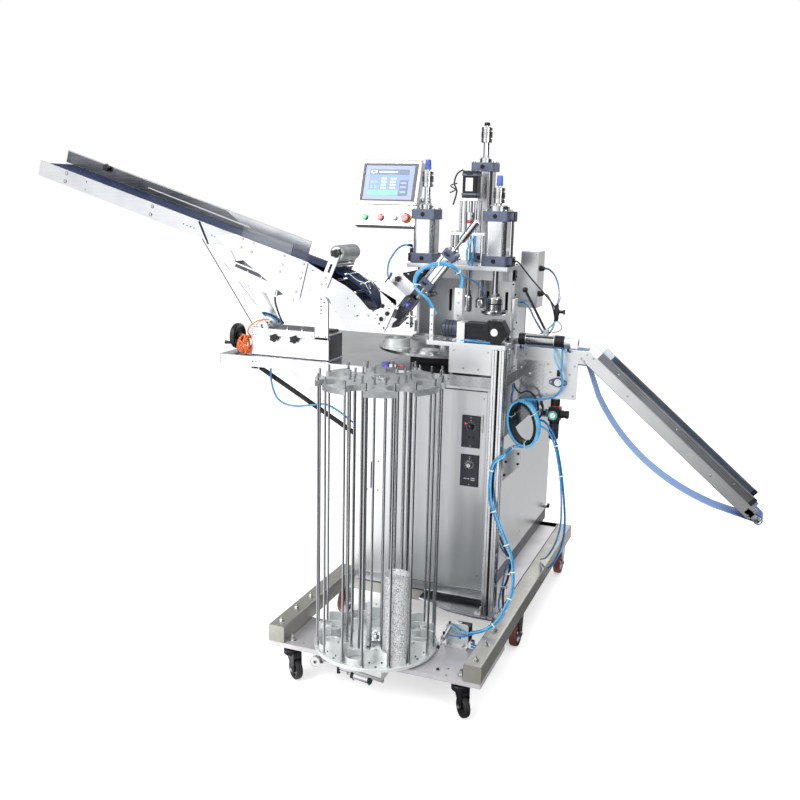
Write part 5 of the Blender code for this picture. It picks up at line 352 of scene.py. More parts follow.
for name, place, target, size, energy in (("keyLight", (-2.6, -4.2, 4.2), (0, 0, 0.9), 2.6, 150),
        ("fillLight", (3.6, -3.2, 2.6), (0, 0, 0.9), 2.2, 70), ("backLight", (0.6, 4.0, 3.6), (0, 0, 1.0),
        2.4, 90)):
    lamp = bpy.data.lights.new(name, "AREA")
    lamp.shape, lamp.size, lamp.energy = "DISK", size, energy
    lampObject = bpy.data.objects.new(name, lamp)
    scene.collection.objects.link(lampObject)
    lampObject.location = place
    lampObject.rotation_euler = (Vector(target) - Vector(place)).to_track_quat("-Z", "Y").to_euler()

floorFinish, tree, shader = newMaterial("floorPaint", "#F6F6F6", 0.0, 0.6)
shader.inputs["Emission Color"].default_value = (1, 1, 1, 1)
shader.inputs["Emission Strength"].default_value = 0.42
shader.inputs["Specular IOR Level"].default_value = 0.1
grainOn(tree, shader, (60, 60, 60), 0.5, 0.62, 0.0)
# the metal mirrors mostly the floor, so the flags lie on it too: white in front, dark to the sides
spot = addNode(tree, "ShaderNodeNewGeometry")
floorFlags = flagRing(tree, spot.outputs["Position"], [(0.0, 1.2), (0.04, 1.35), (0.05, 1.75), (0.065, 2.4),
    (0.11, 2.4), (0.15, 0.35), (0.19, 0.05), (0.4, 0.05), (0.45, 0.16), (0.53, 0.6), (0.6, 0.8), (0.65, 0.06),
    (0.89, 0.04), (0.955, 0.25), (0.985, 1.05), (1.0, 1.1)])[1]
mirrored = addNode(tree, "ShaderNodeEmission", links={"Color": floorFlags.outputs["Color"]})
bounce = addNode(tree, "ShaderNodeLightPath")
either = addNode(tree, "ShaderNodeMixShader", links={0: bounce.outputs["Is Glossy Ray"],
    1: shader.outputs["BSDF"], 2: mirrored.outputs["Emission"]})
floorOutput = [node for node in tree.nodes if node.type == "OUTPUT_MATERIAL"][0]
tree.links.new(either.outputs["Shader"], floorOutput.inputs["Surface"])
floorMesh = bpy.data.meshes.new("studioFloor")
floorMesh.from_pydata([(-30, -30, 0), (30, -30, 0), (30, 30, 0), (-30, 30, 0)], [], [(0, 1, 2, 3)])
floorMesh.materials.append(floorFinish)
floorObject = bpy.data.objects.new("studioFloor", floorMesh)
scene.collection.objects.link(floorObject)


# shapes: each function gives one closed mesh in the machine's frame
def block(low, high):
    shape = bmesh.new()
    low, high = [min(a, b) for a, b in zip(low, high)], [max(a, b) for a, b in zip(low, high)]
    bmesh.ops.create_cube(shape, size=1)
    for v in shape.verts:
        v.co = Vector([low[i] + (v.co[i] + 0.5) * (high[i] - low[i]) for i in range(3)])
    return shape


def blockAt(middle, size):
    return block([m - s / 2 for m, s in zip(middle, size)], [m + s / 2 for m, s in zip(middle, size)])


def fourCorners(half):
    return [(a, b) for a in (-half, half) for b in (-half, half)]


def ringPoints(middle, radius, sides=24, first=0.0, last=360.0):
    whole = abs(last - first) >= 360
    count = sides if whole else sides + 1
    return [(middle[0] + radius * cos(radians(first + (last - first) * i / sides)),
        middle[1] + radius * sin(radians(first + (last - first) * i / sides))) for i in range(count)]


def plate(outline, axis, near, far, holes=()):
    # a flat plate: its outline in the two other axes, and round holes as ((a, b), radius)
    shape = bmesh.new()
    where = {"X": lambda a, b: (near, a, b), "Y": lambda a, b: (a, near, b), "Z": lambda a,
        b: (a, b, near)}[axis]
    edges = []
    for loop in [list(outline)] + [ringPoints(middle, radius, 16) for middle, radius in holes]:
        ring = [shape.verts.new(where(a, b)) for a, b in loop]
        edges += [shape.edges.new((ring[i - 1], ring[i])) for i in range(len(ring))]
    if holes:
        bmesh.ops.triangle_fill(shape, use_beauty=True, use_dissolve=False, edges=edges)
    else:
        bmesh.ops.contextual_create(shape, geom=edges)
    grown = bmesh.ops.extrude_face_region(shape, geom=shape.faces[:])
    offset = Vector([far - near if name == axis else 0 for name in "XYZ"])
    for item in grown["geom"]:
        if isinstance(item, bmesh.types.BMVert):
            item.co += offset
    bmesh.ops.recalc_face_normals(shape, faces=shape.faces)
    return shape


def turned(profile, base, direction=(0, 0, 1), sides=40):
    # a profile of (radius, along) turned round an axis
    shape = bmesh.new()
    swing = Vector((0, 0, 1)).rotation_difference(Vector(direction))
    loops = []
    for radius, along in profile:
        if radius < 0.00001:
            loops.append([shape.verts.new(Vector(base) + swing @ Vector((0, 0, along)))])
        else:
            loops.append([shape.verts.new(Vector(base) + swing @ Vector((radius * cos(tau * i / sides),
                radius * sin(tau * i / sides), along))) for i in range(sides)])
    pairs = list(zip(loops, loops[1:]))
    if len(loops[0]) > 1 and len(loops[-1]) > 1:
        pairs.append((loops[-1], loops[0]))
    for lower, upper in pairs:
        for i in range(sides):
            a, b = lower[i % len(lower)], lower[(i + 1) % len(lower)]
            c, d = upper[(i + 1) % len(upper)], upper[i % len(upper)]
            corners = []
            for corner in (a, b, c, d):
                if corner not in corners:
                    corners.append(corner)
            if len(corners) > 2:
                shape.faces.new(corners)
    bmesh.ops.recalc_face_normals(shape, faces=shape.faces)
    return shape


def solid(profile, base, direction=(0, 0, 1), sides=40):
    # a solid turned part: its profile closed to the axis at both ends
    return turned([(0, profile[0][1])] + profile + [(0, profile[-1][1])], base, direction, sides)


def disc(radius, height, base, direction=(0, 0, 1), sides=40, tip=None):
    # a flat round part; tip is the radius of its far face where that differs
    return solid([(radius, 0), (radius if tip is None else tip, height)], base, direction, sides)


def rod(start, end, radius, sides=24, tip=None, edge=0.0006):
    start, end = Vector(start), Vector(end)
    length, tip = (end - start).length, radius if tip is None else tip
    edge = min(edge, radius / 3, tip / 3, length / 3)
    return solid([(radius - edge, 0), (radius, edge), (tip, length - edge), (tip - edge, length)], start,
        (end - start).normalized(), sides)


def slab(start, end, width, depth, near):
    # a bar with square ends between two points in X and Z
    along = (Vector(end) - Vector(start)).normalized()
    side = Vector((-along.y, along.x)) * width / 2
    return plate([Vector(start) - side, Vector(end) - side, Vector(end) + side, Vector(start) + side], "Y",
        near, near + depth)


def softSquare(middle, size, corner, sides=5):
    outline = []
    for quarter, (a, b) in enumerate(((1, 1), (-1, 1), (-1, -1), (1, -1))):
        centre = (middle[0] + a * (size / 2 - corner), middle[1] + b * (size / 2 - corner))
        outline += ringPoints(centre, corner, sides, quarter * 90, quarter * 90 + 90)
    return outline


def screw(place, direction, radius, height=None):
    # socket cap screw with its round recess
    height = height or radius * 1.4
    return solid([(radius, 0), (radius, height * 0.82), (radius * 0.86, height), (radius * 0.56, height),
        (radius * 0.5, height * 0.5)], place, direction, 16)


def hexNut(place, direction, radius, height, stud=0.0):
    profile = [(0, 0), (radius * 0.94, 0), (radius, height * 0.15), (radius, height * 0.85),
        (radius * 0.88, height)]
    profile += [(radius * 0.5, height), (radius * 0.5, height + stud),
        (0, height + stud)] if stud else [(0, height)]
    return turned(profile, place, direction, 6)


def starKnob(x, y, z, back, radius=0.016, depth=0.014):
    # five-lobed clamping knob whose face looks to the front, with its stem
    outline = []
    for i in range(60):
        angle = tau * i / 60
        reach = radius * (0.86 + 0.14 * cos(5 * angle))
        outline.append((x + reach * cos(angle), z + reach * sin(angle)))
    head = plate(outline, "Y", y, y + depth)
    return [(head, 0.0025), (disc(radius * 0.42, 0.002, (x, y, z), (0, -1, 0), 20, tip=radius * 0.36), 0),
        (rod((x, y + depth - 0.0005, z), (x, back, z), radius * 0.38), 0)]


def ballAt(middle, radius, sides=24):
    profile = [(radius * sin(pi * i / 12), -radius * cos(pi * i / 12)) for i in range(13)]
    profile[0], profile[-1] = (0, -radius), (0, radius)
    return turned(profile, middle, (0, 0, 1), sides)


def smoothPath(points, step=0.008):
    # a curve through the points, in steps of about one length
    points = [Vector(p) for p in points]
    ends = [points[0] * 2 - points[1]] + points + [points[-1] * 2 - points[-2]]
    path = []
    for a, b, c, d in zip(ends, ends[1:], ends[2:], ends[3:]):
        count = max(2, int((c - b).length / step))
        for i in range(count):
            t = i / count
            path.append((b * 2 + (c - a) * t + (a * 2 - b * 5 + c * 4 - d) * t * t
                + (b * 3 - a - c * 3 + d) * t ** 3) / 2)
    return path + [points[-1]]


def tube(points, radius, sides=12):
    # a round tube that follows a line of points, turned as little as possible along it
    shape = bmesh.new()
    points = [Vector(p) for p in points]
    ahead = (points[1] - points[0]).normalized()
    side = ahead.orthogonal().normalized()
    loops = []
    for i, point in enumerate(points):
        heading = (points[min(i + 1, len(points) - 1)] - points[max(i - 1, 0)]).normalized()
        side = (ahead.rotation_difference(heading) @ side).normalized()
        ahead = heading
        other = ahead.cross(side)
        loops.append([shape.verts.new(point + (side * cos(tau * k / sides)
            + other * sin(tau * k / sides)) * radius) for k in range(sides)])
    for lower, upper in zip(loops, loops[1:]):
        for k in range(sides):
            shape.faces.new((lower[k], lower[(k + 1) % sides], upper[(k + 1) % sides], upper[k]))
    shape.faces.new(loops[0][::-1])
    shape.faces.new(loops[-1])
    return shape


def newPiece(name):
    return {"name": name, "points": [], "faces": [], "slots": [], "materials": []}


def put(piece, shapes, material, bevel=0.0, matrix=None):
    # adds a closed shape, or a list of them, to a piece: edges broken, in one material
    for shape in shapes if isinstance(shapes, list) else [shapes]:
        if bevel:
            sharp = [e for e in shape.edges if len(e.link_faces) == 2 and e.calc_face_angle(0) > 0.6]
            bmesh.ops.bevel(shape, geom=sharp, offset=bevel, offset_type="OFFSET", segments=2, profile=0.6,
                affect="EDGES", clamp_overlap=True)
        if matrix is not None:
            bmesh.ops.transform(shape, matrix=matrix, verts=shape.verts)
        if material not in piece["materials"]:
            piece["materials"].append(material)
        number, start = piece["materials"].index(material), len(piece["points"])
        shape.verts.index_update()
        piece["points"] += [v.co.copy() for v in shape.verts]
        piece["faces"] += [[start + v.index for v in f.verts] for f in shape.faces]
        piece["slots"] += [number] * len(shape.faces)
        shape.free()


def putAll(piece, shapes, material):
    for shape, bevel in shapes:
        put(piece, shape, material, bevel)


def ready(piece, slot, *nodes, body="machine_base"):
    # makes the object, lets it ride on its body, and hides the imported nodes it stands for
    mesh = bpy.data.meshes.new(piece["name"])
    mesh.from_pydata([p + machineZero for p in piece["points"]], [], piece["faces"])
    for material in piece["materials"]:
        mesh.materials.append(material)
    mesh.polygons.foreach_set("material_index", piece["slots"])
    mesh.polygons.foreach_set("use_smooth", [True] * len(mesh.polygons))
    mesh.set_sharp_from_angle(angle=radians(38))
    made = bpy.data.objects.new(piece["name"], mesh)
    scene.collection.objects.link(made)
    weighted = made.modifiers.new("flatFaces", "WEIGHTED_NORMAL")
    weighted.keep_sharp = True
    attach(made, body)
    if nodes:
        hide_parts(*nodes)


print("chassis and wheels")
chassis = {"half": 0.383, "beam": 0.06, "low": 0.117, "plateTop": 0.1337, "beamLow": 0.134, "beamTop": 0.194,
    "boltFront": 0.041, "boltPitch": 0.113, "rear": 1.45, "leftEnd": 0.6}
wheelPlaces = (("mid_left", -0.353, 0.575), ("mid_right", 0.353, 0.575), ("rear_left", -0.23, 1.345),
    ("rear_right", 0.353, 1.345))


def washerBolt(piece, x, y, level, radius=0.0085):
    washer = [(0, 0), (radius * 1.75, 0), (radius * 1.75, 0.0013), (radius, 0.0016), (0, 0.0016)]
    put(piece, [turned(washer, (x, y, level - 0.0002), sides=24),
        hexNut((x, y, level + 0.0013), (0, 0, 1), radius, 0.0068, 0.0085)], zincPlate)


def buildChassis():
    half, inner = chassis["half"], chassis["half"] - chassis["beam"]
    low, high = chassis["low"], chassis["plateTop"]
    front = newPiece("frontPlate")
    outline = [(-half, 0), (half, 0), (half, 0.295), (inner, 0.295), (inner, 0.225), (-half, 0.225)]
    holes = [((x, y), 0.0045) for x, y in ((-0.262, 0.03), (-0.262, 0.2), (0.12, 0.016), (0.255, 0.06),
        (0.262, 0.016), (-0.11, 0.013), (0.345, 0.012), (-0.345, 0.1))]
    put(front, plate(outline, "Z", low, high, holes), blastedSheet, 0.0008)
    put(front, solid([(0.05, -0.001), (0.05, 0.005), (0.049, 0.0057)], (-0.031, 0.123, high)), turnedSteel)
    for side in (-1, 1):
        x = side * 0.307
        put(front, [solid([(0.0185, -0.01), (0.02, -0.0085), (0.02, 0.0005)], (x, 0.035, low)),
            disc(0.0135, 0.0014, (x, 0.035, high)), hexNut((x, 0.035, high + 0.0012), (0, 0, 1), 0.0108,
            0.0065, 0.017)], zincPlate)
    for x, y in ((-0.352, 0.012), (0.225, 0.04), (0.355, 0.18)):
        put(front, screw((x, y, high - 0.0004), (0, 0, 1), 0.0052, 0.005), blackOxide)
    ready(front, "brushed_stainless", "front_plate")

    beams = newPiece("chassisBeams")
    beamLow, beamTop, wall = chassis["beamLow"], chassis["beamTop"], 0.003

    def squareTube(x, first, last):
        # an open-ended square tube, with its inside in shade
        ring = softSquare((x, (beamLow + beamTop) / 2), 0.06, 0.0045, 3)
        hole = softSquare((x, (beamLow + beamTop) / 2), 0.06 - 2 * wall, 0.003, 3)
        shape = bmesh.new()
        loops = [[shape.verts.new((a, y, b)) for a, b in points] for points,
            y in ((ring, first), (ring, last), (hole, last), (hole, last - 0.12))]
        for lower, upper in zip(loops, loops[1:]):
            for i in range(len(lower)):
                shape.faces.new((lower[i - 1], lower[i], upper[i], upper[i - 1]))
        shape.faces.new(loops[-1])
        shape.faces.new(loops[0])
        bmesh.ops.recalc_face_normals(shape, faces=shape.faces)
        return shape
    put(beams, [squareTube(0.353, 0.0, chassis["rear"]), squareTube(-0.353, 0.0, chassis["leftEnd"])],
        frameTube)
    # end plates, welded into the tubes and ground off
    for x in (-0.353, 0.353):
        put(beams, blockAt((x, 0.0016, 0.164), (0.0535, 0.0024, 0.0535)), weldedPlate, 0.0008)
    put(beams, [block((-0.3235, 0.52, beamLow), (0.3235, 0.58, beamTop)),
        block((-0.26, 1.39, beamLow), (0.3235, 1.45, beamTop)), block((-0.26, 0.579, beamLow),
        (-0.2, 1.391, beamTop))], frameTube, 0.004)
    # platform sheet with its folded rib and corner gusset
    put(beams, block((0.2, 0.579, beamTop - 0.008), (0.326, 1.449, beamTop)), blastedSheet, 0.0015)
    corner = [(0.326 - 0.311 * a, 0.35 + 0.173 * b) for a, b in ((0.24, 0.0), (0.58, 0.08), (1.0, 0.42))]
    corner += [(0.015, 0.523), (0.326, 0.523), (0.326, 0.35)]
    put(beams, plate(corner, "Z", beamTop - 0.008, beamTop), sheetAlong, 0.0012)
    put(beams, block((0.322, 0.3, beamTop - 0.0006), (0.325, 1.446, beamTop + 0.0011)), deepShade)
    for side in (-1, 1):
        for i in range(3):
            washerBolt(beams, side * 0.353, chassis["boltFront"] + chassis["boltPitch"] * i, beamTop)
    for x, y in ((0.345, 0.44), (0.345, 0.8), (0.345, 1.18), (0.23, 0.64)):
        put(beams, turned([(0, 0), (0.006, 0), (0.005, 0.0015), (0, 0.002)], (x, y, beamTop - 0.0002),
            sides=20), zincPlate)
    # wheel brackets: two cheeks, a foot plate and the axle
    for _, x, y in wheelPlaces:
        top = beamLow
        put(beams, blockAt((x, y, top - 0.002), (0.05, 0.08, 0.0036)), zincPlate, 0.0008)
        for side in (-1, 1):
            near = x + side * 0.0165
            outline = [(y - 0.036, top - 0.0025), (y + 0.036, top - 0.0025), (y + 0.014, 0.046),
                (y + 0.007, 0.038), (y - 0.007, 0.038), (y - 0.014, 0.046)]
            put(beams, plate(outline, "X", near, near + side * 0.0045), zincPlate, 0.0007)
            put(beams, hexNut((near + side * 0.004, y, 0.05), (side, 0, 0), 0.0085, 0.005), zincPlate)
        put(beams, rod((x - 0.018, y, 0.05), (x + 0.018, y, 0.05), 0.0055), zincPlate)
    ready(beams, "brushed_stainless", "base_frame")


def roadWheel(name, body, node, place, radius, width, axis, tread, hub, slot):
    wheel = newPiece(name)
    half = width / 2
    rim = radius * 0.72
    put(wheel, turned([(rim, -half * 0.86), (radius * 0.9, -half), (radius * 0.97, -half * 0.82),
        (radius, -half * 0.45), (radius, half * 0.45), (radius * 0.97, half * 0.82), (radius * 0.9, half),
        (rim, half * 0.86)], place, axis, 56), tread)
    put(wheel, turned([(rim, half * 0.7), (radius * 0.93, half * 0.99), (radius * 0.9, half * 1.02),
        (rim, half * 0.9)], place, axis, 56), nitrileRubber)
    for side in (-1, 1):
        start = Vector(place)
        outward = Vector(axis) * side
        put(wheel, turned([(0.0066, 0), (rim + 0.0005, 0), (rim + 0.0005, half * 0.8),
            (rim * 0.9, half * 0.84), (rim * 0.8, half * 0.45), (rim * 0.42, half * 0.42),
            (rim * 0.36, half * 0.92), (0.0066, half * 0.92)], start, outward, 48), hub)
        swing = Vector((0, 0, 1)).rotation_difference(outward)
        for i in range(5):
            spot = start + swing @ Vector((rim * 0.62 * cos(tau * i / 5), rim * 0.62 * sin(tau * i / 5),
                half * 0.43))
            put(wheel, disc(rim * 0.1, half * 0.1, spot, outward, 14, tip=rim * 0.08), zincPlate)
    ready(wheel, slot, node, body=body)


def buildWheels():
    for name, x, y in wheelPlaces:
        roadWheel("roadWheel_" + name, name + "_wheel", "wheel_" + name, (x, y, 0.05), 0.0498, 0.0298,
            (1, 0, 0), polyurethaneTyre, zincPlate, "red_brown_tread")
    for side, sign, heading in (("left", -1, -37), ("right", 1, -49)):
        turn = radians(heading)
        stem = Vector((sign * 0.307, 0.035, 0))
        place = Matrix.Translation(stem) @ Matrix.Rotation(turn, 4, "Z")
        fork = newPiece("casterFork_" + side)
        put(fork, turned([(0, 0.086), (0.029, 0.086), (0.0312, 0.0885), (0.0312, 0.0925), (0.0298, 0.0935),
            (0.0298, 0.0955), (0.0312, 0.0965), (0.0312, 0.102), (0.028, 0.106), (0, 0.1065)], (0, 0, 0)),
            blackOxide, 0, place)
        for flank in (-1, 1):
            near, far = flank * 0.0122, flank * 0.0158
            outline = [(-0.0205, 0.1015), (0.0395, 0.1015), (0.04, 0.08), (0.0395, 0.0375)]
            outline += ringPoints((0.025, 0.0375), 0.0145, 10, -10, -170)
            outline += [(0.0105, 0.05), (-0.0205, 0.088)]
            put(fork, plate(outline, "Y", near, far), blackOxide, 0.0008, place)
            put(fork, hexNut((0.025, far, 0.0375), (0, flank, 0), 0.0075, 0.0042, 0.002), zincPlate, 0, place)
        put(fork, block((-0.0205, -0.015, 0.079), (0.039, 0.015, 0.1018)), blackOxide, 0.003, place)
        # toe brake over the wheel
        put(fork, plate([(0.03, 0.089), (0.0395, 0.0885), (0.04, 0.08), (0.03, 0.079)], "Y", -0.011, 0.011),
            mouldedAbs, 0.001, place)
        put(fork, rod((0.025, -0.016, 0.0375), (0.025, 0.016, 0.0375), 0.0055), zincPlate, 0, place)
        ready(fork, "black_plastic", "caster_fork_" + side, body="caster_" + side)
        hub = stem + Vector((cos(turn), sin(turn), 0)) * 0.025 + Vector((0, 0, 0.0375))
        roadWheel("casterWheel_" + side, "caster_%s_wheel" % side, "caster_wheel_" + side, hub, 0.0373,
            0.0218, (-sin(turn), cos(turn), 0), nitrileRubber, mouldedAbs, "black_rubber")


buildChassis()
buildWheels()

print("cabinet, table and column")
cabinet = {"left": -0.262, "right": 0.25, "front": 0.45, "back": 1.5, "low": 0.1943, "top": 1.0097,
    "coverLow": 0.2893, "coverTop": 1.0035}


def buildCabinet():
    left, right, front, back = (cabinet[key] for key in ("left", "right", "front", "back"))
    low, top = cabinet["low"], cabinet["top"]
    casing = newPiece("cabinetCasing")
    put(casing, block((left, front, 0.248), (right, back, top)), sheetUpright, 0.003)
    # set-back plinth in painted shade, so that the front stands clear of the frame
    put(casing, block((left + 0.004, front + 0.03, low), (right - 0.001, back - 0.004, 0.249)), paintedShadePlate,
        0.002)
    put(casing, block((left + 0.001, front + 0.002, 0.2462), (right - 0.001, front + 0.031, 0.2482)),
        deepShade)
    put(casing, block((left + 0.001, front + 0.004, 0.212), (right - 0.001, front + 0.031, 0.2464)),
        sheetAlong, 0.004)
    # handle slot and its rivets, seen between the magazine's rods; the rivets in painted shade
    put(casing, block((-0.1975, front - 0.0024, 0.582), (-0.1925, front - 0.001, 0.685)), deepShade, 0.0006)
    for a, b in ((-0.1676, 0.689), (-0.1675, 0.5775), (-0.211, 0.576)):
        put(casing, turned([(0, 0), (0.0032, 0), (0.003, 0.0008), (0, 0.001)], (a, front - 0.0018, b),
            (0, -1, 0), 16), paintedShadePlate)
    # front: the cover, a fixed head strip over it and the dark joint between
    put(casing, [block((left + 0.01, front - 0.002, cabinet["coverLow"]),
        (right - 0.01, front + 0.001, 0.988)), block((left + 0.01, front - 0.0018, 0.9915),
        (right - 0.01, front + 0.001, cabinet["coverTop"]))], sheetUpright, 0.0009)
    put(casing, block((left + 0.01, front - 0.0006, 0.9875), (right - 0.01, front + 0.001, 0.992)), deepShade)
    for x, out in ((left, -1), (right, 1)):
        put(casing, block((x - out * 0.001, front + 0.03, cabinet["coverLow"]),
            (x + out * 0.002, back - 0.03, cabinet["coverTop"] - 0.03)), sheetUpright, 0.0009)
        for y in (front + 0.045, (front + back) / 2, back - 0.045):
            for z in (cabinet["coverLow"] + 0.016, cabinet["coverTop"] - 0.046):
                put(casing, turned([(0, 0), (0.0045, 0), (0.004, 0.0012), (0, 0.0016)],
                    (x + out * 0.0018, y, z), (out, 0, 0), 16), zincPlate)
    for x in (left + 0.022, right - 0.022):
        for z in (cabinet["coverLow"] + 0.016, cabinet["coverTop"] - 0.04):
            put(casing, turned([(0, 0), (0.0042, 0), (0.0036, 0.0012), (0, 0.0016)], (x, front - 0.0018, z),
                (0, -1, 0), 16), zincPlate)
    # small pull strip at the right of the cover
    put(casing, block((right - 0.028, front - 0.006, 0.843), (right - 0.021, front, 0.905)), zincPlate, 0.001)
    # vents in the back, as dark slots with a pressed lip
    for i in range(8):
        z = low + 0.56 + 0.02 * i
        put(casing, blockAt(((left + right) / 2, back - 0.0004, z), (0.18, 0.0006, 0.006)), deepShade)
        put(casing, plate([(back - 0.002, z + 0.0032), (back - 0.0001, z + 0.0032),
            (back - 0.0001, z + 0.0045), (back - 0.002, z + 0.006)], "X", (left + right) / 2 - 0.09,
            (left + right) / 2 + 0.09), sheetAlong)
    put(casing, block((left + 0.05, back - 0.0005, low + 0.03), (right - 0.05, back - 0.0001, low + 0.5)),
        sheetUpright)
    # two speed controllers: printed film, screws, marks of the dial
    for name, level, knobRise in (("upper", 0.648, 0.018), ("lower", 0.505, 0.022)):
        middle = low + level
        x, face = 0.185, front - 0.002
        put(casing, block((x - 0.034, face - 0.0037, middle - 0.0585),
            (x + 0.034, face + 0.001, middle + 0.0585)), mouldedAbs, 0.0012)
        put(casing, block((x - 0.0315, face - 0.004, middle - 0.056),
            (x + 0.0315, face - 0.003, middle + 0.056)), controlFilm, 0.0002)
        for sign in (-1, 1):
            put(casing, screw((x, face - 0.0034, middle + sign * 0.0515), (0, -1, 0), 0.0024, 0.0012),
                zincPlate)
        knobZ = middle + knobRise
        for i in range(11):
            angle = radians(225 - 27 * i)
            a, b = (x + 0.015 * cos(angle), knobZ + 0.015 * sin(angle)), (x + 0.0185 * cos(angle),
                knobZ + 0.0185 * sin(angle))
            put(casing, slab(a, b, 0.0009, 0.0003, face - 0.0043), dialInk)
        put(casing, disc(0.0016, 0.0003, (x, face - 0.004, knobZ + 0.0225), (0, -1, 0), 12), dialInk)
        if name == "upper":
            put(casing, turned([(0, 0), (0.0032, 0), (0.003, 0.0022), (0.0015, 0.0034), (0, 0.0036)],
                (x - 0.02, face - 0.004, knobZ + 0.01), (0, -1, 0), 20), redLamp)
            for dx in (-0.006, 0.01):
                put(casing, disc(0.004, 0.0006, (x + dx, face - 0.004, middle - 0.02), (0, -1, 0), 20,
                    tip=0.0036), deepShade)
        else:
            put(casing, turned([(0.0125, 0), (0.0133, 0), (0.0133, 0.0003), (0.0125, 0.0003)],
                (x, face - 0.004, knobZ), (0, -1, 0), 40), dialInk)
            for dx, dz, wide in ((0.014, -0.027, 0.014), (0.014, -0.034, 0.014), (-0.014, -0.03, 0.01),
                    (-0.002, -0.03, 0.006)):
                put(casing, blockAt((x + dx, face - 0.0041, middle + dz), (wide, 0.0004, 0.0034)), dialInk)
    ready(casing, "brushed_stainless", "cabinet")
    for name, level, knobRise, skin in (("upper", 0.648, 0.018, mouldedAbs),
            ("lower", 0.505, 0.022, turnedSteel)):
        z = low + level + knobRise
        face = front - 0.006
        knob = newPiece("controllerKnob_" + name)
        put(knob, solid([(0.0092, 0.0003), (0.0095, 0.0016), (0.0088, 0.0022), (0.0082, 0.0125),
            (0.0074, 0.014)], (0.185, face, z), (0, -1, 0), 36), skin)
        for i in range(18):
            angle = tau * i / 18
            put(knob, rod((0.185 + 0.0084 * cos(angle), face - 0.003, z + 0.0084 * sin(angle)),
                (0.185 + 0.008 * cos(angle), face - 0.0126, z + 0.008 * sin(angle)), 0.0005, 6), skin)
        put(knob, block((0.1845, face - 0.0144, z + 0.0015), (0.1855, face - 0.013, z + 0.0074)), dialInk)
        put(knob, rod((0.185, face - 0.001, z), (0.185, front - 0.0005, z), 0.0029), zincPlate)
        ready(knob, "black_plastic", "controller_knob_" + name, body=name + "_controller_knob")


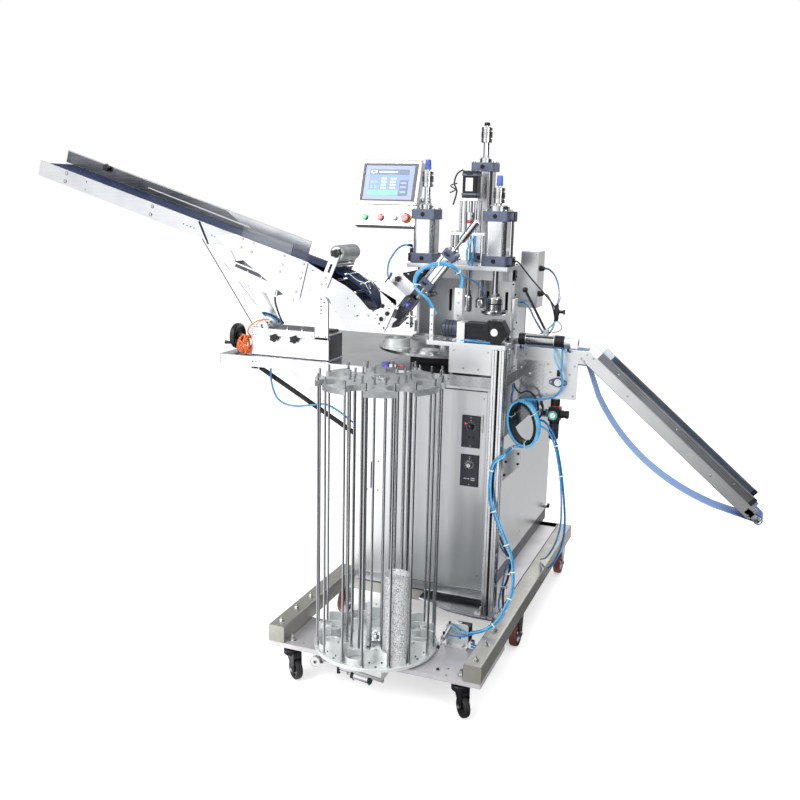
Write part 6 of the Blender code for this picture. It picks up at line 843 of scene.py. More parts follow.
def buildTable():
    top = newPiece("workTable")
    left, right, front, back, low, high = -0.81, 0.3, 0.4, 1.2, 1.01, 1.0497
    put(top, block((left, front, high - 0.004), (right, back, high)), sheetAlong, 0.0016)
    for a, b in (((left, front, low), (right, front + 0.004, high - 0.001)),
            ((left, back - 0.004, low), (right, back, high - 0.001)),
            ((left, front, low), (left + 0.004, back, high - 0.001)),
            ((right - 0.004, front, low), (right, back, high - 0.001))):
        put(top, block(a, b), sheetAlong, 0.0014)
    for a, b in (((left + 0.003, front + 0.003, low), (right - 0.003, front + 0.02, low + 0.0018)),
            ((left + 0.003, back - 0.02, low), (right - 0.003, back - 0.003, low + 0.0018)),
            ((left + 0.003, front + 0.003, low), (left + 0.02, back - 0.003, low + 0.0018))):
        put(top, block(a, b), sheetAlong, 0.0005)
    for x in (-0.53, -0.262, 0.238):
        put(top, block((x, front + 0.003, low + 0.0005), (x + 0.012, back - 0.003, high - 0.003)), sheetAlong,
            0.001)
    # holes of old fixings in the front edge, and weld marks at the corners
    for x, z, r in ((-0.666, 1.03, 0.0032), (-0.652, 1.031, 0.0026), (-0.638, 1.034, 0.002),
            (-0.02, 1.026, 0.0028), (0.11, 1.034, 0.0024)):
        put(top, disc(r, 0.0004, (x, front + 0.0001, z), (0, -1, 0), 16), deepShade)
    for x in (left + 0.001, right - 0.001):
        put(top, rod((x, front + 0.001, low + 0.002), (x, front + 0.001, high - 0.002), 0.0012, 10),
            zincPlate)
    # joint of the two table sheets and the screws of what stands on it
    put(top, block((-0.175, front + 0.004, high - 0.001), (-0.174, back - 0.02, high + 0.0002)), deepShade)
    for x, y in ((-0.72, 0.9), (-0.72, 1.12), (-0.32, 0.9), (-0.32, 1.12), (-0.24, 0.47), (-0.24, 1.15),
            (0.27, 0.44), (0.27, 0.56), (0.27, 1.15)):
        put(top, turned([(0, 0), (0.006, 0), (0.0052, 0.0016), (0, 0.0022)], (x, y, high - 0.0002), sides=20),
            zincPlate)
    ready(top, "brushed_stainless", "work_table")

    strut = newPiece("tableStrut")
    start, end = (-0.695, 0.998), (-0.2725, 0.77)
    put(strut, slab(start, end, 0.015, 0.012, 0.48), blackOxide, 0.001)
    put(strut, [block((-0.719, 0.48, 0.986), (-0.671, 0.484, 1.0454)),
        block((-0.719, 0.48, 1.0414), (-0.671, 0.504, 1.0454)), block((-0.2683, 0.465, 0.74),
        (-0.2643, 0.51, 0.8))], blackOxide, 0.0008)
    for x, z in ((-0.706, 0.996), (-0.684, 0.991)):
        put(strut, screw((x, 0.4805, z), (0, -1, 0), 0.0045), zincPlate)
    for y, z in ((0.48, 0.752), (0.5, 0.788)):
        put(strut, screw((-0.268, y, z), (-1, 0, 0), 0.004), zincPlate)
    ready(strut, "blackened_steel", "table_strut")

    # grooved aluminium extrusion, 45 mm
    x, y, size = 0.2965, 0.3765, 0.045
    half, low, high = size / 2, 0.1943, 1.1548
    profile = []
    for i in range(4):
        face = [(half, -half + 0.002), (half, -0.013), (half - 0.001, -0.012), (half, -0.011),
            (half, -0.0045), (half - 0.002, -0.0045), (half - 0.002, -0.0085), (half - 0.006, -0.0085),
            (half - 0.0078, -0.005), (half - 0.0078, 0.005), (half - 0.006, 0.0085), (half - 0.002, 0.0085),
            (half - 0.002, 0.0045), (half, 0.0045), (half, 0.011), (half - 0.001, 0.012), (half, 0.013),
            (half, half - 0.002)]
        angle = pi / 2 * i
        profile += [(x + a * cos(angle) - b * sin(angle), y + a * sin(angle) + b * cos(angle)) for a,
            b in face]
    post = newPiece("frontColumn")
    put(post, plate(profile, "Z", low, high), extrusion)
    for out in ((0, -1), (1, 0), (-1, 0), (0, 1)):
        a = Vector((x, y, 0)) + Vector((out[0], out[1], 0)) * (half - 0.0076)
        put(post, blockAt((a.x, a.y, (low + high) / 2), (0.0008 if out[0] else 0.009,
            0.0008 if out[1] else 0.009, high - low - 0.004)), deepShade)
    # angle brackets at the foot
    for side in (-1, 1):
        near = x + side * (half + 0.0003)
        put(post, [block((near, y - 0.016, low), (near + side * 0.004, y + 0.016, low + 0.034)),
            block((near, y - 0.016, low), (near + side * 0.026, y + 0.016, low + 0.004))], anodised, 0.001)
        put(post, [screw((near + side * 0.0035, y, low + 0.022), (side, 0, 0), 0.0045),
            screw((near + side * 0.015, y, low + 0.0037), (0, 0, 1), 0.0045)], zincPlate)
    ready(post, "anodised_aluminium", "column")

    support = newPiece("frontSupport")
    low, high = 1.1551, 1.1701
    put(support, block((0.04, 0.36, low), (0.319, 0.44, high)), anodised, 0.001)
    put(support, block((0.122, 0.36, low - 0.09), (0.2735, 0.368, low + 0.001)), anodised, 0.0008)
    put(support, block((0.046, 0.368, high - 0.001), (0.06, 0.382, high + 0.108)), anodised, 0.0012)
    put(support, rod((0.053, 0.375, high + 0.107), (0.053, 0.375, high + 0.1078), 0.004, 16), zincPlate)
    for a, b in (((0.053, 0.3685, high + 0.085), (0, -1, 0)), ((0.053, 0.3685, high + 0.015), (0, -1, 0)),
            ((0.09, 0.4, high - 0.0003), (0, 0, 1)), ((0.175, 0.3605, low - 0.072), (0, -1, 0)),
            ((0.228, 0.3605, low - 0.072), (0, -1, 0)), ((0.14, 0.3605, low - 0.012), (0, -1, 0)),
            ((0.26, 0.3605, low - 0.012), (0, -1, 0)), ((0.06, 0.43, high - 0.0003), (0, 0, 1)),
            ((0.25, 0.43, high - 0.0003), (0, 0, 1))):
        put(support, screw(a, b, 0.0036, 0.0028), zincPlate)
    for z in (high + 0.035, high + 0.055):
        put(support, disc(0.0025, 0.0003, (0.053, 0.3681, z), (0, -1, 0), 14), deepShade)
    ready(support, "anodised_aluminium", "front_support")


buildCabinet()
buildTable()

print("cup magazine")
magazine = {"x": -0.031, "y": 0.123, "discLow": 0.1397, "discTop": 0.1517, "rodTop": 1.0494, "rod": 0.0038,
    "stationRadius": 0.165, "pocket": 0.0463, "discRadius": 0.213}


def around(radius, degrees):
    return (magazine["x"] + radius * cos(radians(degrees)), magazine["y"] + radius * sin(radians(degrees)))


def rodPlaces():
    places = []
    for i in range(8):
        for radius, spread in ((0.204, 12.6), (0.1, 10.4)):
            places += [around(radius, 45 * i + 22.5 - spread), around(radius, 45 * i + 22.5 + spread)]
    return places


def buildMagazine():
    low, top = magazine["discLow"], magazine["discTop"]
    orbit, rimRadius = magazine["stationRadius"], magazine["discRadius"]
    rack = newPiece("magazineRack")
    rimLine = [(0.0, low), (0.2118, low), (rimRadius, low + 0.0012), (rimRadius, top - 0.0012), (0.2118, top),
        (0.0, top)]
    put(rack, turned([(r, z - low) for r, z in rimLine], (magazine["x"], magazine["y"], low), sides=128),
        paleDisc)
    for x, y in rodPlaces():
        put(rack, rod((x, y, top - 0.001), (x, y, magazine["rodTop"]), magazine["rod"], 20, edge=0.0005),
            satinBar)
        put(rack, solid([(0.0062, 0), (0.0062, 0.0045), (0.0054, 0.0055)], (x, y, top - 0.0002), sides=6),
            zincPlate)
    for i in range(8):
        x, y = around(orbit, 45 * i)
        # seat ring with a chamfered mouth
        put(rack, turned([(0.035, -0.001), (0.04, -0.001), (0.04, 0.0208), (0.039, 0.022), (0.0368, 0.022),
            (0.035, 0.0195)], (x, y, top), sides=56), paleDisc)
        put(rack, turned([(0.026, 0.0), (0.0345, 0.0), (0.0345, 0.0016), (0.026, 0.0016)], (x, y, top),
            sides=40), turnedSteel)
        # the curved wings between the stations
        lobe = 45 * i + 22.5
        reach, thick = magazine["pocket"], 0.008
        outline = ringPoints(around(orbit, lobe - 22.5), reach, 9, lobe - 22.5 + 52, lobe - 22.5 + 112)
        outline += ringPoints(around(orbit, lobe + 22.5), reach, 9, lobe + 22.5 - 112, lobe + 22.5 - 52)
        outline += ringPoints(around(orbit, lobe + 22.5), reach + thick, 3, lobe + 22.5 - 52,
            lobe + 22.5 - 70)
        outline += [around(orbit - thick, lobe)]
        outline += ringPoints(around(orbit, lobe - 22.5), reach + thick, 3, lobe - 22.5 + 70,
            lobe - 22.5 + 52)
        put(rack, plate(outline, "Z", top - 0.001, top + 0.048), paleDisc, 0.0007)
        for spread in (-9.0, 9.0):
            outward = Vector((cos(radians(lobe)), sin(radians(lobe)), 0))
            a, b = around(0.2065, lobe + spread * 0.62)
            put(rack, disc(0.0034, 0.0004, (a, b, top + 0.02), outward, 14), deepShade)
        a, b = around(0.176, lobe)
        put(rack, screw((a, b, top + 0.0479), (0, 0, 1), 0.0042, 0.004), zincPlate)
        a, b = around(0.196, lobe)
        put(rack, disc(0.0045, 0.0005, (a, b, top - 0.0001), sides=18), deepShade)
    # stop bar with a round head, bolted to the disc
    rounded = [(-0.038, top - 0.001), (-0.022, top - 0.001)] + ringPoints((-0.03, top + 0.157), 0.008, 10, 0,
        180)
    put(rack, plate(rounded, "Y", 0.057, 0.063), paleDisc, 0.0008)
    put(rack, block((-0.046, 0.057, top - 0.001), (-0.014, 0.076, top + 0.006)), sheetAlong, 0.0008)
    for x in (-0.041, -0.019):
        put(rack, screw((x, 0.069, top + 0.0058), (0, 0, 1), 0.0032), zincPlate)
    for z in (0.03, 0.12):
        put(rack, screw((-0.03, 0.0572, top + z), (0, -1, 0), 0.003), zincPlate)
    put(rack, solid([(0.034, 0), (0.034, 0.01), (0.032, 0.012)], (magazine["x"], magazine["y"], top - 0.0005),
        sides=48), turnedSteel)
    put(rack, hexNut((magazine["x"], magazine["y"], top + 0.0112), (0, 0, 1), 0.012, 0.009, 0.01), zincPlate)
    ready(rack, "ground_steel", "magazine_rods", body="cup_carousel")

    lid = newPiece("magazineTopDisc")
    low = magazine["rodTop"] + 0.0003
    rim = degrees(asin(0.0305 / rimRadius))
    mouth = degrees(asin(0.0305 / magazine["pocket"]))
    outline = []
    for i in range(8):
        station = 45 * i
        outline.append(around(rimRadius, station - rim))
        outline += ringPoints(around(orbit, station), magazine["pocket"], 26, station - mouth,
            station - 360 + mouth)
        outline += [around(rimRadius, station + rim + (45 - 2 * rim) * k / 8) for k in range(8)]
    put(lid, plate(outline, "Z", low, low + 0.02, [(around(0.06, 45 * i + 22.5), 0.003) for i in range(8)]),
        discTop, 0.0008)
    for x, y in rodPlaces():
        put(lid, solid([(0.0062, 0), (0.0062, 0.0012), (0.0036, 0.0014), (0.0036, 0.0235), (0.003, 0.0243)],
            (x, y, low + 0.0196), sides=18), satinBar)
    put(lid, solid([(0.03, 0), (0.03, 0.006), (0.028, 0.008), (0.012, 0.008), (0.012, 0.004)],
        (magazine["x"], magazine["y"], low + 0.0195), sides=48), turnedSteel)
    ready(lid, "anodised_aluminium", "magazine_top_disc", body="cup_carousel")

    # nested foil cups: many thin rims, each a little out of true, with crinkled skirts
    cups = newPiece("foilCupStack")
    x, y = around(orbit, 315)
    base, count, height = top + 0.0205, 47, 0.2848
    shape = bmesh.new()
    sides, loops = 72, []
    for i in range(count):
        z = base + height * i / count
        lean = (random.uniform(-0.0003, 0.0003), random.uniform(-0.0003, 0.0003))
        for share, radius in ((0.0, 0.0403), (0.55, 0.0412), (0.62, 0.0421), (0.8, 0.0421), (0.86, 0.0409)):
            ring = []
            for k in range(sides):
                angle = tau * k / sides
                ripple = 0.00045 * cos(angle * 24 + i) if radius < 0.0415 else 0.0002 * random.uniform(-1, 1)
                ring.append(shape.verts.new((x + lean[0] + (radius + ripple) * cos(angle),
                    y + lean[1] + (radius + ripple) * sin(angle), z + height / count * share)))
            loops.append(ring)
    top = base + height
    for z, radius in ((0.0, 0.0421), (0.0008, 0.0424), (0.0014, 0.0415), (0.0008, 0.0385), (-0.01, 0.033),
            (-0.015, 0.029), (-0.0155, 0.024)):
        loops.append([shape.verts.new((x + radius * cos(tau * k / sides), y + radius * sin(tau * k / sides),
            top + z + (0.0006 * cos(24 * tau * k / sides) if 0.028 < radius < 0.04 else 0)))
            for k in range(sides)])
    for lower, upper in zip(loops, loops[1:]):
        for k in range(sides):
            shape.faces.new((lower[k - 1], lower[k], upper[k], upper[k - 1]))
    shape.faces.new(loops[-1])
    shape.faces.new(loops[0][::-1])
    put(cups, shape, crinkledFoil)
    ready(cups, "crinkled_foil", "cup_stack", body="cup_carousel")


def buildLock():
    base = 0.134
    hinge, ball = Vector((0.206, 0.226, 0.205)), Vector((0.191, 0.139, 0.161))
    lock = newPiece("magazineLock")
    back, front = 0.224, 0.218
    put(lock, [plate([(0.1925, base), (0.272, base), (0.272, base + 0.078), (0.265, base + 0.085),
        (0.2055, base + 0.085), (0.1925, base + 0.072)], "Y", front, back,
        [((0.243, base + 0.062), 0.004), ((0.243, base + 0.035), 0.004)]),
        block((0.1925, front - 0.017, base), (0.272, back, base + 0.006))], anodised, 0.0008)
    for x in (0.205, 0.257):
        put(lock, screw((x, front - 0.009, base + 0.0058), (0, 0, 1), 0.0038), zincPlate)
    high = base + 0.079
    put(lock, block((0.222, back - 0.001, high - 0.058), (0.275, back + 0.034, high)), mouldedAbs, 0.0025)
    put(lock, block((0.224, back + 0.004, high - 0.012), (0.2752, back + 0.03, high - 0.01)), deepShade)
    put(lock, block((0.222, back + 0.008, high - 0.0005), (0.24, back + 0.026, high + 0.0005)), anodised,
        0.0004)
    # air lock: barrel, ends, rod and ball tip
    mid = hinge.lerp(ball, 0.62)
    put(lock, rod(hinge, mid, 0.0085, 32), extrusion)
    for a, b in ((0.0, 0.1), (0.52, 0.62)):
        put(lock, rod(hinge.lerp(ball, a), hinge.lerp(ball, b), 0.009, 32), anodised)
    put(lock, rod(hinge.lerp(ball, 0.6), ball, 0.0038, 20), chromedBar)
    put(lock, ballAt(ball, 0.0064), mouldedAbs)
    put(lock, hexNut(hinge.lerp(ball, 0.63), (ball - hinge).normalized(), 0.0072, 0.004), zincPlate)
    for share in (0.08, 0.56):
        spot = hinge.lerp(ball, share) + Vector((0, 0, 0.0075))
        put(lock, rod(spot, spot + Vector((0, 0, 0.006)), 0.003, 16), zincPlate)
        put(lock, rod(spot + Vector((0, 0, 0.005)), spot + Vector((0, 0, 0.013)), 0.0042, 20), mouldedAbs)
    ready(lock, "black_plastic", "magazine_lock")

    slide = newPiece("underSlide")
    y, half, top = 0.014, 0.005, 0.1167
    lowLeft, lowRight = Vector((-0.202, y, 0.091)), Vector((0.045, y, 0.065))
    put(slide, slab((-0.202, 0.091), (0.045, 0.065), 0.01, 0.01, y - half), anodised, 0.001)
    put(slide, block((-0.207, y - half, 0.081), (-0.176, y + half, top)), anodised, 0.0012)
    put(slide, plate([(0.037, top), (0.0734, top), (0.037, 0.06)], "Y", y - half, y + 0.008), anodised, 0.001)
    along = (lowRight - lowLeft).normalized()
    start = lowLeft.lerp(lowRight, 0.52) + Vector((0, 0, -0.013))
    put(slide, rod(start, start + along * 0.075, 0.0125, 36), extrusion)
    for a, b in ((0.0, 0.012), (0.063, 0.075)):
        put(slide, rod(start + along * a, start + along * b, 0.013, 36), mouldedAbs)
    put(slide, rod(start - along * 0.052, start + along * 0.001, 0.0041, 20), chromedBar)
    put(slide, hexNut(start - along * 0.01, -along, 0.0075, 0.005), zincPlate)
    put(slide, block((start.x - 0.052, y - half, start.z - 0.006), (start.x - 0.042, y + half, 0.091)),
        blackOxide, 0.0008)
    pinFront = y - half - 0.014
    put(slide, [rod((-0.202, pinFront, 0.091), (-0.202, y, 0.091), 0.0048),
        hexNut((-0.202, pinFront + 0.001, 0.091), (0, -1, 0), 0.0075, 0.001)], zincPlate)
    for x, z in ((-0.19, 0.108), (-0.188, 0.098), (0.046, 0.108), (0.058, 0.112)):
        put(slide, screw((x, y - half + 0.0002, z), (0, -1, 0), 0.0028, 0.0022), zincPlate)
    for a in (0.008, 0.066):
        spot = start + along * a + Vector((0, 0, -0.012))
        put(slide, rod(spot, spot - Vector((0, 0, 0.007)), 0.0036, 16), blueHose)
    ready(slide, "blackened_steel", "under_slide")
    roller = newPiece("guideRoller")
    put(roller, turned([(0.0053, 0), (0.0075, 0), (0.008, 0.0012), (0.0165, 0.0012), (0.0172, 0), (0.0186, 0),
        (0.019, 0.0006), (0.019, 0.0114), (0.0186, 0.012), (0.0172, 0.012), (0.0165, 0.0108), (0.008, 0.0108),
        (0.0075, 0.012), (0.0053, 0.012)], (-0.202, pinFront + 0.001, 0.091), (0, 1, 0), 56), chromedBar)
    ready(roller, "ground_steel", "guide_roller", body="guide_roller")


buildMagazine()
buildLock()

print("turntable and presses")
turnPlace = {"x": 0.015, "y": 0.65, "low": 1.1, "top": 1.11}
pressPlaces = {"left": (-0.126, 0.791), "right": (0.156, 0.791), "rear": (0.0366, 1.005)}


def buildTurntable():
    x, y = turnPlace["x"], turnPlace["y"]
    base, flange = 1.05, 1.0897
    drive = newPiece("indexer")
    put(drive, blockAt((x, y, base + 0.01985), (0.21, 0.2, 0.0397)), blackOxide, 0.003)
    put(drive, solid([(0.0595, 0), (0.06, 0.0005), (0.06, 0.0095), (0.0595, 0.01)], (x, y, flange - 0.0001),
        sides=64), turnedSteel)
    # proximity switch and its bracket, in front of the cam box
    put(drive, block((x - 0.165, y - 0.226, base), (x - 0.14, y - 0.206, base + 0.017)), sensorBlue, 0.0015)
    put(drive, block((x - 0.139, y - 0.222, base), (x - 0.112, y - 0.204, base + 0.012)), anodised, 0.001)
    put(drive, rod((x - 0.112, y - 0.213, base + 0.007), (x - 0.085, y - 0.213, base + 0.007), 0.0035, 16),
        redCap)
    for dx, dy, high in ((-0.04, -0.215, 0.03), (-0.026, -0.208, 0.018), (0.06, -0.212, 0.022),
            (0.09, -0.2, 0.03)):
        put(drive, rod((x + dx, y + dy, base), (x + dx, y + dy, base + high), 0.0055, 20), satinBar)
        put(drive, hexNut((x + dx, y + dy, base), (0, 0, 1), 0.01, 0.006), zincPlate)
    put(drive, rod((x - 0.135, y, base + 0.01985), (x - 0.104, y, base + 0.01985), 0.0132, 32), turnedSteel)
    for a, b in fourCorners(1):
        put(drive, screw((x + a * 0.095, y + b * 0.09, base + 0.0394), (0, 0, 1), 0.005), zincPlate)
    ready(drive, "blackened_steel", "indexer")

    table = newPiece("turntable")
    low, top = turnPlace["low"], turnPlace["top"]
    put(table, solid([(0.2488, 0), (0.25, 0.0012), (0.25, 0.0088), (0.2488, 0.01)], (x, y, low), sides=144),
        sheetAlong)
    put(table, solid([(0.045, -0.001), (0.045, 0.0105), (0.0435, 0.012), (0.03, 0.012), (0.029, 0.0105),
        (0.012, 0.0105), (0.012, 0.012)], (x, y, top), sides=64), turnedSteel)
    for i in range(4):
        angle = radians(45 + 90 * i)
        put(table, screw((x + 0.0365 * cos(angle), y + 0.0365 * sin(angle), top + 0.0118), (0, 0, 1), 0.004,
            0.003), zincPlate)
    for i in range(8):
        angle = tau * i / 8
        place = (x + 0.2 * cos(angle), y + 0.2 * sin(angle), top)
        if i == 5:
            put(table, solid([(0.052, -0.001), (0.052, 0.004), (0.0505, 0.0055), (0.048, 0.0065),
                (0.048, 0.018), (0.047, 0.019), (0.048, 0.02), (0.048, 0.036), (0.0465, 0.038),
                (0.0358, 0.038), (0.034, 0.036), (0.0256, 0.002)], place, sides=72), paleDisc)
        else:
            put(table, solid([(0.05, -0.001), (0.05, 0.0034), (0.0492, 0.004), (0.0432, 0.0048),
                (0.043, 0.011), (0.042, 0.012), (0.0366, 0.012), (0.035, 0.0108), (0.0256, 0.002)], place,
                sides=64), anodised)
        for k in range(2):
            turn = angle + pi * k + pi / 2
            put(table, screw((place[0] + 0.0465 * cos(turn), place[1] + 0.0465 * sin(turn),
                top + (0.0052 if i == 5 else 0.0036)), (0, 0, 1), 0.0026, 0.002), zincPlate)
    for i in range(8):
        angle = tau * (i + 0.5) / 8
        put(table, disc(0.0055, 0.0004, (x + 0.15 * cos(angle), y + 0.15 * sin(angle), top), sides=20),
            deepShade)
    ready(table, "brushed_stainless", "turntable", body="turntable")


def buildPressFrame():
    house = newPiece("pressFrame")
    left, right, front, back, wall = -0.184, 0.213, 0.74, 1.062, 0.012
    base, low, top = 1.05, 1.3857, 1.4017
    holes = [(spot, 0.0127) for spot in pressPlaces.values()] + [((0.03, 0.85), 0.0092)]
    put(house, plate([(left, front), (right, front), (right, back), (left, back)], "Z", low, top, holes),
        anodised, 0.0012)
    for a in (left, right - wall):
        put(house, block((a, 0.862, base), (a + wall, back, low + 0.0005)), anodised, 0.0012)
    # back wall with four upright slots
    slots = [left + 0.0794 * (i + 1) for i in range(4)]
    edges = [left] + [e for s in slots for e in (s - 0.006, s + 0.006)] + [right]
    for a, b in zip(edges[::2], edges[1::2]):
        put(house, block((a, back - wall, base + 0.139), (b, back, base + 0.231)), sheetUpright)
    put(house, block((left + 0.05, back - 0.004, base + 0.138), (right - 0.05, back - 0.0032, base + 0.232)),
        deepShade)
    put(house, [block((left, back - wall, base), (right, back, base + 0.14)),
        block((left, back - wall, base + 0.23), (right, back, low + 0.0005))], sheetUpright, 0.0012)
    put(house, block((left, 0.862, base + 0.29), (right, 0.882, low + 0.001)), anodised, 0.0012)
    for px, py in ((left + 0.02, 0.752), (right - 0.02, 0.752), (left + 0.006, 0.9), (left + 0.006, 1.02),
            (right - 0.006, 0.9), (right - 0.006, 1.02), (-0.06, 0.757), (0.09, 0.757), (-0.07, 1.045),
            (0.12, 1.045)):
        put(house, screw((px, py, top - 0.0003), (0, 0, 1), 0.0045, 0.0045), blackOxide)
    for z in (1.08, 1.18, 1.29, 1.36):
        for sign, a in ((-1, left), (1, right)):
            put(house, screw((a - sign * 0.0003, 0.874, z), (sign, 0, 0), 0.004, 0.0035), blackOxide)
    for a in (left, right - wall):
        for z in (1.075, 1.33):
            put(house, screw((a + wall / 2, 0.8625, z), (0, -1, 0), 0.0035, 0.003), blackOxide)
    # electrical box at the right, with cable glands
    boxLow, boxTop, boxRight, boxFront, boxBack = 1.235, 1.453, 0.283, 0.942, 1.042
    put(house, block((right - 0.001, boxFront, boxLow), (boxRight, boxBack, boxTop)), sheetUpright, 0.0025)
    put(house, block((right + 0.004, boxFront - 0.0016, boxLow + 0.005),
        (boxRight - 0.004, boxFront + 0.001, boxTop - 0.005)), sheetUpright, 0.0006)
    for px, z in ((right + 0.01, boxTop - 0.012), (boxRight - 0.01, boxTop - 0.012),
            (right + 0.01, boxLow + 0.012), (boxRight - 0.01, boxLow + 0.012)):
        put(house, turned([(0, 0), (0.003, 0), (0.0026, 0.0012), (0, 0.0014)], (px, boxFront - 0.0014, z),
            (0, -1, 0), 14), zincPlate)
    for share in (0.25, 0.7):
        z, y = boxLow + 0.218 * share, boxBack - 0.07
        put(house, [disc(0.0115, 0.004, (boxRight - 0.0005, y, z), (1, 0, 0), 6),
            solid([(0.01, 0), (0.0105, 0.002), (0.0095, 0.01), (0.007, 0.014), (0.0045, 0.0145)],
            (boxRight + 0.0033, y, z), (1, 0, 0), 24)], mouldedAbs)
    # screen arm
    axisY, axisZ = 0.92166, 1.63333
    px = left + 0.012
    put(house, block((px - 0.012, axisY - 0.012, top - 0.001), (px + 0.012, axisY + 0.012, axisZ + 0.012)),
        anodised, 0.0015)
    put(house, rod((-0.3515, axisY, axisZ), (px - 0.01, axisY, axisZ), 0.0125, 40, edge=0.0015), chromedBar)
    for z in (top + 0.012, axisZ - 0.016):
        put(house, screw((px - 0.0117, axisY, z), (-1, 0, 0), 0.0034, 0.003), zincPlate)
    put(house, block((px - 0.02, axisY - 0.02, top - 0.0005), (px + 0.02, axisY + 0.02, top + 0.005)),
        anodised, 0.0008)
    ready(house, "brushed_stainless", "press_frame")


def cylinderBody(piece, x, y, base, cap, capHeight, barrel, barrelHeight):
    low, high = base + capHeight, base + capHeight + barrelHeight
    top = high + capHeight
    put(piece, plate(softSquare((x, y), barrel, 0.018, 10), "Z", low - 0.0005, high + 0.0005), extrusion)
    # grooves of the profile barrel, in its back and its right side
    inside, outside = barrel / 2 - 0.0004, barrel / 2 + 0.0003
    for offset in (-barrel * 0.32, barrel * 0.32):
        put(piece, [block((x + offset - 0.0012, y + inside, low), (x + offset + 0.0012, y + outside, high)),
            block((x + inside, y + offset - 0.0012, low), (x + outside, y + offset + 0.0012, high))],
            deepShade)
    for bottom in (base, high):
        put(piece, plate(softSquare((x, y), cap, 0.008, 5), "Z", bottom, bottom + capHeight), capEnamel,
            0.0016)
        put(piece, solid([(0.0085, 0), (0.0085, 0.0012), (0.0062, 0.0014)],
            (x, y - cap / 2 + 0.0003, bottom + capHeight / 2), (0, -1, 0), 24), deepShade)
    for side in (-1, 1):
        put(piece, rod((x + side * barrel * 0.36, y - barrel / 2 + 0.003, low),
            (x + side * barrel * 0.36, y - barrel / 2 + 0.003, high), 0.0042, 16), satinBar)
    tie = cap / 2 - 0.01
    for a, b in fourCorners(1):
        put(piece, screw((x + a * tie, y + b * tie, top - 0.0004), (0, 0, 1), 0.0052, 0.006), zincPlate)
    put(piece, turned([(0.0122, 0), (0.0235, 0), (0.0235, 0.015), (0.022, 0.0165), (0.02, 0.02),
        (0.0122, 0.02)], (x, y, top - 0.0003), sides=48), turnedSteel)
    return top


def elbow(piece, start, way, turnTo, hose=None, radius=0.0052):
    # push-in air fitting: hex, black body and release ring
    start, way = Vector(start), Vector(way).normalized()
    put(piece, hexNut(start, way, radius * 1.15, 0.005), zincPlate)
    corner = start + way * 0.012
    put(piece, rod(start + way * 0.0045, corner + way * radius * 0.5, radius, 20), mouldedAbs)
    if turnTo is not None:
        turnTo = Vector(turnTo).normalized()
        put(piece, rod(corner - way * 0.0005, corner + turnTo * 0.013, radius * 0.98, 20), mouldedAbs)
        put(piece, rod(corner + turnTo * 0.0125, corner + turnTo * 0.0155, radius * 1.1, 20),
            hose or deepHose)
        return corner + turnTo * 0.013, turnTo
    return corner, way


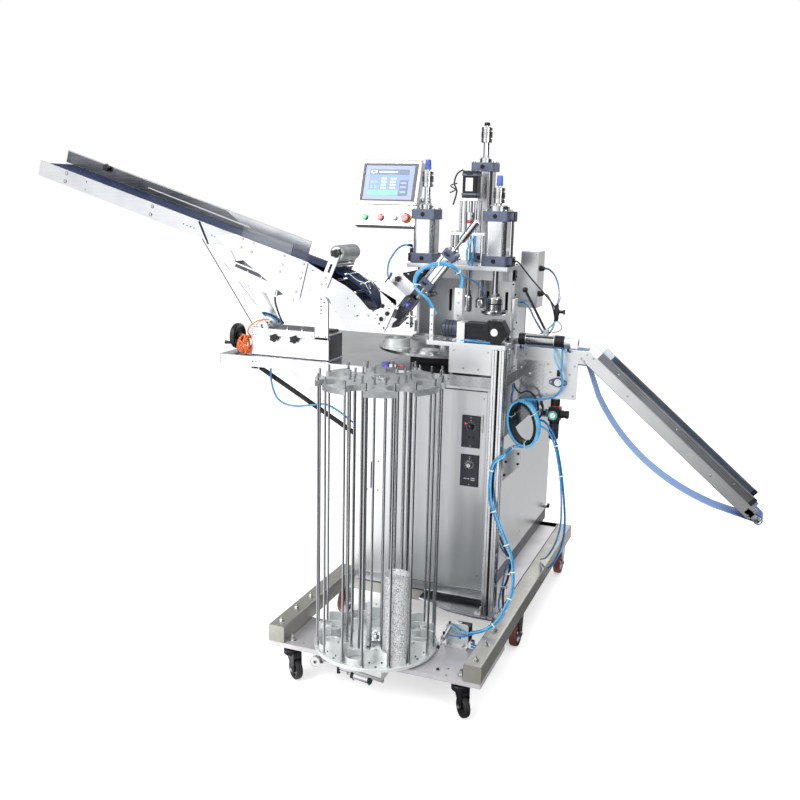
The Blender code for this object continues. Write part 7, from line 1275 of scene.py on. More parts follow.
def buildPresses():
    base = 1.402
    left = newPiece("pressCylinderLeft")
    cylinderBody(left, *pressPlaces["left"], base, 0.095, 0.038, 0.082, 0.126)
    ready(left, "anodised_aluminium", "press_cylinder_left")
    right = newPiece("pressCylinderRight")
    x, y = pressPlaces["right"]
    top = cylinderBody(right, x, y, base, 0.095, 0.038, 0.082, 0.126)
    put(right, turned([(0.0124, 0), (0.041, 0), (0.041, 0.0185), (0.0395, 0.02), (0.0124, 0.02)],
        (x, y, top - 0.0005), sides=56), turnedSteel)
    for i in range(6):
        angle = tau * i / 6
        put(right, screw((x + 0.031 * cos(angle), y + 0.031 * sin(angle), top + 0.0192), (0, 0, 1), 0.0034,
            0.0024), zincPlate)
    # position switches on the right side, with their rod
    for low in (base, base + 0.164):
        put(right, block((0.2025, 0.771, low + 0.001), (0.2235, 0.811, low + 0.037)), mouldedAbs, 0.002)
        put(right, block((0.203, 0.77, low + 0.006), (0.2195, 0.7712, low + 0.032)), capEnamel, 0.0004)
        put(right, screw((0.2232, 0.791, low + 0.03), (1, 0, 0), 0.003, 0.0022), zincPlate)
    put(right, rod((0.2135, 0.791, base + 0.036), (0.2135, 0.791, base + 0.166), 0.004, 20), chromedBar)
    put(right, rod((0.2135, 0.78, base + 0.036), (0.2135, 0.78, base + 0.166), 0.0024, 16), cableSheath)
    ready(right, "anodised_aluminium", "press_cylinder_right")
    tall = newPiece("pressCylinderRear")
    cylinderBody(tall, *pressPlaces["rear"], base, 0.092, 0.034, 0.07, 0.315)
    ready(tall, "anodised_aluminium", "press_cylinder_rear")

    def pressRod(name, body, node, x, y, bushTop, rest, low, extra, tool):
        piece = newPiece(name)
        sleeveLow = bushTop + rest
        sleeveTop = sleeveLow + 0.058
        put(piece, rod((x, y, low), (x, y, sleeveTop - 0.001), 0.0114, 32), chromedBar)
        # bright adjusting sleeve with knurled bands, black collar below, blue cap on top
        profile = [(0, 0), (0.02, 0), (0.0213, 0.0012), (0.0213, 0.014), (0.0205, 0.015), (0.0205, 0.018),
            (0.0213, 0.019), (0.0213, 0.042), (0.0205, 0.043), (0.0205, 0.046), (0.0213, 0.047),
            (0.0213, 0.0565), (0.02, 0.058), (0, 0.058)]
        put(piece, turned(profile, (x, y, sleeveLow), sides=48), turnedSteel)
        for i in range(28):
            angle = tau * i / 28
            put(piece, rod((x + 0.0212 * cos(angle), y + 0.0212 * sin(angle), sleeveLow + 0.02),
                (x + 0.0212 * cos(angle), y + 0.0212 * sin(angle), sleeveLow + 0.041), 0.0006, 6), blackOxide)
        put(piece, rod((x, y, sleeveTop - 0.001), (x, y, sleeveTop + 0.007), 0.006, 24), chromedBar)
        put(piece, solid([(0.0112, 0), (0.012, 0.001), (0.012, extra * 0.25), (0.0108, extra * 0.3),
            (0.0108, extra * 0.42), (0.0118, extra * 0.47), (0.0102, extra * 0.92), (0.0085, extra)],
            (x, y, sleeveTop + 0.006), sides=36), mouldedAbs if name == "pressRodRear" else blueCap)
        tool(piece, x, y)
        ready(piece, "ground_steel", node, body=body)

    def formingHead(top):
        def make(piece, x, y):
            low = top - 0.052
            put(piece, solid([(0.029, 0), (0.0295, 0.0006), (0.0295, 0.04), (0.028, 0.044), (0.0235, 0.0505),
                (0.0205, 0.052)], (x, y, low), sides=64), turnedSteel)
            put(piece, turned([(0.0294, 0.02), (0.0302, 0.021), (0.0302, 0.0235), (0.0294, 0.0245)],
                (x, y, low), sides=64), deepShade)
            put(piece, turned([(0, -0.018), (0.0445, -0.018), (0.046, -0.017), (0.05, -0.013), (0.05, -0.004),
                (0.049, -0.0032), (0.03, -0.0008), (0, 0.002)], (x, y, low), sides=72), turnedSteel)
            for i in range(3):
                angle = tau * (i + 0.2) / 3
                put(piece, screw((x + 0.0293 * cos(angle), y + 0.0293 * sin(angle), low + 0.03),
                    (cos(angle), sin(angle), 0), 0.0028, 0.0014), zincPlate)
            put(piece, hexNut((x, y, top - 0.0005), (0, 0, 1), 0.0185, 0.009), zincPlate)
        return make

    def plainHead(piece, x, y):
        low = 1.2557 - 0.04
        put(piece, solid([(0.0185, 0), (0.02, 0.0015), (0.02, 0.03), (0.015, 0.038), (0.013, 0.04)],
            (x, y, low), sides=48), turnedSteel)
    pressRod("pressRodLeft", "left_press", "press_rod_left", *pressPlaces["left"], 1.624, 0.062, 1.3437,
        0.037, formingHead(1.3447))
    pressRod("pressRodRight", "right_press", "press_rod_right", *pressPlaces["right"], 1.624, 0.007, 1.2887,
        0.037, formingHead(1.2897))
    pressRod("pressRodRear", "rear_press", "press_rod_rear", *pressPlaces["rear"], 1.805, 0.056, 1.2547,
        0.012, plainHead)


def buildSpindle():
    x, y, base = 0.03, 0.85, 1.402
    lowPlate, midPlate = base + 0.108, base + 0.236
    motorLow = midPlate + 0.01
    tower = newPiece("spindleMotor")
    put(tower, blockAt((x, y, lowPlate + 0.005), (0.14, 0.08, 0.01)), anodised, 0.001)
    half = 0.0365
    put(tower, blockAt((x, y, midPlate + 0.005), (half * 2, half * 2, 0.01)), anodised, 0.001)
    for a, b in fourCorners(1):
        px, py = x + a * 0.0595, y + b * 0.0295
        put(tower, rod((px, py, base), (px, py, lowPlate + 0.001), 0.007, 28), chromedBar)
        put(tower, screw((px, py, lowPlate + 0.0097), (0, 0, 1), 0.005, 0.005), zincPlate)
        px, py = x + a * 0.0295, y + b * 0.0295
        put(tower, rod((px, py, lowPlate + 0.009), (px, py, midPlate + 0.001), 0.0048, 24), chromedBar)
        put(tower, screw((x + a * 0.0235, y + b * 0.0235, motorLow + 0.1008), (0, 0, 1), 0.0026, 0.0026),
            zincPlate)
    # stepper motor: laminated stack between two cast ends
    for low, high, size, skin in ((motorLow, motorLow + 0.018, 0.059, mouldedAbs),
            (motorLow + 0.018, motorLow + 0.083, 0.057, blackOxide),
            (motorLow + 0.083, motorLow + 0.101, 0.059, mouldedAbs)):
        put(tower, plate(softSquare((x, y), size, 0.005, 4), "Z", low, high), skin, 0.0009)
    for level in (motorLow + 0.015, motorLow + 0.086):
        put(tower, plate(softSquare((x, y), 0.0628, 0.005, 4), "Z", level - 0.0035, level + 0.0035),
            capEnamel, 0.0008)
    for i in range(9):
        z = motorLow + 0.024 + 0.0065 * i
        put(tower, plate(softSquare((x, y), 0.0578, 0.006, 3), "Z", z, z + 0.0022), blackOxide)
    put(tower, disc(0.017, 0.0006, (x, y, motorLow + 0.1006), sides=40), turnedSteel)
    put(tower, block((x - 0.012, y - 0.0335, motorLow + 0.086), (x + 0.012, y - 0.029, motorLow + 0.098)),
        mouldedAbs, 0.001)
    # blank foil plate on the front of the motor
    put(tower, block((x - 0.015, y - 0.0306, motorLow + 0.026), (x + 0.013, y - 0.028, motorLow + 0.075)),
        acetalWhite, 0.0006)
    ready(tower, "blackened_steel", "spindle_motor")
    tip = 1.2177
    turning = newPiece("spindle")
    put(turning, rod((x, y, tip), (x, y, motorLow + 0.016), 0.0079, 28), chromedBar)
    low = lowPlate + 0.014
    # coupling: two clamp hubs round a spider, with their screws
    put(turning, solid([(0.0188, 0), (0.0195, 0.0007), (0.0195, 0.029), (0.0188, 0.03), (0.0178, 0.0305),
        (0.0178, 0.041), (0.0188, 0.042), (0.0195, 0.043), (0.0195, 0.0712), (0.0188, 0.072)], (x, y, low),
        sides=48), anodised)
    put(turning, turned([(0.0176, 0.031), (0.019, 0.032), (0.019, 0.04), (0.0176, 0.041)], (x, y, low),
        sides=48), redCap)
    for z in (low + 0.014, low + 0.058):
        put(turning, screw((x + 0.012, y - 0.015, z), (0.2, -1, 0), 0.003, 0.0022), blackOxide)
    put(turning, solid([(0.0165, 0), (0.018, 0.002), (0.018, 0.026), (0.0168, 0.0275), (0.0168, 0.03),
        (0.018, 0.0315), (0.018, 0.056), (0.015, 0.064), (0.012, 0.066)], (x, y, tip), sides=48), turnedSteel)
    ready(turning, "ground_steel", "spindle", body="spindle")


def buildGearmotor():
    y, level = 0.4, 1.1704 + 0.04
    drive = newPiece("gearmotor")
    circle = 0.0398 / cos(pi / 6)
    put(drive, plate(ringPoints((0.274, level), circle, 6, 0, 360), "Y", y - 0.026, y + 0.026), blackOxide,
        0.0035)
    put(drive, block((0.172, y - 0.028, level - 0.028), (0.256, y + 0.028, level + 0.028)), blackOxide, 0.004)
    for z in (-0.018, 0.0, 0.018):
        put(drive, block((0.176, y - 0.0292, level + z - 0.003), (0.238, y + 0.0292, level + z + 0.003)),
            blackOxide, 0.001)
    put(drive, block((0.145, y - 0.034, 1.1704), (0.173, y + 0.034, 1.2384)), anodised, 0.0015)
    put(drive, rod((0.088, y, level), (0.146, y, level), 0.0298, 48, edge=0.003), bellEnamel)
    for i in range(3):
        put(drive, turned([(0.0296, 0), (0.0302, 0.0006), (0.0302, 0.0024), (0.0296, 0.003)],
            (0.1 + 0.012 * i, y, level), (1, 0, 0), 48), deepShade)
    for i in range(6):
        angle = radians(60 * i + 30)
        put(drive, screw((0.274 + 0.03 * cos(angle), y - 0.0258, level + 0.03 * sin(angle)), (0, -1, 0),
            0.0034, 0.0024), blackOxide)
    put(drive, turned([(0.0134, 0), (0.0205, 0), (0.0205, 0.0008), (0.0134, 0.0008)],
        (0.274, y - 0.0259, level), (0, -1, 0), 48), blackOxide)
    for a, b in ((-0.026, -0.026), (-0.026, 0.026)):
        put(drive, screw((0.1453, y + a, level + b), (-1, 0, 0), 0.003, 0.0026), zincPlate)
    for a in (0.262, 0.286):
        put(drive, screw((a, y - 0.018, level + 0.0396), (0, 0, 1), 0.0028, 0.002), zincPlate)
    ready(drive, "blackened_steel", "gearmotor")
    shaft = newPiece("gearShaft")
    put(shaft, turned([(0.01, 0), (0.0125, 0), (0.013, 0.0005), (0.013, 0.0545), (0.0125, 0.055),
        (0.01, 0.055)], (0.274, y - 0.0275, level), (0, 1, 0), 48), chromedBar)
    put(shaft, solid([(0.0102, 0.0006), (0.0102, 0.045)], (0.274, y - 0.0275, level), (0, 1, 0), 40),
        acetalWhite)
    put(shaft, blockAt((0.284, y, level), (0.003, 0.0468, 0.003)), chromedBar)
    ready(shaft, "ground_steel", "gearmotor_shaft", body="gear_shaft")


buildTurntable()
buildPressFrame()
buildPresses()
buildSpindle()
buildGearmotor()

print("screen panel")
panelTilt = radians(17.9)
panelFrame = Matrix.Translation((-0.447, 0.85, 1.6197)) @ Matrix.Rotation(-panelTilt, 4, "X")
panelSize = {"width": 0.255, "height": 0.175, "skirt": 0.087, "depth": 0.045, "drop": 0.054}


def buildPanel():
    wide, high, back = panelSize["width"], panelSize["height"], panelSize["depth"]
    buttonRow = -panelSize["drop"]
    panel = newPiece("screenPanel")

    def add(shape, material, bevel=0.0):
        put(panel, shape, material, bevel, panelFrame)
    add(block((0, 0.008, -panelSize["skirt"]), (wide, back, high)), sheetUpright, 0.0025)
    # the screen's own frame: four lipped bars round a recess
    rim = [((-0.002, 0, -0.003), (wide + 0.002, 0.009, 0.012)), ((-0.002, 0, high - 0.012),
        (wide + 0.002, 0.009, high + 0.003)), ((-0.002, 0, 0.011), (0.012, 0.009, high - 0.011)),
        ((wide - 0.012, 0, 0.011), (wide + 0.002, 0.009, high - 0.011))]
    for low, top in rim:
        add(block(low, top), frameTube, 0.0022)
    for low, top in (((0.01, 0.0016, 0.01), (wide - 0.01, 0.0082, 0.018)),
            ((0.01, 0.0016, high - 0.018), (wide - 0.01, 0.0082, high - 0.01)),
            ((0.01, 0.0016, 0.016), (0.02, 0.0082, high - 0.016)),
            ((wide - 0.026, 0.0016, 0.016), (wide - 0.01, 0.0082, high - 0.016))):
        add(block(low, top), controlFilm, 0.0008)
    add(block((0.018, 0.004, 0.016), (wide - 0.024, 0.0082, high - 0.016)), screenFrame, 0.0006)
    add(block((0.041, 0.0034, 0.035), (wide - 0.048, 0.0052, high - 0.035)), screenBack)
    # shapes on the screen: header, value fields and a foot band, none of them letters
    left, right, low, top = 0.041, wide - 0.048, 0.035, high - 0.035
    add(block((left, 0.003, top - 0.02), (right, 0.0036, top)), screenDeep)
    add(block((left, 0.0029, low), (right - 0.04, 0.0036, low + 0.02)), screenGreen)
    add(block((right - 0.036, 0.0029, low), (right, 0.0036, low + 0.062)), screenDeep)
    add(block((left + 0.004, 0.0026, top - 0.016), (left + 0.03, 0.0034, top - 0.004)), screenPale)
    add(block((left + 0.009, 0.0024, top - 0.013), (left + 0.025, 0.003, top - 0.007)), screenDeep)
    add(block((left + 0.038, 0.0026, top - 0.013), (left + 0.118, 0.0034, top - 0.007)), screenPale)
    for row in range(4):
        z = low + 0.027 + 0.0125 * row
        for a, length in ((left + 0.052, 0.022), (left + 0.09, 0.024)):
            add(block((a, 0.0026, z), (a + length, 0.0034, z + 0.0062)), screenPale)
    for a, z in ((left + 0.006, low + 0.048), (left + 0.024, low + 0.048), (left + 0.006, low + 0.028),
            (left + 0.024, low + 0.028)):
        add(block((a, 0.0026, z), (a + 0.013, 0.0034, z + 0.012)), screenBlue)
    for z in (0.01, 0.03, 0.046):
        add(block((right - 0.031, 0.0024, low + z), (right - 0.006, 0.0032, low + z + 0.007)), screenBlue)
    for x, z in ((0.0045, 0.003), (wide - 0.0045, 0.003), (0.0045, high - 0.003),
            (wide - 0.0045, high - 0.003)):
        add(screw((x, 0.0004, z), (0, -1, 0), 0.002, 0.0009), blackOxide)
    # the skirt's turned edges, shown as a strip of painted shade along the lower one, and the collars under
    # the buttons
    add(block((0.002, 0.0072, -panelSize["skirt"] + 0.001), (wide - 0.002, 0.0085,
        -panelSize["skirt"] + 0.0026)), deepShade)
    for x, inner, radius, skin in ((0.043, 0.0121, 0.016, greenCap), (0.11, 0.0121, 0.016, redCap),
            (0.169, 0.0121, 0.016, satinBar), (0.217, 0.0128, 0.0215, yellowBase)):
        add(turned([(inner, 0), (radius, 0), (radius, 0.0009), (radius - 0.0012, 0.0018), (inner, 0.0018)],
            (x, 0.0081, buttonRow), (0, -1, 0), 40), skin)
    # clamp at the back, with its two screws, and the cable gland below
    add(block((wide / 2 - 0.02, back - 0.001, 0.016), (wide / 2 + 0.02, back + 0.038, 0.054)), anodised,
        0.0015)
    add(block((wide / 2 - 0.0202, back + 0.0185, 0.0538), (wide / 2 + 0.0202, back + 0.0197, 0.0542)),
        deepShade)
    for x in (wide / 2 - 0.014, wide / 2 + 0.014):
        add(screw((x, back + 0.0378, 0.022), (0, 1, 0), 0.0032, 0.0026), zincPlate)
    add(rod((wide / 2 + 0.06, back - 0.001, -0.052), (wide / 2 + 0.06, back + 0.012, -0.052), 0.0075, 20),
        mouldedAbs)
    add(block((0.004, back - 0.0005, -0.08), (wide - 0.004, back + 0.0006, high - 0.006)), sheetAlong)
    # black grip at the left edge
    add(block((-0.0018, 0.012, -0.064), (0.001, 0.03, -0.026)), mouldedAbs, 0.0008)
    ready(panel, "panel_aluminium", "hmi_panel", body="screen")

    def button(name, x, radius, height, skin, stand):
        piece = newPiece(name)
        base = (x, 0.007 - stand, buttonRow)
        put(piece, turned([(0, -0.01), (radius * 0.55, -0.01), (radius * 0.55, 0), (radius, 0),
            (radius, height * 0.7), (radius * 0.93, height * 0.94), (radius * 0.72, height),
            (0, height * 0.97)], base, (0, -1, 0), 44), skin, 0.0, panelFrame)
        return piece, base
    for name, body, slot, node, x, skin in (("startButton", "start_button", "green_button", "start_button",
            0.043, greenCap), ("stopButton", "stop_button", "red_button", "stop_button", 0.11, redCap)):
        piece, base = button(name, x, 0.011, 0.006, skin, 0.0035)
        put(piece, turned([(0.0104, 0.0002), (0.0114, 0.0002), (0.0114, 0.0034), (0.0106, 0.0038)], base,
            (0, -1, 0), 44), turnedSteel, 0.0, panelFrame)
        ready(piece, slot, node, body=body)
    piece, base = button("selectorSwitch", 0.169, 0.011, 0.011, whiteCap, 0.0003)
    put(piece, block((0.169 - 0.003, -0.0068, buttonRow - 0.0098),
        (0.169 + 0.003, -0.002, buttonRow + 0.0098)), whiteCap, 0.001, panelFrame)
    put(piece, block((0.169 - 0.0006, -0.007, buttonRow + 0.0015),
        (0.169 + 0.0006, -0.0064, buttonRow + 0.0092)), greenCap, 0.0, panelFrame)
    ready(piece, "white_selector", "selector_knob", body="selector")
    stop = newPiece("emergencyStop")
    base = (0.217, 0.0035, buttonRow)
    put(stop, turned([(0, -0.012), (0.005, -0.012), (0.005, -0.0005), (0.012, -0.0005), (0.012, 0.0028),
        (0.0166, 0.0034), (0.018, 0.005), (0.018, 0.0095), (0.0166, 0.0122), (0.012, 0.013), (0, 0.0126)],
        base, (0, -1, 0), 56), redCap, 0.0, panelFrame)
    for i in range(14):
        angle = tau * i / 14
        a, b = 0.217 + 0.0177 * cos(angle), buttonRow + 0.0177 * sin(angle)
        put(stop, rod((a, -0.002, b), (a, -0.006, b), 0.0008, 8), redCap, 0.0, panelFrame)
    for i in range(3):
        angle = tau * i / 3
        a, b = 0.217 + 0.008 * cos(angle), buttonRow + 0.008 * sin(angle)
        put(stop, disc(0.0018, 0.0004, (a, -0.0091, b), (0, -1, 0), 12), whiteCap, 0.0, panelFrame)
    ready(stop, "red_button", "estop_button", body="emergency_stop")


buildPanel()

print("infeed conveyor")
infeed = {"kneeX": -0.449, "kneeZ": 1.4097, "slope": radians(16.45), "length": 1.233, "height": 0.06,
    "front": 0.42, "back": 0.565, "sheet": 0.005}
infeed["cos"], infeed["sin"] = cos(infeed["slope"]), sin(infeed["slope"])


def along(distance, drop):
    # a point on the long plate: distance up the slope from the knee, drop below its top edge
    return (infeed["kneeX"] - distance * infeed["cos"] - drop * infeed["sin"],
        infeed["kneeZ"] + distance * infeed["sin"] - drop * infeed["cos"])


def shared(x, z, span, drop, shares):
    return [(x + span * a, z - drop * b) for a, b in shares]


def closedBand(outer, inner, near, far):
    # a belt: the ring between an outer and an inner line, from one side to the other
    shape = bmesh.new()
    rows = [[shape.verts.new((x, y, z)) for x, z in line] for y in (near, far) for line in (outer, inner)]
    for i in range(len(outer)):
        j = (i + 1) % len(outer)
        shape.faces.new((rows[0][i], rows[0][j], rows[2][j], rows[2][i]))
        shape.faces.new((rows[1][j], rows[1][i], rows[3][i], rows[3][j]))
        shape.faces.new((rows[0][j], rows[0][i], rows[1][i], rows[1][j]))
        shape.faces.new((rows[2][i], rows[2][j], rows[3][j], rows[3][i]))
    bmesh.ops.recalc_face_normals(shape, faces=shape.faces)
    return shape


def ringBolt(x, y, z, way=-1, radius=0.0052):
    # a pan head with a dark rim, as the plate's bolts read in the picture
    washer = disc(radius * 1.32, 0.0005, (x, y, z), (0, way, 0), 24)
    head = turned([(0, 0), (radius, 0), (radius, 0.0016), (radius * 0.8, 0.0026), (0, 0.0029)],
        (x, y + way * 0.0004, z), (0, way, 0), 24)
    return [(washer, 0), (head, 0)]


def ringBolts(piece, spots, y, radius=0.0052):
    for x, z in spots:
        putAll(piece, ringBolt(x, y, z, radius=radius), zincPlate)


def buildInfeed():
    front, back, sheet, length = infeed["front"], infeed["back"], infeed["sheet"], infeed["length"]
    kneeX, kneeZ = infeed["kneeX"], infeed["kneeZ"]
    frameIn = newPiece("infeedFrame")
    steep = shared(kneeX, kneeZ, 0.356, 0.235, ((0.35, 0.27), (0.43, 0.325), (0.51, 0.4), (0.6, 0.52),
        (0.69, 0.66), (1.0, 0.78), (0.85, 0.99), (0.65, 1.002), (0.45, 1.0), (0.36, 0.8), (0.27, 0.63),
        (0.18, 0.51), (-0.11, 0.57)))
    side = [along(length, 0), (kneeX, kneeZ)] + steep + [along(0.03, 0.06), along(length, 0.06)]
    holes = [((x, z), 0.0026) for x, z in ((-0.9704, 1.5293), (-0.9552, 1.5246), (-0.9395, 1.5203),
        (-0.9244, 1.5151), (-0.8467, 1.4917), (-0.8329, 1.4866), (-1.4126, 1.6775), (-1.421, 1.6487),
        (-0.4248, 1.3806), (-0.435, 1.3106), (-0.2846, 1.2884), (-0.2578, 1.2626), (-0.2818, 1.262),
        (-0.3306, 1.2382))]
    put(frameIn, [plate(side, "Y", front, front + sheet, holes), plate(side, "Y", back, back + sheet)],
        sheetAlong, 0.0009)
    # two pairs of bolts through the rail, with a ring of shade round each head
    for x, z in (along(1.1, 0.013), along(1.1, 0.045), along(0.684, 0.013), along(0.684, 0.045)):
        put(frameIn, disc(0.0072, 0.0004, (x, front, z), (0, -1, 0), 24), blackOxide)
        putAll(frameIn, ringBolt(x, front - 0.0003, z, radius=0.0042), zincPlate)
    # slider bed, cross bars and the fixed end bar
    put(frameIn, plate([along(length * 0.06, 0.0043), along(length * 0.94, 0.0043),
        along(length * 0.94, 0.0103), along(length * 0.06, 0.0103)], "Y", front + 0.004, back + 0.001),
        sheetAlong)
    for a, b in ((0.3, 0.27), (0.53, 0.43)):
        x, z = kneeX + 0.356 * a, kneeZ - 0.235 * b
        put(frameIn, rod((x, front + 0.004, z), (x, back + 0.001, z), 0.006), chromedBar)
    tail = along(length - 0.039, 0.0195)
    put(frameIn, rod((tail[0], front + 0.004, tail[1]), (tail[0], back + 0.001, tail[1]), 0.01457, 40),
        turnedSteel)
    for distance in (0.3, 0.55, 0.8, 1.05):
        x, z = along(distance, 0.052)
        put(frameIn, rod((x, front + 0.004, z), (x, back + 0.001, z), 0.0045), chromedBar)
    # guard rail along the back, folded outward at its top
    put(frameIn, plate([along(0.07, 0.001), along(length, 0.001), along(length, -0.048), along(0.07, -0.048)],
        "Y", back, back + sheet), sheetAlong, 0.0008)
    # its inner face, in painted shade for most of its length
    put(frameIn, plate([along(0.33, 0.0), along(length - 0.004, 0.0), along(length - 0.004, -0.045),
        along(0.45, -0.045)], "Y", back - 0.001, back + 0.0004), railShade)
    # painted highlight: a bright streak along the shaded inner face
    put(frameIn, plate([along(0.33, -0.012), along(0.82, -0.018), along(0.82, -0.022), along(0.35, -0.018)],
        "Y", back - 0.0014, back - 0.0009), anodised)
    put(frameIn, plate([along(0.07, -0.0465), along(length, -0.0465), along(length, -0.048),
        along(0.07, -0.048)], "Y", back - 0.004, back + 0.001), sheetAlong)
    knob = along(length * 0.83, -0.0384)
    putAll(frameIn, starKnob(knob[0], back - 0.021, knob[1], back + 0.001), mouldedAbs)
    # hanger plate with its rows of bolts
    hanger = shared(kneeX - 0.388 + 0.005, kneeZ, 0.388, 0.148, ((0.0, -0.54), (0.23, -0.6), (1.0, 0.03),
        (0.91, 0.95), (0.84, 1.0)))
    put(frameIn, plate(hanger, "Y", front - 0.005, front + 0.001), sheetUpright, 0.0009)
    ringBolts(frameIn, ((-0.7111, 1.4827), (-0.6651, 1.469), (-0.7192, 1.4526), (-0.6751, 1.4366),
        (-0.5388, 1.428), (-0.5479, 1.3967), (-0.5575, 1.37), (-0.46, 1.402), (-0.4671, 1.3715),
        (-0.4733, 1.3509), (-0.4906, 1.2999), (-0.5037, 1.271)), front - 0.005)
    # motor box under the hanger: bright face, with its lid and its right end as flat plates of painted shade
    # on the front
    boxFrame = (kneeX - 0.266, kneeZ, 0.266, 0.135)
    box = shared(*boxFrame, ((-0.26, 0.5), (-0.15, 0.08), (0.58, 0.52), (0.74, 0.47), (0.71, 0.91),
        (0.52, 1.0)))
    put(frameIn, plate(box, "Y", front - 0.001, back - sheet), sheetUpright, 0.0015)
    face = shared(*boxFrame, ((-0.24, 0.52), (-0.15, 0.3), (0.54, 0.72), (0.51, 0.96)))
    put(frameIn, plate(face, "Y", front - 0.0042, front), sheetAlong, 0.0008)
    lid = shared(*boxFrame, ((-0.13, 0.22), (-0.11, 0.14), (0.56, 0.56), (0.535, 0.68)))
    put(frameIn, plate(lid, "Y", front - 0.0014, front), paintedShadePlate)
    end = shared(*boxFrame, ((0.56, 0.7), (0.57, 0.57), (0.72, 0.52), (0.69, 0.88), (0.53, 0.965)))
    put(frameIn, plate(end, "Y", front - 0.0016, front), paintedShadePlate)
    for a, b in ((0.08, 0.34), (0.3, 0.48)):
        x, z = shared(*boxFrame, ((a, b),))[0]
        putAll(frameIn, ringBolt(x, front - 0.0014, z, radius=0.0032), zincPlate)
    # leg: two plates, their shelf above and foot below
    far, near = (-0.449 + 0.895) / infeed["cos"], (-0.449 + 0.77) / infeed["cos"]
    footZ = 1.1553
    put(frameIn, plate([along(far, 0.055), along(near, 0.055), along(near, 0.06), along(far, 0.06)], "Y",
        front + 0.004, back + 0.006), sheetAlong)
    leg = [along(far - 0.001, 0.056), (-0.686, footZ), (-0.62, footZ), along(near + 0.001, 0.056)]
    put(frameIn, [plate(leg, "Y", 0.44, 0.445, [((-0.765, 1.35), 0.003), ((-0.72, 1.26), 0.003)]),
        plate(leg, "Y", 0.545, 0.55)], sheetUpright, 0.0008)
    # painted shade: dark strips along the leg's long edges
    put(frameIn, slab(along(far - 0.002, 0.057), (-0.685, footZ + 0.006), 0.003, 0.0014, 0.439), deepShade)
    put(frameIn, slab(along(near + 0.004, 0.12), (-0.6215, footZ + 0.03), 0.0016, 0.0014, 0.439), paintedShadePlate)
    put(frameIn, block((-0.687, 0.439, footZ), (-0.619, 0.551, footZ + 0.005)), sheetAlong, 0.0006)
    for x in (-0.676, -0.63):
        for y in (0.46, 0.53):
            put(frameIn, screw((x, y, footZ + 0.0048), (0, 0, 1), 0.0042), zincPlate)
    strap = [(-0.897, 1.542), (-0.905, 1.54), (-0.866, 1.456), (-0.86, 1.459)]
    put(frameIn, plate(strap, "Y", front - 0.0012, front + 0.0005), deepShade)
    # press arms and the slotted front one
    drum, foot = (kneeX + 0.118, kneeZ + 0.036), (kneeX + 0.068, kneeZ - 0.084)
    lean = Vector((foot[0] - drum[0], foot[1] - drum[1]))
    for low in (front - 0.006, back + sheet - 0.001):
        put(frameIn, slab(foot, drum, 0.034, 0.007, low), sheetUpright, 0.0008)
    slotA, slotB = Vector(drum) + lean * 0.58, Vector(drum) + lean * 0.32
    put(frameIn, slab(slotA, slotB, 0.0088, 0.0016, front - 0.0066), deepShade)
    for share, offset in ((0.74, -0.004), (0.92, 0.006), (0.94, -0.01)):
        spot = Vector(drum) + lean * share
        putAll(frameIn, ringBolt(spot[0] + offset, front - 0.006, spot[1], radius=0.0044), zincPlate)
    idler = (kneeX + 0.104, kneeZ - 0.008)
    put(frameIn, rod((idler[0], front - 0.005, idler[1]), (idler[0], back + sheet, idler[1]), 0.014, 40),
        chromedBar)
    # chromed wire guides that ride above the belt near the nose
    for y in (0.452, 0.532):
        path = smoothPath([(-0.318, y, 1.37), (-0.297, y, 1.372), (-0.262, y, 1.35), (-0.236, y, 1.342),
            (-0.214, y, 1.314), (-0.206, y, 1.29)], 0.006)
        put(frameIn, tube(path, 0.0022, 10), chromedBar)
    for x, z in ((-0.297, 1.372), (-0.236, 1.342)):
        put(frameIn, rod((x, front + 0.003, z), (x, back + 0.002, z), 0.0025, 14), chromedBar)
    put(frameIn, tube(smoothPath([(-0.236, 0.47, 1.342), (-0.222, 0.474, 1.35), (-0.21, 0.478, 1.336),
        (-0.222, 0.482, 1.32), (-0.233, 0.486, 1.335)], 0.004), 0.0018, 10), chromedBar)
    ringBolts(frameIn, ((-0.205, 1.231), (-0.172, 1.2), (-0.2523, 1.2272)), front, 0.0036)
    # slots near the steep plate's lower corner
    put(frameIn, slab((-0.258, 1.2268), (-0.244, 1.228), 0.0042, 0.0012, front - 0.0006), deepShade)
    ready(frameIn, "brushed_stainless", "infeed_frame")

    # clear guard beside the belt near the knee
    guard = newPiece("clearGuard")
    put(guard, plate([along(0.07, 0.002), along(0.285, 0.002), along(0.285, -0.04), along(0.07, -0.04)], "Y",
        front + 0.0052, front + 0.0072), clearAcrylic, 0.0003)
    # painted shade along the guard's left and lower edges
    put(guard, plate([along(0.07, 0.002), along(0.0712, 0.002), along(0.0712, -0.04), along(0.07, -0.04)],
        "Y", front + 0.005, front + 0.0074), deepShade)
    put(guard, plate([along(0.07, -0.0392), along(0.285, -0.0392), along(0.285, -0.04), along(0.07, -0.04)],
        "Y", front + 0.005, front + 0.0074), paintedShadePlate)
    ready(guard, "brushed_stainless")

    # belt: one closed band along the bed, over the knee and round the nose
    nose = (kneeX + 0.27, kneeZ - 0.156)

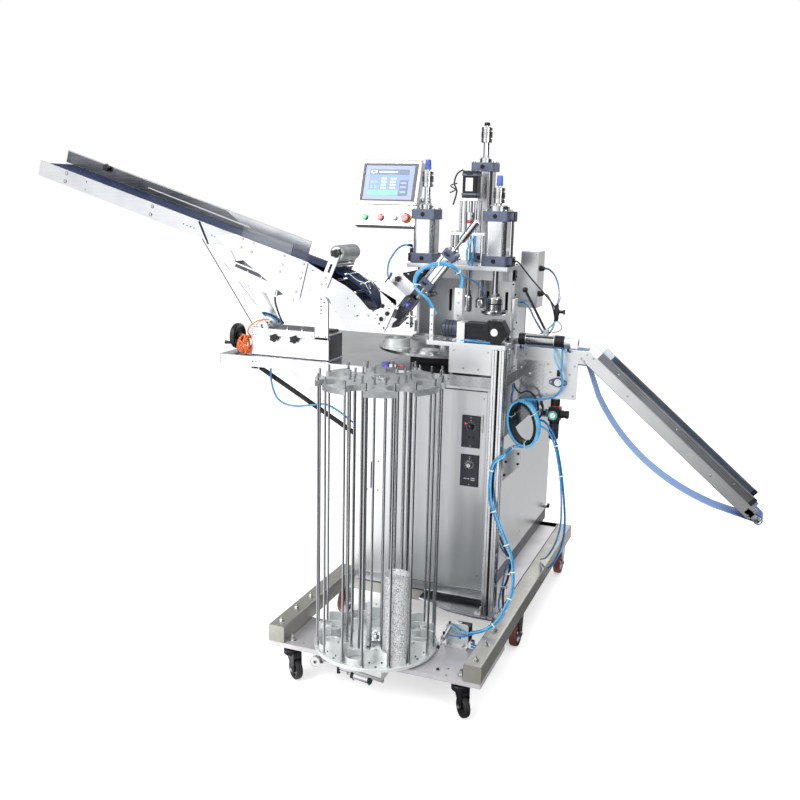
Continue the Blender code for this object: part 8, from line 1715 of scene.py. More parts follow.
    def band(grow):
        over = [(kneeX + 0.27 * a * 1.09, kneeZ - 0.156 * b * 1.04 + grow) for a,
            b in ((0.05, 0.035), (0.12, 0.066), (0.2, 0.1), (0.28, 0.141), (0.36, 0.185), (0.44, 0.24),
            (0.52, 0.3), (0.6, 0.386), (0.68, 0.48), (0.75, 0.567), (0.82, 0.66))]
        reach = (0.01 + 0.0003) / cos(radians(14))
        noseArc = ringPoints(nose, reach + grow, 14, 52, -110)
        under = [along(length * 0.02, 0.004 + 0.031 + grow + 0.0003)]
        tailArc = ringPoints(tail, 0.0155 + grow, 14, 90 - 16.45, 270 - 16.45)
        return [along(0, 0.004 - grow)] + over + noseArc + under + tailArc[::-1]
    belt = newPiece("infeedBelt")
    put(belt, closedBand(band(0.003), band(0.0), front + 0.009, back - 0.004), pvcBelt)
    ready(belt, "navy_belt", "infeed_belt")

    roller = newPiece("noseRoller")
    profile = [(0, 0), (0.0042, 0), (0.005, 0.0006), (0.005, 0.006), (0.0094, 0.006), (0.01, 0.0068),
        (0.01, 0.1432), (0.0094, 0.144), (0.005, 0.144), (0.005, 0.1494), (0.0042, 0.15), (0, 0.15)]
    put(roller, turned(profile, (nose[0], front, nose[1]), (0, 1, 0), 40), chromedBar)
    put(roller, solid([(0.0088, -0.003), (0.01, -0.0016), (0.01, 0.0001)], (nose[0], front - 0.0008, nose[1]),
        (0, 1, 0), 36), mouldedAbs)
    ready(roller, "ground_steel", "infeed_roller", body="belt_roller")

    press = newPiece("pressDrum")
    low, wide = front + 0.002, 0.145 + 0.005 - 0.004
    put(press, solid([(0.0262, 0), (0.028, 0.0016), (0.028, wide - 0.0016), (0.0262, wide)],
        (drum[0], low, drum[1]), (0, 1, 0), 72), rollerGrey)
    put(press, turned([(0.012, -0.0004), (0.0225, -0.0004), (0.0225, 0.0008), (0.012, 0.0008)],
        (drum[0], low, drum[1]), (0, 1, 0), 48), turnedSteel)
    put(press, rod((drum[0], front - 0.02, drum[1]), (drum[0], back + 0.011, drum[1]), 0.0059, 24),
        chromedBar)
    putAll(press, starKnob(drum[0], front - 0.021, drum[1], front - 0.006), mouldedAbs)
    ready(press, "grey_cap_enamel", "press_drum", body="press_drum")


def buildInfeedBase():
    low = 1.05
    top = low + 0.105
    base = newPiece("infeedBase")
    put(base, [block((-0.688, 0.43, low), (-0.365, 0.55, top - 0.01)),
        block((-0.688, 0.42, top - 0.025), (-0.419, 0.55, top))], anodised, 0.0012)
    # painted shade: a dark skin over the top and the right end, a dark line under the top lip and a strip
    # along the foot
    put(base, block((-0.6875, 0.436, top - 0.0008), (-0.4195, 0.549, top + 0.0002)), paintedShadePlate)
    put(base, block((-0.366, 0.434, low + 0.004), (-0.3645, 0.546, top - 0.012)), paintedShadePlate, 0.0005)
    put(base, block((-0.68, 0.4292, low + 0.006), (-0.376, 0.4302, top - 0.03)), anodised, 0.0004)
    put(base, block((-0.688, 0.429, top - 0.0275), (-0.419, 0.431, top - 0.0252)), deepShade)
    put(base, block((-0.688, 0.4286, low), (-0.365, 0.4304, low + 0.003)), paintedShadePlate)
    for x in (-0.585, -0.501):
        putAll(base, starKnob(x, 0.43 - 0.0224, low + 0.073, 0.431), mouldedAbs)
        put(base, solid([(0.0095, 0), (0.0095, 0.003), (0.007, 0.0045)], (x, 0.4302, low + 0.073), (0, -1, 0),
            24), zincPlate)
    ringBolts(base, ((-0.679, 1.15), (-0.679, 1.137), (-0.6029, 1.145), (-0.43, 1.14)), 0.42, 0.0032)
    for x in (-0.5369, -0.4759, -0.65):
        put(base, [rod((x, 0.437, top - 0.002), (x, 0.437, top + 0.013), 0.0032, 18),
            hexNut((x, 0.437, top - 0.0004), (0, 0, 1), 0.0058, 0.004)], zincPlate)
    # upright with a round head and a column of holes
    right = -0.412 + 0.054
    outline = [(-0.412, top - 0.025), (right, top - 0.025)] + ringPoints((-0.385, 1.2897 - 0.027), 0.027, 20,
        0, 180)
    put(base, plate(outline, "Y", 0.4097, 0.4197), anodised, 0.0012)
    for x, z in ((-0.3862, 1.2801), (-0.374, 1.2676), (-0.3861, 1.2533), (-0.386, 1.2408), (-0.386, 1.2278)):
        put(base, disc(0.0032, 0.0005, (x, 0.4098, z), (0, -1, 0), 18), deepShade)
    for x in (-0.397, -0.37):
        putAll(base, ringBolt(x, 0.4097, 1.143, radius=0.0036), zincPlate)
    put(base, block((-0.412, 0.4097, top - 0.025), (right, 0.431, top - 0.015)), anodised, 0.0008)
    # black air block at the back of the base
    put(base, block((-0.48, 0.5, top - 0.011), (-0.38, 0.5495, top)), blackOxide, 0.001)
    ready(base, "brushed_stainless", "infeed_base")

    wheel = newPiece("handwheel")
    hub, y, z = -0.793, 0.49, 1.1077
    put(wheel, solid([(0.012, 0.002), (0.013, 0.0), (0.0441, 0.0), (0.0475, 0.0018), (0.049, 0.0066),
        (0.049, 0.015), (0.047, 0.0195), (0.0417, 0.022), (0.038, 0.0205), (0.03, 0.0132), (0.018, 0.0132),
        (0.016, 0.02)], (hub, y, z), (1, 0, 0), 72), mouldedAbs)
    for i in range(3):
        angle = tau * i / 3 + 0.5
        put(wheel, disc(0.0085, 0.0006, (hub - 0.0003, y + 0.027 * cos(angle), z + 0.027 * sin(angle)),
            (-1, 0, 0), 24), deepShade)
    put(wheel, rod((hub + 0.018, y, z), (-0.688 + 0.0515, y, z), 0.0059, 24), chromedBar)
    put(wheel, solid([(0.013, 0), (0.013, 0.012), (0.0115, 0.0135)], (hub + 0.075, y, z), (1, 0, 0), 32),
        turnedSteel)
    put(wheel, rod((hub + 0.001, 0.46305, 1.0832), (hub - 0.03, 0.46305, 1.0832), 0.0049, 24, tip=0.007),
        mouldedAbs)
    put(wheel, disc(0.0056, 0.001, (hub - 0.0293, 0.46305, 1.0832), (-1, 0, 0), 20), zincPlate)
    ready(wheel, "black_plastic", "handwheel", body="handwheel")


buildInfeed()
buildInfeedBase()

print("cutter head")
feedFrame = Matrix.Translation((-0.02, 0.5, 1.3377)) @ Matrix.Rotation(radians(-52), 4, "Y")


def feedSpot(up, across, deep=0.0):
    return feedFrame @ Vector((up, deep, across))


def buildFeed():
    head = newPiece("cutterHead")

    def add(shape, material, bevel=0.0):
        put(head, shape, material, bevel, feedFrame)
    front = -0.128 / 3
    back = 0.04
    add(block((-0.1, front, 0.016), (-0.01, back, 0.102)), anodised, 0.0014)
    add(block((-0.1002, front + 0.026, 0.0158), (-0.0098, front + 0.0272, 0.1022)), deepShade)
    for up, across in ((-0.092, 0.024), (-0.018, 0.024), (-0.018, 0.094), (-0.092, 0.094), (-0.055, 0.028)):
        add(screw((up, front + 0.0003, across), (0, -1, 0), 0.0034, 0.0016), zincPlate)
    # star knobs that clamp the cutting wheel's height
    for share in (0.25, 0.75):
        spot = feedSpot(-0.1 + 0.09 * share, 0.0848)
        putAll(head, starKnob(spot.x, 0.5 + front - 0.0135, spot.z, 0.5 + front + 0.002, 0.0112, 0.009),
            mouldedAbs)
    # black side bracket that carries the cylinder
    add(plate([(-0.013, 0.0918), (-0.013, 0.0253), (0.06, 0.0253), (0.06, 0.0329)], "Y", -0.03, 0.03),
        blackOxide, 0.0012)
    for up, across in ((0.002, 0.07), (0.002, 0.04), (0.04, 0.034)):
        add(screw((up, -0.0298, across), (0, -1, 0), 0.0032, 0.0016), zincPlate)
    add(block((-0.1, 0.412 - 0.5 + 0.0027, 0.016), (-0.046, 0.0, 0.102)), anodised, 0.001)
    # front plate with its bore and black clamp nuts
    outline = shared(-0.194, 1.3257, 0.1, 0.151, ((0.34, 0.0), (0.97, 0.2), (1.0, 0.3), (0.54, 1.0),
        (0.46, 1.005), (0.0, 0.7), (0.13, 0.5), (0.45, 0.4)))
    put(head, plate(outline, "Y", 0.4147, 0.4197), anodised, 0.0009)
    put(head, plate([(x * 0.3 + -0.14 * 0.7, z * 0.3 + 1.235 * 0.7) for x, z in outline], "Y", 0.412, 0.415),
        sheetAlong, 0.0007)
    for x, z, radius in ((-0.1515, 1.223, 0.0085), (-0.16, 1.206, 0.0034), (-0.142, 1.192, 0.0034),
            (-0.168, 1.237, 0.003), (-0.123, 1.262, 0.003), (-0.113, 1.285, 0.0034)):
        put(head, disc(radius, 0.0006, (x, 0.4122 if radius > 0.008 else 0.4148, z), (0, -1, 0), 28),
            deepShade)
    for x, z in ((-0.129, 1.244), (-0.149, 1.27)):
        put(head, hexNut((x, 0.4148, z), (0, -1, 0), 0.0082, 0.007, 0.004), mouldedAbs)
    ringBolts(head, ((-0.105, 1.276), (-0.138, 1.186), (-0.176, 1.224)), 0.4147, 0.003)
    # chute: two cheeks in painted shade and a bright floor, with its rubbing strips
    half = 0.021
    for near in (-half, half - 0.003):
        add(plate([(-0.055, -0.012), (-0.055, 0.017), (-0.1, 0.031), (-0.194, 0.0), (-0.182, -0.012)], "Y",
            near, near + 0.003), paintedShadePlate, 0.0006)
    add(block((-0.182, -half, -0.012), (-0.055, half, -0.009)), sheetAlong, 0.0005)
    for y in (-0.012, -0.004, 0.004, 0.012):
        add(rod((-0.178, y, -0.008), (-0.062, y, -0.008), 0.0014, 10), chromedBar)
    for up in (-0.07, -0.12, -0.165):
        add(rod((up, -half - 0.002, 0.004), (up, half + 0.002, 0.004), 0.0022, 14), zincPlate)
    # blue-violet optical sensor with its lead, behind the block's lower corner
    add(block((-0.096, -0.03, -0.004), (-0.074, -0.008, 0.013)), sensorBlue, 0.0015)
    add(disc(0.0042, 0.001, (-0.085, -0.03, 0.0045), (0, -1, 0), 20), screenBlue)
    add(block((-0.104, -0.026, 0.012), (-0.06, -0.014, 0.018)), zincPlate, 0.0008)
    # roller cutter and scraper bar under the block
    add(rod((-0.108, -0.036, 0.058), (-0.108, 0.036, 0.058), 0.0115, 36), chromedBar)
    for y in (-0.034, 0.034):
        add(rod((-0.108, y - 0.002, 0.058), (-0.108, y + 0.002, 0.058), 0.015, 36), blackOxide)
    add(block((-0.126, -0.034, 0.078), (-0.1, 0.034, 0.084)), sheetAlong, 0.0008)
    add(block((-0.13, -0.04, 0.03), (-0.099, -0.036, 0.096)), anodised, 0.0008)
    for across in (0.04, 0.086):
        add(screw((-0.121, -0.0398, across), (0, -1, 0), 0.003, 0.0016), blackOxide)
    # small guide plates and pins to the right of the chute
    for x, z, high in ((-0.068, 1.19, 0.058), (-0.05, 1.178, 0.04)):
        put(head, block((x, 0.47, z), (x + 0.004, 0.5, z + high)), anodised, 0.0006)
    put(head, rod((-0.082, 0.478, 1.232), (-0.046, 0.478, 1.232), 0.004, 18), chromedBar)
    put(head, rod((-0.082, 0.478, 1.206), (-0.046, 0.478, 1.206), 0.0032, 18), blackOxide)
    ready(head, "brushed_stainless", "cutter_head")

    barrel = newPiece("feedCylinder")
    for a, b, skin, half in ((0.0, 0.03, capEnamel, 0.025), (0.132, 0.162, capEnamel, 0.025),
            (0.0295, 0.1325, extrusion, 0.021)):
        put(barrel, block((a, -half, -half), (b, half, half)), skin, 0.0022, feedFrame)
    for side in (-1, 1):
        for offset in (-0.0105, 0.0105):
            put(barrel, [block((0.031, offset - 0.0012, side * 0.0206 - 0.0005),
                (0.131, offset + 0.0012, side * 0.0206 + 0.0008)),
                block((0.031, side * 0.0206 - 0.0008, offset - 0.0014),
                (0.131, side * 0.0206 + 0.0008, offset + 0.0014))], deepShade, 0, feedFrame)
    for a, b in fourCorners(0.019):
        put(barrel, screw((0.1617, a, b), (1, 0, 0), 0.0034, 0.0028), zincPlate, 0, feedFrame)
    put(barrel, turned([(0.0065, 0), (0.0125, 0), (0.0125, 0.008), (0.0112, 0.01), (0.0065, 0.01)],
        (0.1615, 0, 0), (1, 0, 0), 36), turnedSteel, 0, feedFrame)
    for up in (0.015, 0.147):
        elbow(barrel, feedSpot(up, 0, -0.0245), (0, -1, 0), feedFrame.to_3x3() @ Vector((0, 0, 1)), None,
            0.0042)
    ready(barrel, "anodised_aluminium", "feed_cylinder")

    moving = newPiece("feedRod")
    low = 0.162 + 0.01 + 0.03 + 0.01
    put(moving, rod((-0.18, 0, 0), (low + 0.002, 0, 0), 0.0059, 28), chromedBar, 0, feedFrame)
    put(moving, solid([(0.0115, 0), (0.0125, 0.0012), (0.0125, 0.03), (0.0118, 0.031), (0.0118, 0.034),
        (0.0125, 0.035), (0.0125, 0.08), (0.0112, 0.083)], (low, 0, 0), (1, 0, 0), 48), turnedSteel, 0,
        feedFrame)
    put(moving, hexNut((low - 0.0048, 0, 0), (1, 0, 0), 0.0098, 0.005), zincPlate, 0, feedFrame)
    put(moving, solid([(0.0085, 0), (0.0098, 0.004), (0.0098, 0.018), (0.006, 0.02)], (-0.18, 0, 0),
        (1, 0, 0), 28), mouldedAbs, 0, feedFrame)
    ready(moving, "ground_steel", "feed_rod", body="feed_rod")


buildFeed()

print("outfeed conveyor")
outSlope = radians(40)
outfeed = {"front": 0.604, "back": 0.696, "sheet": 0.004, "length": 0.772, "height": 0.047, "knee": 0.565,
    "top": 1.1352}
outFrame = Matrix.Translation((outfeed["knee"], 0, outfeed["top"])) @ Matrix.Rotation(outSlope, 4, "Y")


def downSlope(distance, drop):
    spot = outFrame @ Vector((distance, 0, -drop))
    return spot.x, spot.z


def buildOutfeed():
    front, back, sheet, length, height = (outfeed[key] for key in ("front", "back", "sheet", "length",
        "height"))
    knee, edge = outfeed["knee"], outfeed["top"]
    kneeBack = height * tan(outSlope / 2)
    trough = newPiece("outfeedFrame")
    side = [(0.296, edge), (knee, edge), downSlope(length, 0), downSlope(length, height),
        (knee - kneeBack, edge - height), (0.296, edge - height)]
    for low in (front, back - sheet):
        put(trough, plate(side, "Y", low, low + sheet), anodised, 0.0007)
    # turned-in lower edge of the near plate: a thin line of painted shade
    put(trough, plate([downSlope(-0.01, height - 0.0012), downSlope(length, height - 0.0012),
        downSlope(length, height + 0.0002), downSlope(-0.012, height + 0.0002)], "Y", front - 0.0004,
        front + 0.001), paintedShadePlate)
    drop = 0.01 + 0.013 + 0.003
    spots = [(0.332, edge - drop), (0.529, edge - drop)] + [downSlope(length * share,
        drop) for share in (0.25, 0.75)]
    for x, z in spots:
        put(trough, rod((x, front + 0.003, z), (x, back - 0.003, z), 0.006, 24), zincPlate)
        putAll(trough, ringBolt(x, front, z, radius=0.0034), zincPlate)
    # guide rails with a grooved face, each capped by a pale clip at its upper end
    railEnd, tailEnd = length - 0.03, length + 0.023 + 0.0066
    for near, start, wall in ((front - 0.011, -0.01, front), (back - 0.001, 0.026, back - sheet)):
        put(trough, block((start, near, -0.003), (railEnd, near + 0.012, 0.025)), railGrey, 0.0016, outFrame)
        for level in (0.004, 0.011, 0.018):
            put(trough, block((start + 0.002, near - 0.0002, level),
                (railEnd - 0.002, near + 0.0122, level + 0.0012)), deepShade, 0, outFrame)
        put(trough, block((start - 0.0004, near - 0.0006, -0.0034), (start + 0.04, near + 0.0126, 0.0254)),
            paleClip, 0.0012, outFrame)
        put(trough, block((railEnd - 0.016, near - 0.0004, -0.003), (railEnd, near + 0.0124, 0.0252)),
            mouldedAbs, 0.0012, outFrame)
        put(trough, block((railEnd, wall, -0.026 - 0.011), (tailEnd, wall + sheet, -0.026 + 0.011)), anodised,
            0.001, outFrame)
    for distance in (0.12, 0.39, 0.65):
        put(trough, screw((distance, front - 0.0108, 0.011), (0, -1, 0), 0.003, 0.0016), zincPlate, 0,
            outFrame)
    ringBolts(trough, ((0.548, edge - 0.012), (0.571, edge - 0.024), (0.54, edge - 0.036),
        downSlope(length - 0.012, 0.012), downSlope(length - 0.012, 0.036), downSlope(length + 0.01, 0.02),
        (0.312, edge - 0.012), (0.312, edge - 0.034)), front, 0.0032)
    # tensioner block at the tail
    x, z = downSlope(length + 0.014, 0.026)
    put(trough, hexNut((x, front - 0.0002, z), (0, -1, 0), 0.0078, 0.005, 0.003), zincPlate)
    # saddle plate with slot, flange bearing and bolts
    top = edge - height + 0.004
    low, near = top - 0.134, front - sheet
    outline = [(0.402, low + 0.004), (0.406, low), (0.516, low), (0.52, low + 0.004), (0.52, top),
        (0.402, top)]
    slotZ = low + 0.08 + 0.012
    put(trough, plate(outline, "Y", near, front + 0.001), anodised, 0.0009)
    put(trough, block((0.447, near - 0.0003, slotZ - 0.012), (0.459, near + 0.0002, slotZ + 0.012)),
        deepShade)
    bearingZ = low + 0.059
    flange = [(0.4207, bearingZ - 0.0065), (0.44, bearingZ - 0.015), (0.466, bearingZ - 0.015),
        (0.4853, bearingZ - 0.0065), (0.4853, bearingZ + 0.0065), (0.466, bearingZ + 0.015),
        (0.44, bearingZ + 0.015), (0.4207, bearingZ + 0.0065)]
    put(trough, plate(flange, "Y", near - 0.003, near + 0.0002), capEnamel, 0.0012)
    put(trough, turned([(0.0095, 0), (0.019, 0), (0.0175, 0.004), (0.013, 0.005), (0.0095, 0.005)],
        (0.453, near + 0.001, bearingZ), (0, -1, 0), 48), capEnamel)
    put(trough, disc(0.0095, 0.0082, (0.453, near + 0.0002, bearingZ), (0, -1, 0), 36, tip=0.009),
        turnedSteel)
    put(trough, turned([(0.0096, 0.0002), (0.0124, 0.0002), (0.0124, 0.006), (0.0096, 0.006)],
        (0.453, near + 0.0002, bearingZ), (0, -1, 0), 36), chromedBar)
    for dx in (-0.0255, 0.0255):
        putAll(trough, ringBolt(0.453 + dx, near - 0.003, bearingZ, radius=0.0034), zincPlate)
    ringBolts(trough, ((0.414, top - 0.012), (0.508, top - 0.012), (0.414, low + 0.014), (0.508, low + 0.014),
        (0.492, top - 0.044), (0.424, top - 0.04)), near, 0.0034)
    # brace plate down to the cabinet
    cabinetRight, tableRight, under = 0.2523, 0.3006, 1.0094
    plateLow = edge - height + 0.001
    brace = [(tableRight, plateLow), (0.406, plateLow), (0.406, under - 0.065), (cabinetRight, under - 0.23),
        (cabinetRight, under), (tableRight, under)]
    put(trough, plate(brace, "Y", front, front + sheet, [((0.35, 1.04), 0.0042), ((0.38, 1.01), 0.0034),
        ((0.318, 1.06), 0.0034)]), sheetAlong, 0.0009)
    ringBolts(trough, ((0.265, 0.985), (0.265, 0.92), (0.265, 0.85), (0.33, 1.075), (0.385, 1.075)), front,
        0.0034)
    ready(trough, "brushed_stainless", "outfeed_frame")

    end = downSlope(length + 0.023, 0.026)
    roller = newPiece("outfeedRoller")
    wide = 0.092
    put(roller, solid([(0.0054, 0), (0.006, 0.0006), (0.006, 0.005), (0.0112, 0.005), (0.012, 0.006),
        (0.012, wide - 0.006), (0.0112, wide - 0.005), (0.006, wide - 0.005), (0.006, wide - 0.0006),
        (0.0054, wide)], (end[0], front, end[1]), (0, 1, 0), 48), acetalWhite)
    put(roller, solid([(0.0045, -0.002), (0.005, -0.0012), (0.005, 0.0002)], (end[0], front, end[1]),
        (0, 1, 0), 28), chromedBar)
    ready(roller, "ground_steel", "outfeed_roller", body="outfeed_roller")

    def band(grow):
        level = edge - 0.01 - 0.003 + grow
        reach = (0.012 + 0.0003) / cos(radians(14)) + grow
        first = (0.296 + 0.0144, edge - 0.01 - 0.003 - 0.012)
        headArc = ringPoints(first, 0.012 + grow, 12, 90, 270)
        over = [(0.52, level), (0.545, level - 0.0004), (knee, level - 0.003), downSlope(0.025, 0.013 - grow)]
        tailArc = ringPoints(end, reach, 14, 50, -155)
        sag = []
        for i in range(19):
            share = 0.86 - 0.7 * i / 18
            sag.append(downSlope(length * share, height + 0.11 * 4 * share * (1 - share) + grow))
        sag.append((knee - kneeBack, edge - height - 0.003 - grow))
        sag.append((0.402, edge - height - grow))
        return headArc[::-1] + over + tailArc + sag
    belt = newPiece("outfeedBelt")
    put(belt, closedBand(band(0.003), band(0.0), front + 0.006, back - 0.006), urethaneBelt)
    ready(belt, "light_blue_belt", "outfeed_belt")


def buildPusher():
    y, level, x = 0.6, 1.1637, 0.292
    barrel = newPiece("pusherCylinder")
    put(barrel, plate([(0.56, 1.05), (0.603, 1.05), (0.603, 1.305), (0.56, 1.305)], "X", 0.284, x,
        [((0.581, 1.285), 0.0045), ((0.581, 1.245), 0.004)]), anodised, 0.001)
    for yy, z in ((0.567, 1.062), (0.596, 1.062), (0.567, 1.13), (0.567, 1.2), (0.596, 1.22)):
        put(barrel, screw((x - 0.0003, yy, z), (1, 0, 0), 0.003, 0.0026), blackOxide)
    # satin tube with bright end caps, and dark bands beside them
    put(barrel, rod((x - 0.001, y, level), (0.492, y, level), 0.0206, 56), satinBar)
    # dark sensor rails along the tube, above and below its bright line
    for degrees in (38, -30):
        dy, dz = -0.0186 * cos(radians(degrees)), 0.0186 * sin(radians(degrees))
        put(barrel, rod((0.332, y + dy, level + dz), (0.432, y + dy, level + dz), 0.0042, 16), mouldedAbs)
    for a, b in ((0.306, 0.33), (0.4345, 0.4695)):
        put(barrel, rod((a, y, level), (b, y, level), 0.0209, 56), blackOxide)
    for a, b, radius, skin in ((x - 0.0005, 0.306, 0.021, anodised), (0.33, 0.3335, 0.0209, anodised),
            (0.43, 0.434, 0.0209, anodised), (0.47, 0.493, 0.021, anodised)):
        put(barrel, solid([(radius - 0.0008, 0), (radius, 0.0008), (radius, b - a - 0.0008),
            (radius - 0.0008, b - a)], (a, y, level), (1, 0, 0), 56), skin)
    put(barrel, solid([(0.022, 0), (0.023, 0.0012), (0.023, 0.021), (0.0215, 0.024), (0.015, 0.025)],
        (0.492, y, level), (1, 0, 0), 56), acetalWhite)
    put(barrel, disc(0.009, 0.0006, (0.5168, y, level), (1, 0, 0), 32), deepShade)
    pinZ = level + 0.021 + 0.008 + 0.002
    for side in (-1, 1):
        near, far = y + side * 0.0053, y + side * 0.0093
        put(barrel, block((0.392, min(near, far), level + 0.0105), (0.408, max(near, far), pinZ + 0.008)),
            zincPlate, 0.0007)
    put(barrel, rod((0.4, y - 0.0093, pinZ), (0.4, y + 0.0093, pinZ), 0.0028, 18), chromedBar)
    put(barrel, hexNut((0.4, y - 0.0092, pinZ), (0, -1, 0), 0.005, 0.003), zincPlate)
    for xx in (0.312, 0.482):
        elbow(barrel, (xx, y, level - 0.02), (0, 0, -1), (0.6, -0.8, 0), None, 0.0042)
    ready(barrel, "blackened_steel", "pusher_cylinder")
    moving = newPiece("pusherRod")
    put(moving, rod((0.262, y, level), (0.417, y, level), 0.0059, 28), chromedBar)
    put(moving, solid([(0.0095, 0), (0.011, 0.0014), (0.011, 0.0106), (0.0095, 0.012)], (0.256, y, level),
        (1, 0, 0), 40), nitrileRubber)
    ready(moving, "ground_steel", "pusher_rod", body="pusher")

    lever = newPiece("ballLever")
    lean = radians(30)
    tip = Vector((0.4 - 0.165 * sin(lean), y, pinZ + 0.165 * cos(lean)))
    pin = Vector((0.4, y, pinZ))
    put(lever, [turned([(0.0033, 0), (0.0074, 0), (0.008, 0.0006), (0.008, 0.0094), (0.0074, 0.01),
        (0.0033, 0.01)], (0.4, y - 0.005, pinZ), (0, 1, 0), 36), rod(pin.lerp(tip, 0.036), tip, 0.0042, 20),
        rod(pin.lerp(tip, 0.86), pin.lerp(tip, 0.93), 0.0046, 20)], blackOxide)
    put(lever, ballAt(tip, 0.0098), mouldedAbs)
    ready(lever, "black_plastic", "ball_lever", body="ball_lever")


def buildAirUnit():
    x, y, z = 0.44, 0.64, 0.8947
    unit = newPiece("airUnit")
    low, high, front = z - 0.026, z + 0.026, y - 0.021
    put(unit, block((x - 0.021, front, low), (x + 0.021, y + 0.021, high)), mouldedAbs, 0.0035)
    put(unit, block((x - 0.0212, front + 0.006, low + 0.006), (x + 0.0212, y + 0.015, low + 0.012)),
        blackOxide, 0.001)
    # pull-up adjusting knob with ribs, and the red lock ring under it
    put(unit, solid([(0.015, 0), (0.0158, 0.001), (0.0158, 0.005)], (x, y, high - 0.0006), sides=40), redCap)
    put(unit, turned([(0, 0.0045), (0.016, 0.0045), (0.017, 0.006), (0.0164, 0.026), (0.015, 0.0292),
        (0.011, 0.03), (0, 0.0298)], (x, y, high - 0.0002), sides=48), mouldedAbs)
    for i in range(20):
        angle = tau * i / 20
        a, b = x + 0.0163 * cos(angle), y + 0.0163 * sin(angle)
        put(unit, rod((a, b, high + 0.007), (a, b, high + 0.0255), 0.0007, 6), mouldedAbs)
    put(unit, solid([(0.0055, 0), (0.0108, 0.004), (0.018, 0.01), (0.018, 0.072), (0.0172, 0.076)],
        (x, y, low - 0.0748), sides=48), smokedBowl)
    put(unit, [turned([(0.0178, 0), (0.0186, 0.0006), (0.0186, 0.009), (0.0178, 0.0096)], (x, y, low - 0.011),
        sides=48), turned([(0, 0), (0.0044, 0), (0.0052, 0.0012), (0.0052, 0.005), (0, 0.0052)],
        (x, y, low - 0.074), (0, 0, 1), 24)], mouldedAbs)
    # gauge: black case, clear ring, teal dial and pointer
    put(unit, solid([(0.0192, 0), (0.02, 0.001), (0.02, 0.016), (0.0188, 0.018), (0.0172, 0.0182),
        (0.0168, 0.0165)], (x, front + 0.0005, z), (0, -1, 0), 56), mouldedAbs)
    put(unit, disc(0.0166, 0.0004, (x, front - 0.0158, z), (0, -1, 0), 48), gaugeFace)
    put(unit, disc(0.01, 0.0004, (x, front - 0.0161, z), (0, -1, 0), 40), whiteCap)
    for i in range(11):
        angle = radians(-40 + 26 * i)
        a, b = cos(angle), sin(angle)
        put(unit, rod((x + 0.012 * a, front - 0.0165, z + 0.012 * b),
            (x + 0.015 * a, front - 0.0165, z + 0.015 * b), 0.0004, 6), deepShade)
    put(unit, rod((x - 0.003, front - 0.0168, z - 0.003), (x + 0.009, front - 0.0168, z + 0.0085), 0.0005, 8),
        redCap)
    put(unit, solid([(0.014, 0), (0.015, 0.0012), (0.015, 0.01), (0.013, 0.012), (0.013, 0.018),
        (0.015, 0.02), (0.015, 0.0285), (0.0138, 0.03)], (x + 0.0205, y, z), (1, 0, 0), 48), mouldedAbs)
    for i in range(16):
        angle = tau * i / 16
        put(unit, rod((x + 0.0415, y + 0.0146 * cos(angle), z + 0.0146 * sin(angle)),
            (x + 0.049, y + 0.0146 * cos(angle), z + 0.0146 * sin(angle)), 0.0008, 6), mouldedAbs)
    put(unit, rod((x - 0.046, y, z), (x - 0.02, y, z), 0.0105, 30), zincPlate)
    elbow(unit, (x - 0.034, y - 0.0085, z), (0, -1, 0), (0, 0, 1), paleHose, 0.0052)
    put(unit, block((0.2525, y - 0.003, z - 0.015), (x - 0.0205, y + 0.003, z + 0.015)), zincPlate, 0.0008)
    put(unit, block((0.2525, y - 0.03, z - 0.03), (0.2583, y + 0.03, z + 0.03)), sheetUpright, 0.001)
    for a, b in fourCorners(0.021):
        put(unit, screw((0.2581, y + a, z + b), (1, 0, 0), 0.0036, 0.003), zincPlate)
    ready(unit, "black_plastic", "air_regulator")


buildOutfeed()
buildPusher()
buildAirUnit()

print("hoses and cables")
hoseSizes = {"bundle": 0.003, "thin": 0.0034, "cable": 0.003, "orange": 0.0028}


def hoseRun(piece, points, radius, material, sides=12, step=0.006):
    put(piece, tube(smoothPath(points, step), radius, sides), material)


def tie(piece, place, direction, radius):
    # nylon cable tie: a narrow band with its lock
    place, direction = Vector(place), Vector(direction).normalized()
    band = [(radius, -0.002), (radius + 0.0009, -0.002), (radius + 0.0009, 0.002), (radius, 0.002)]
    put(piece, turned(band, place, direction, 20), nylonTie)
    side = direction.orthogonal().normalized()
    put(piece, rod(place + side * radius, place + side * (radius + 0.006), 0.0017, 8), nylonTie)


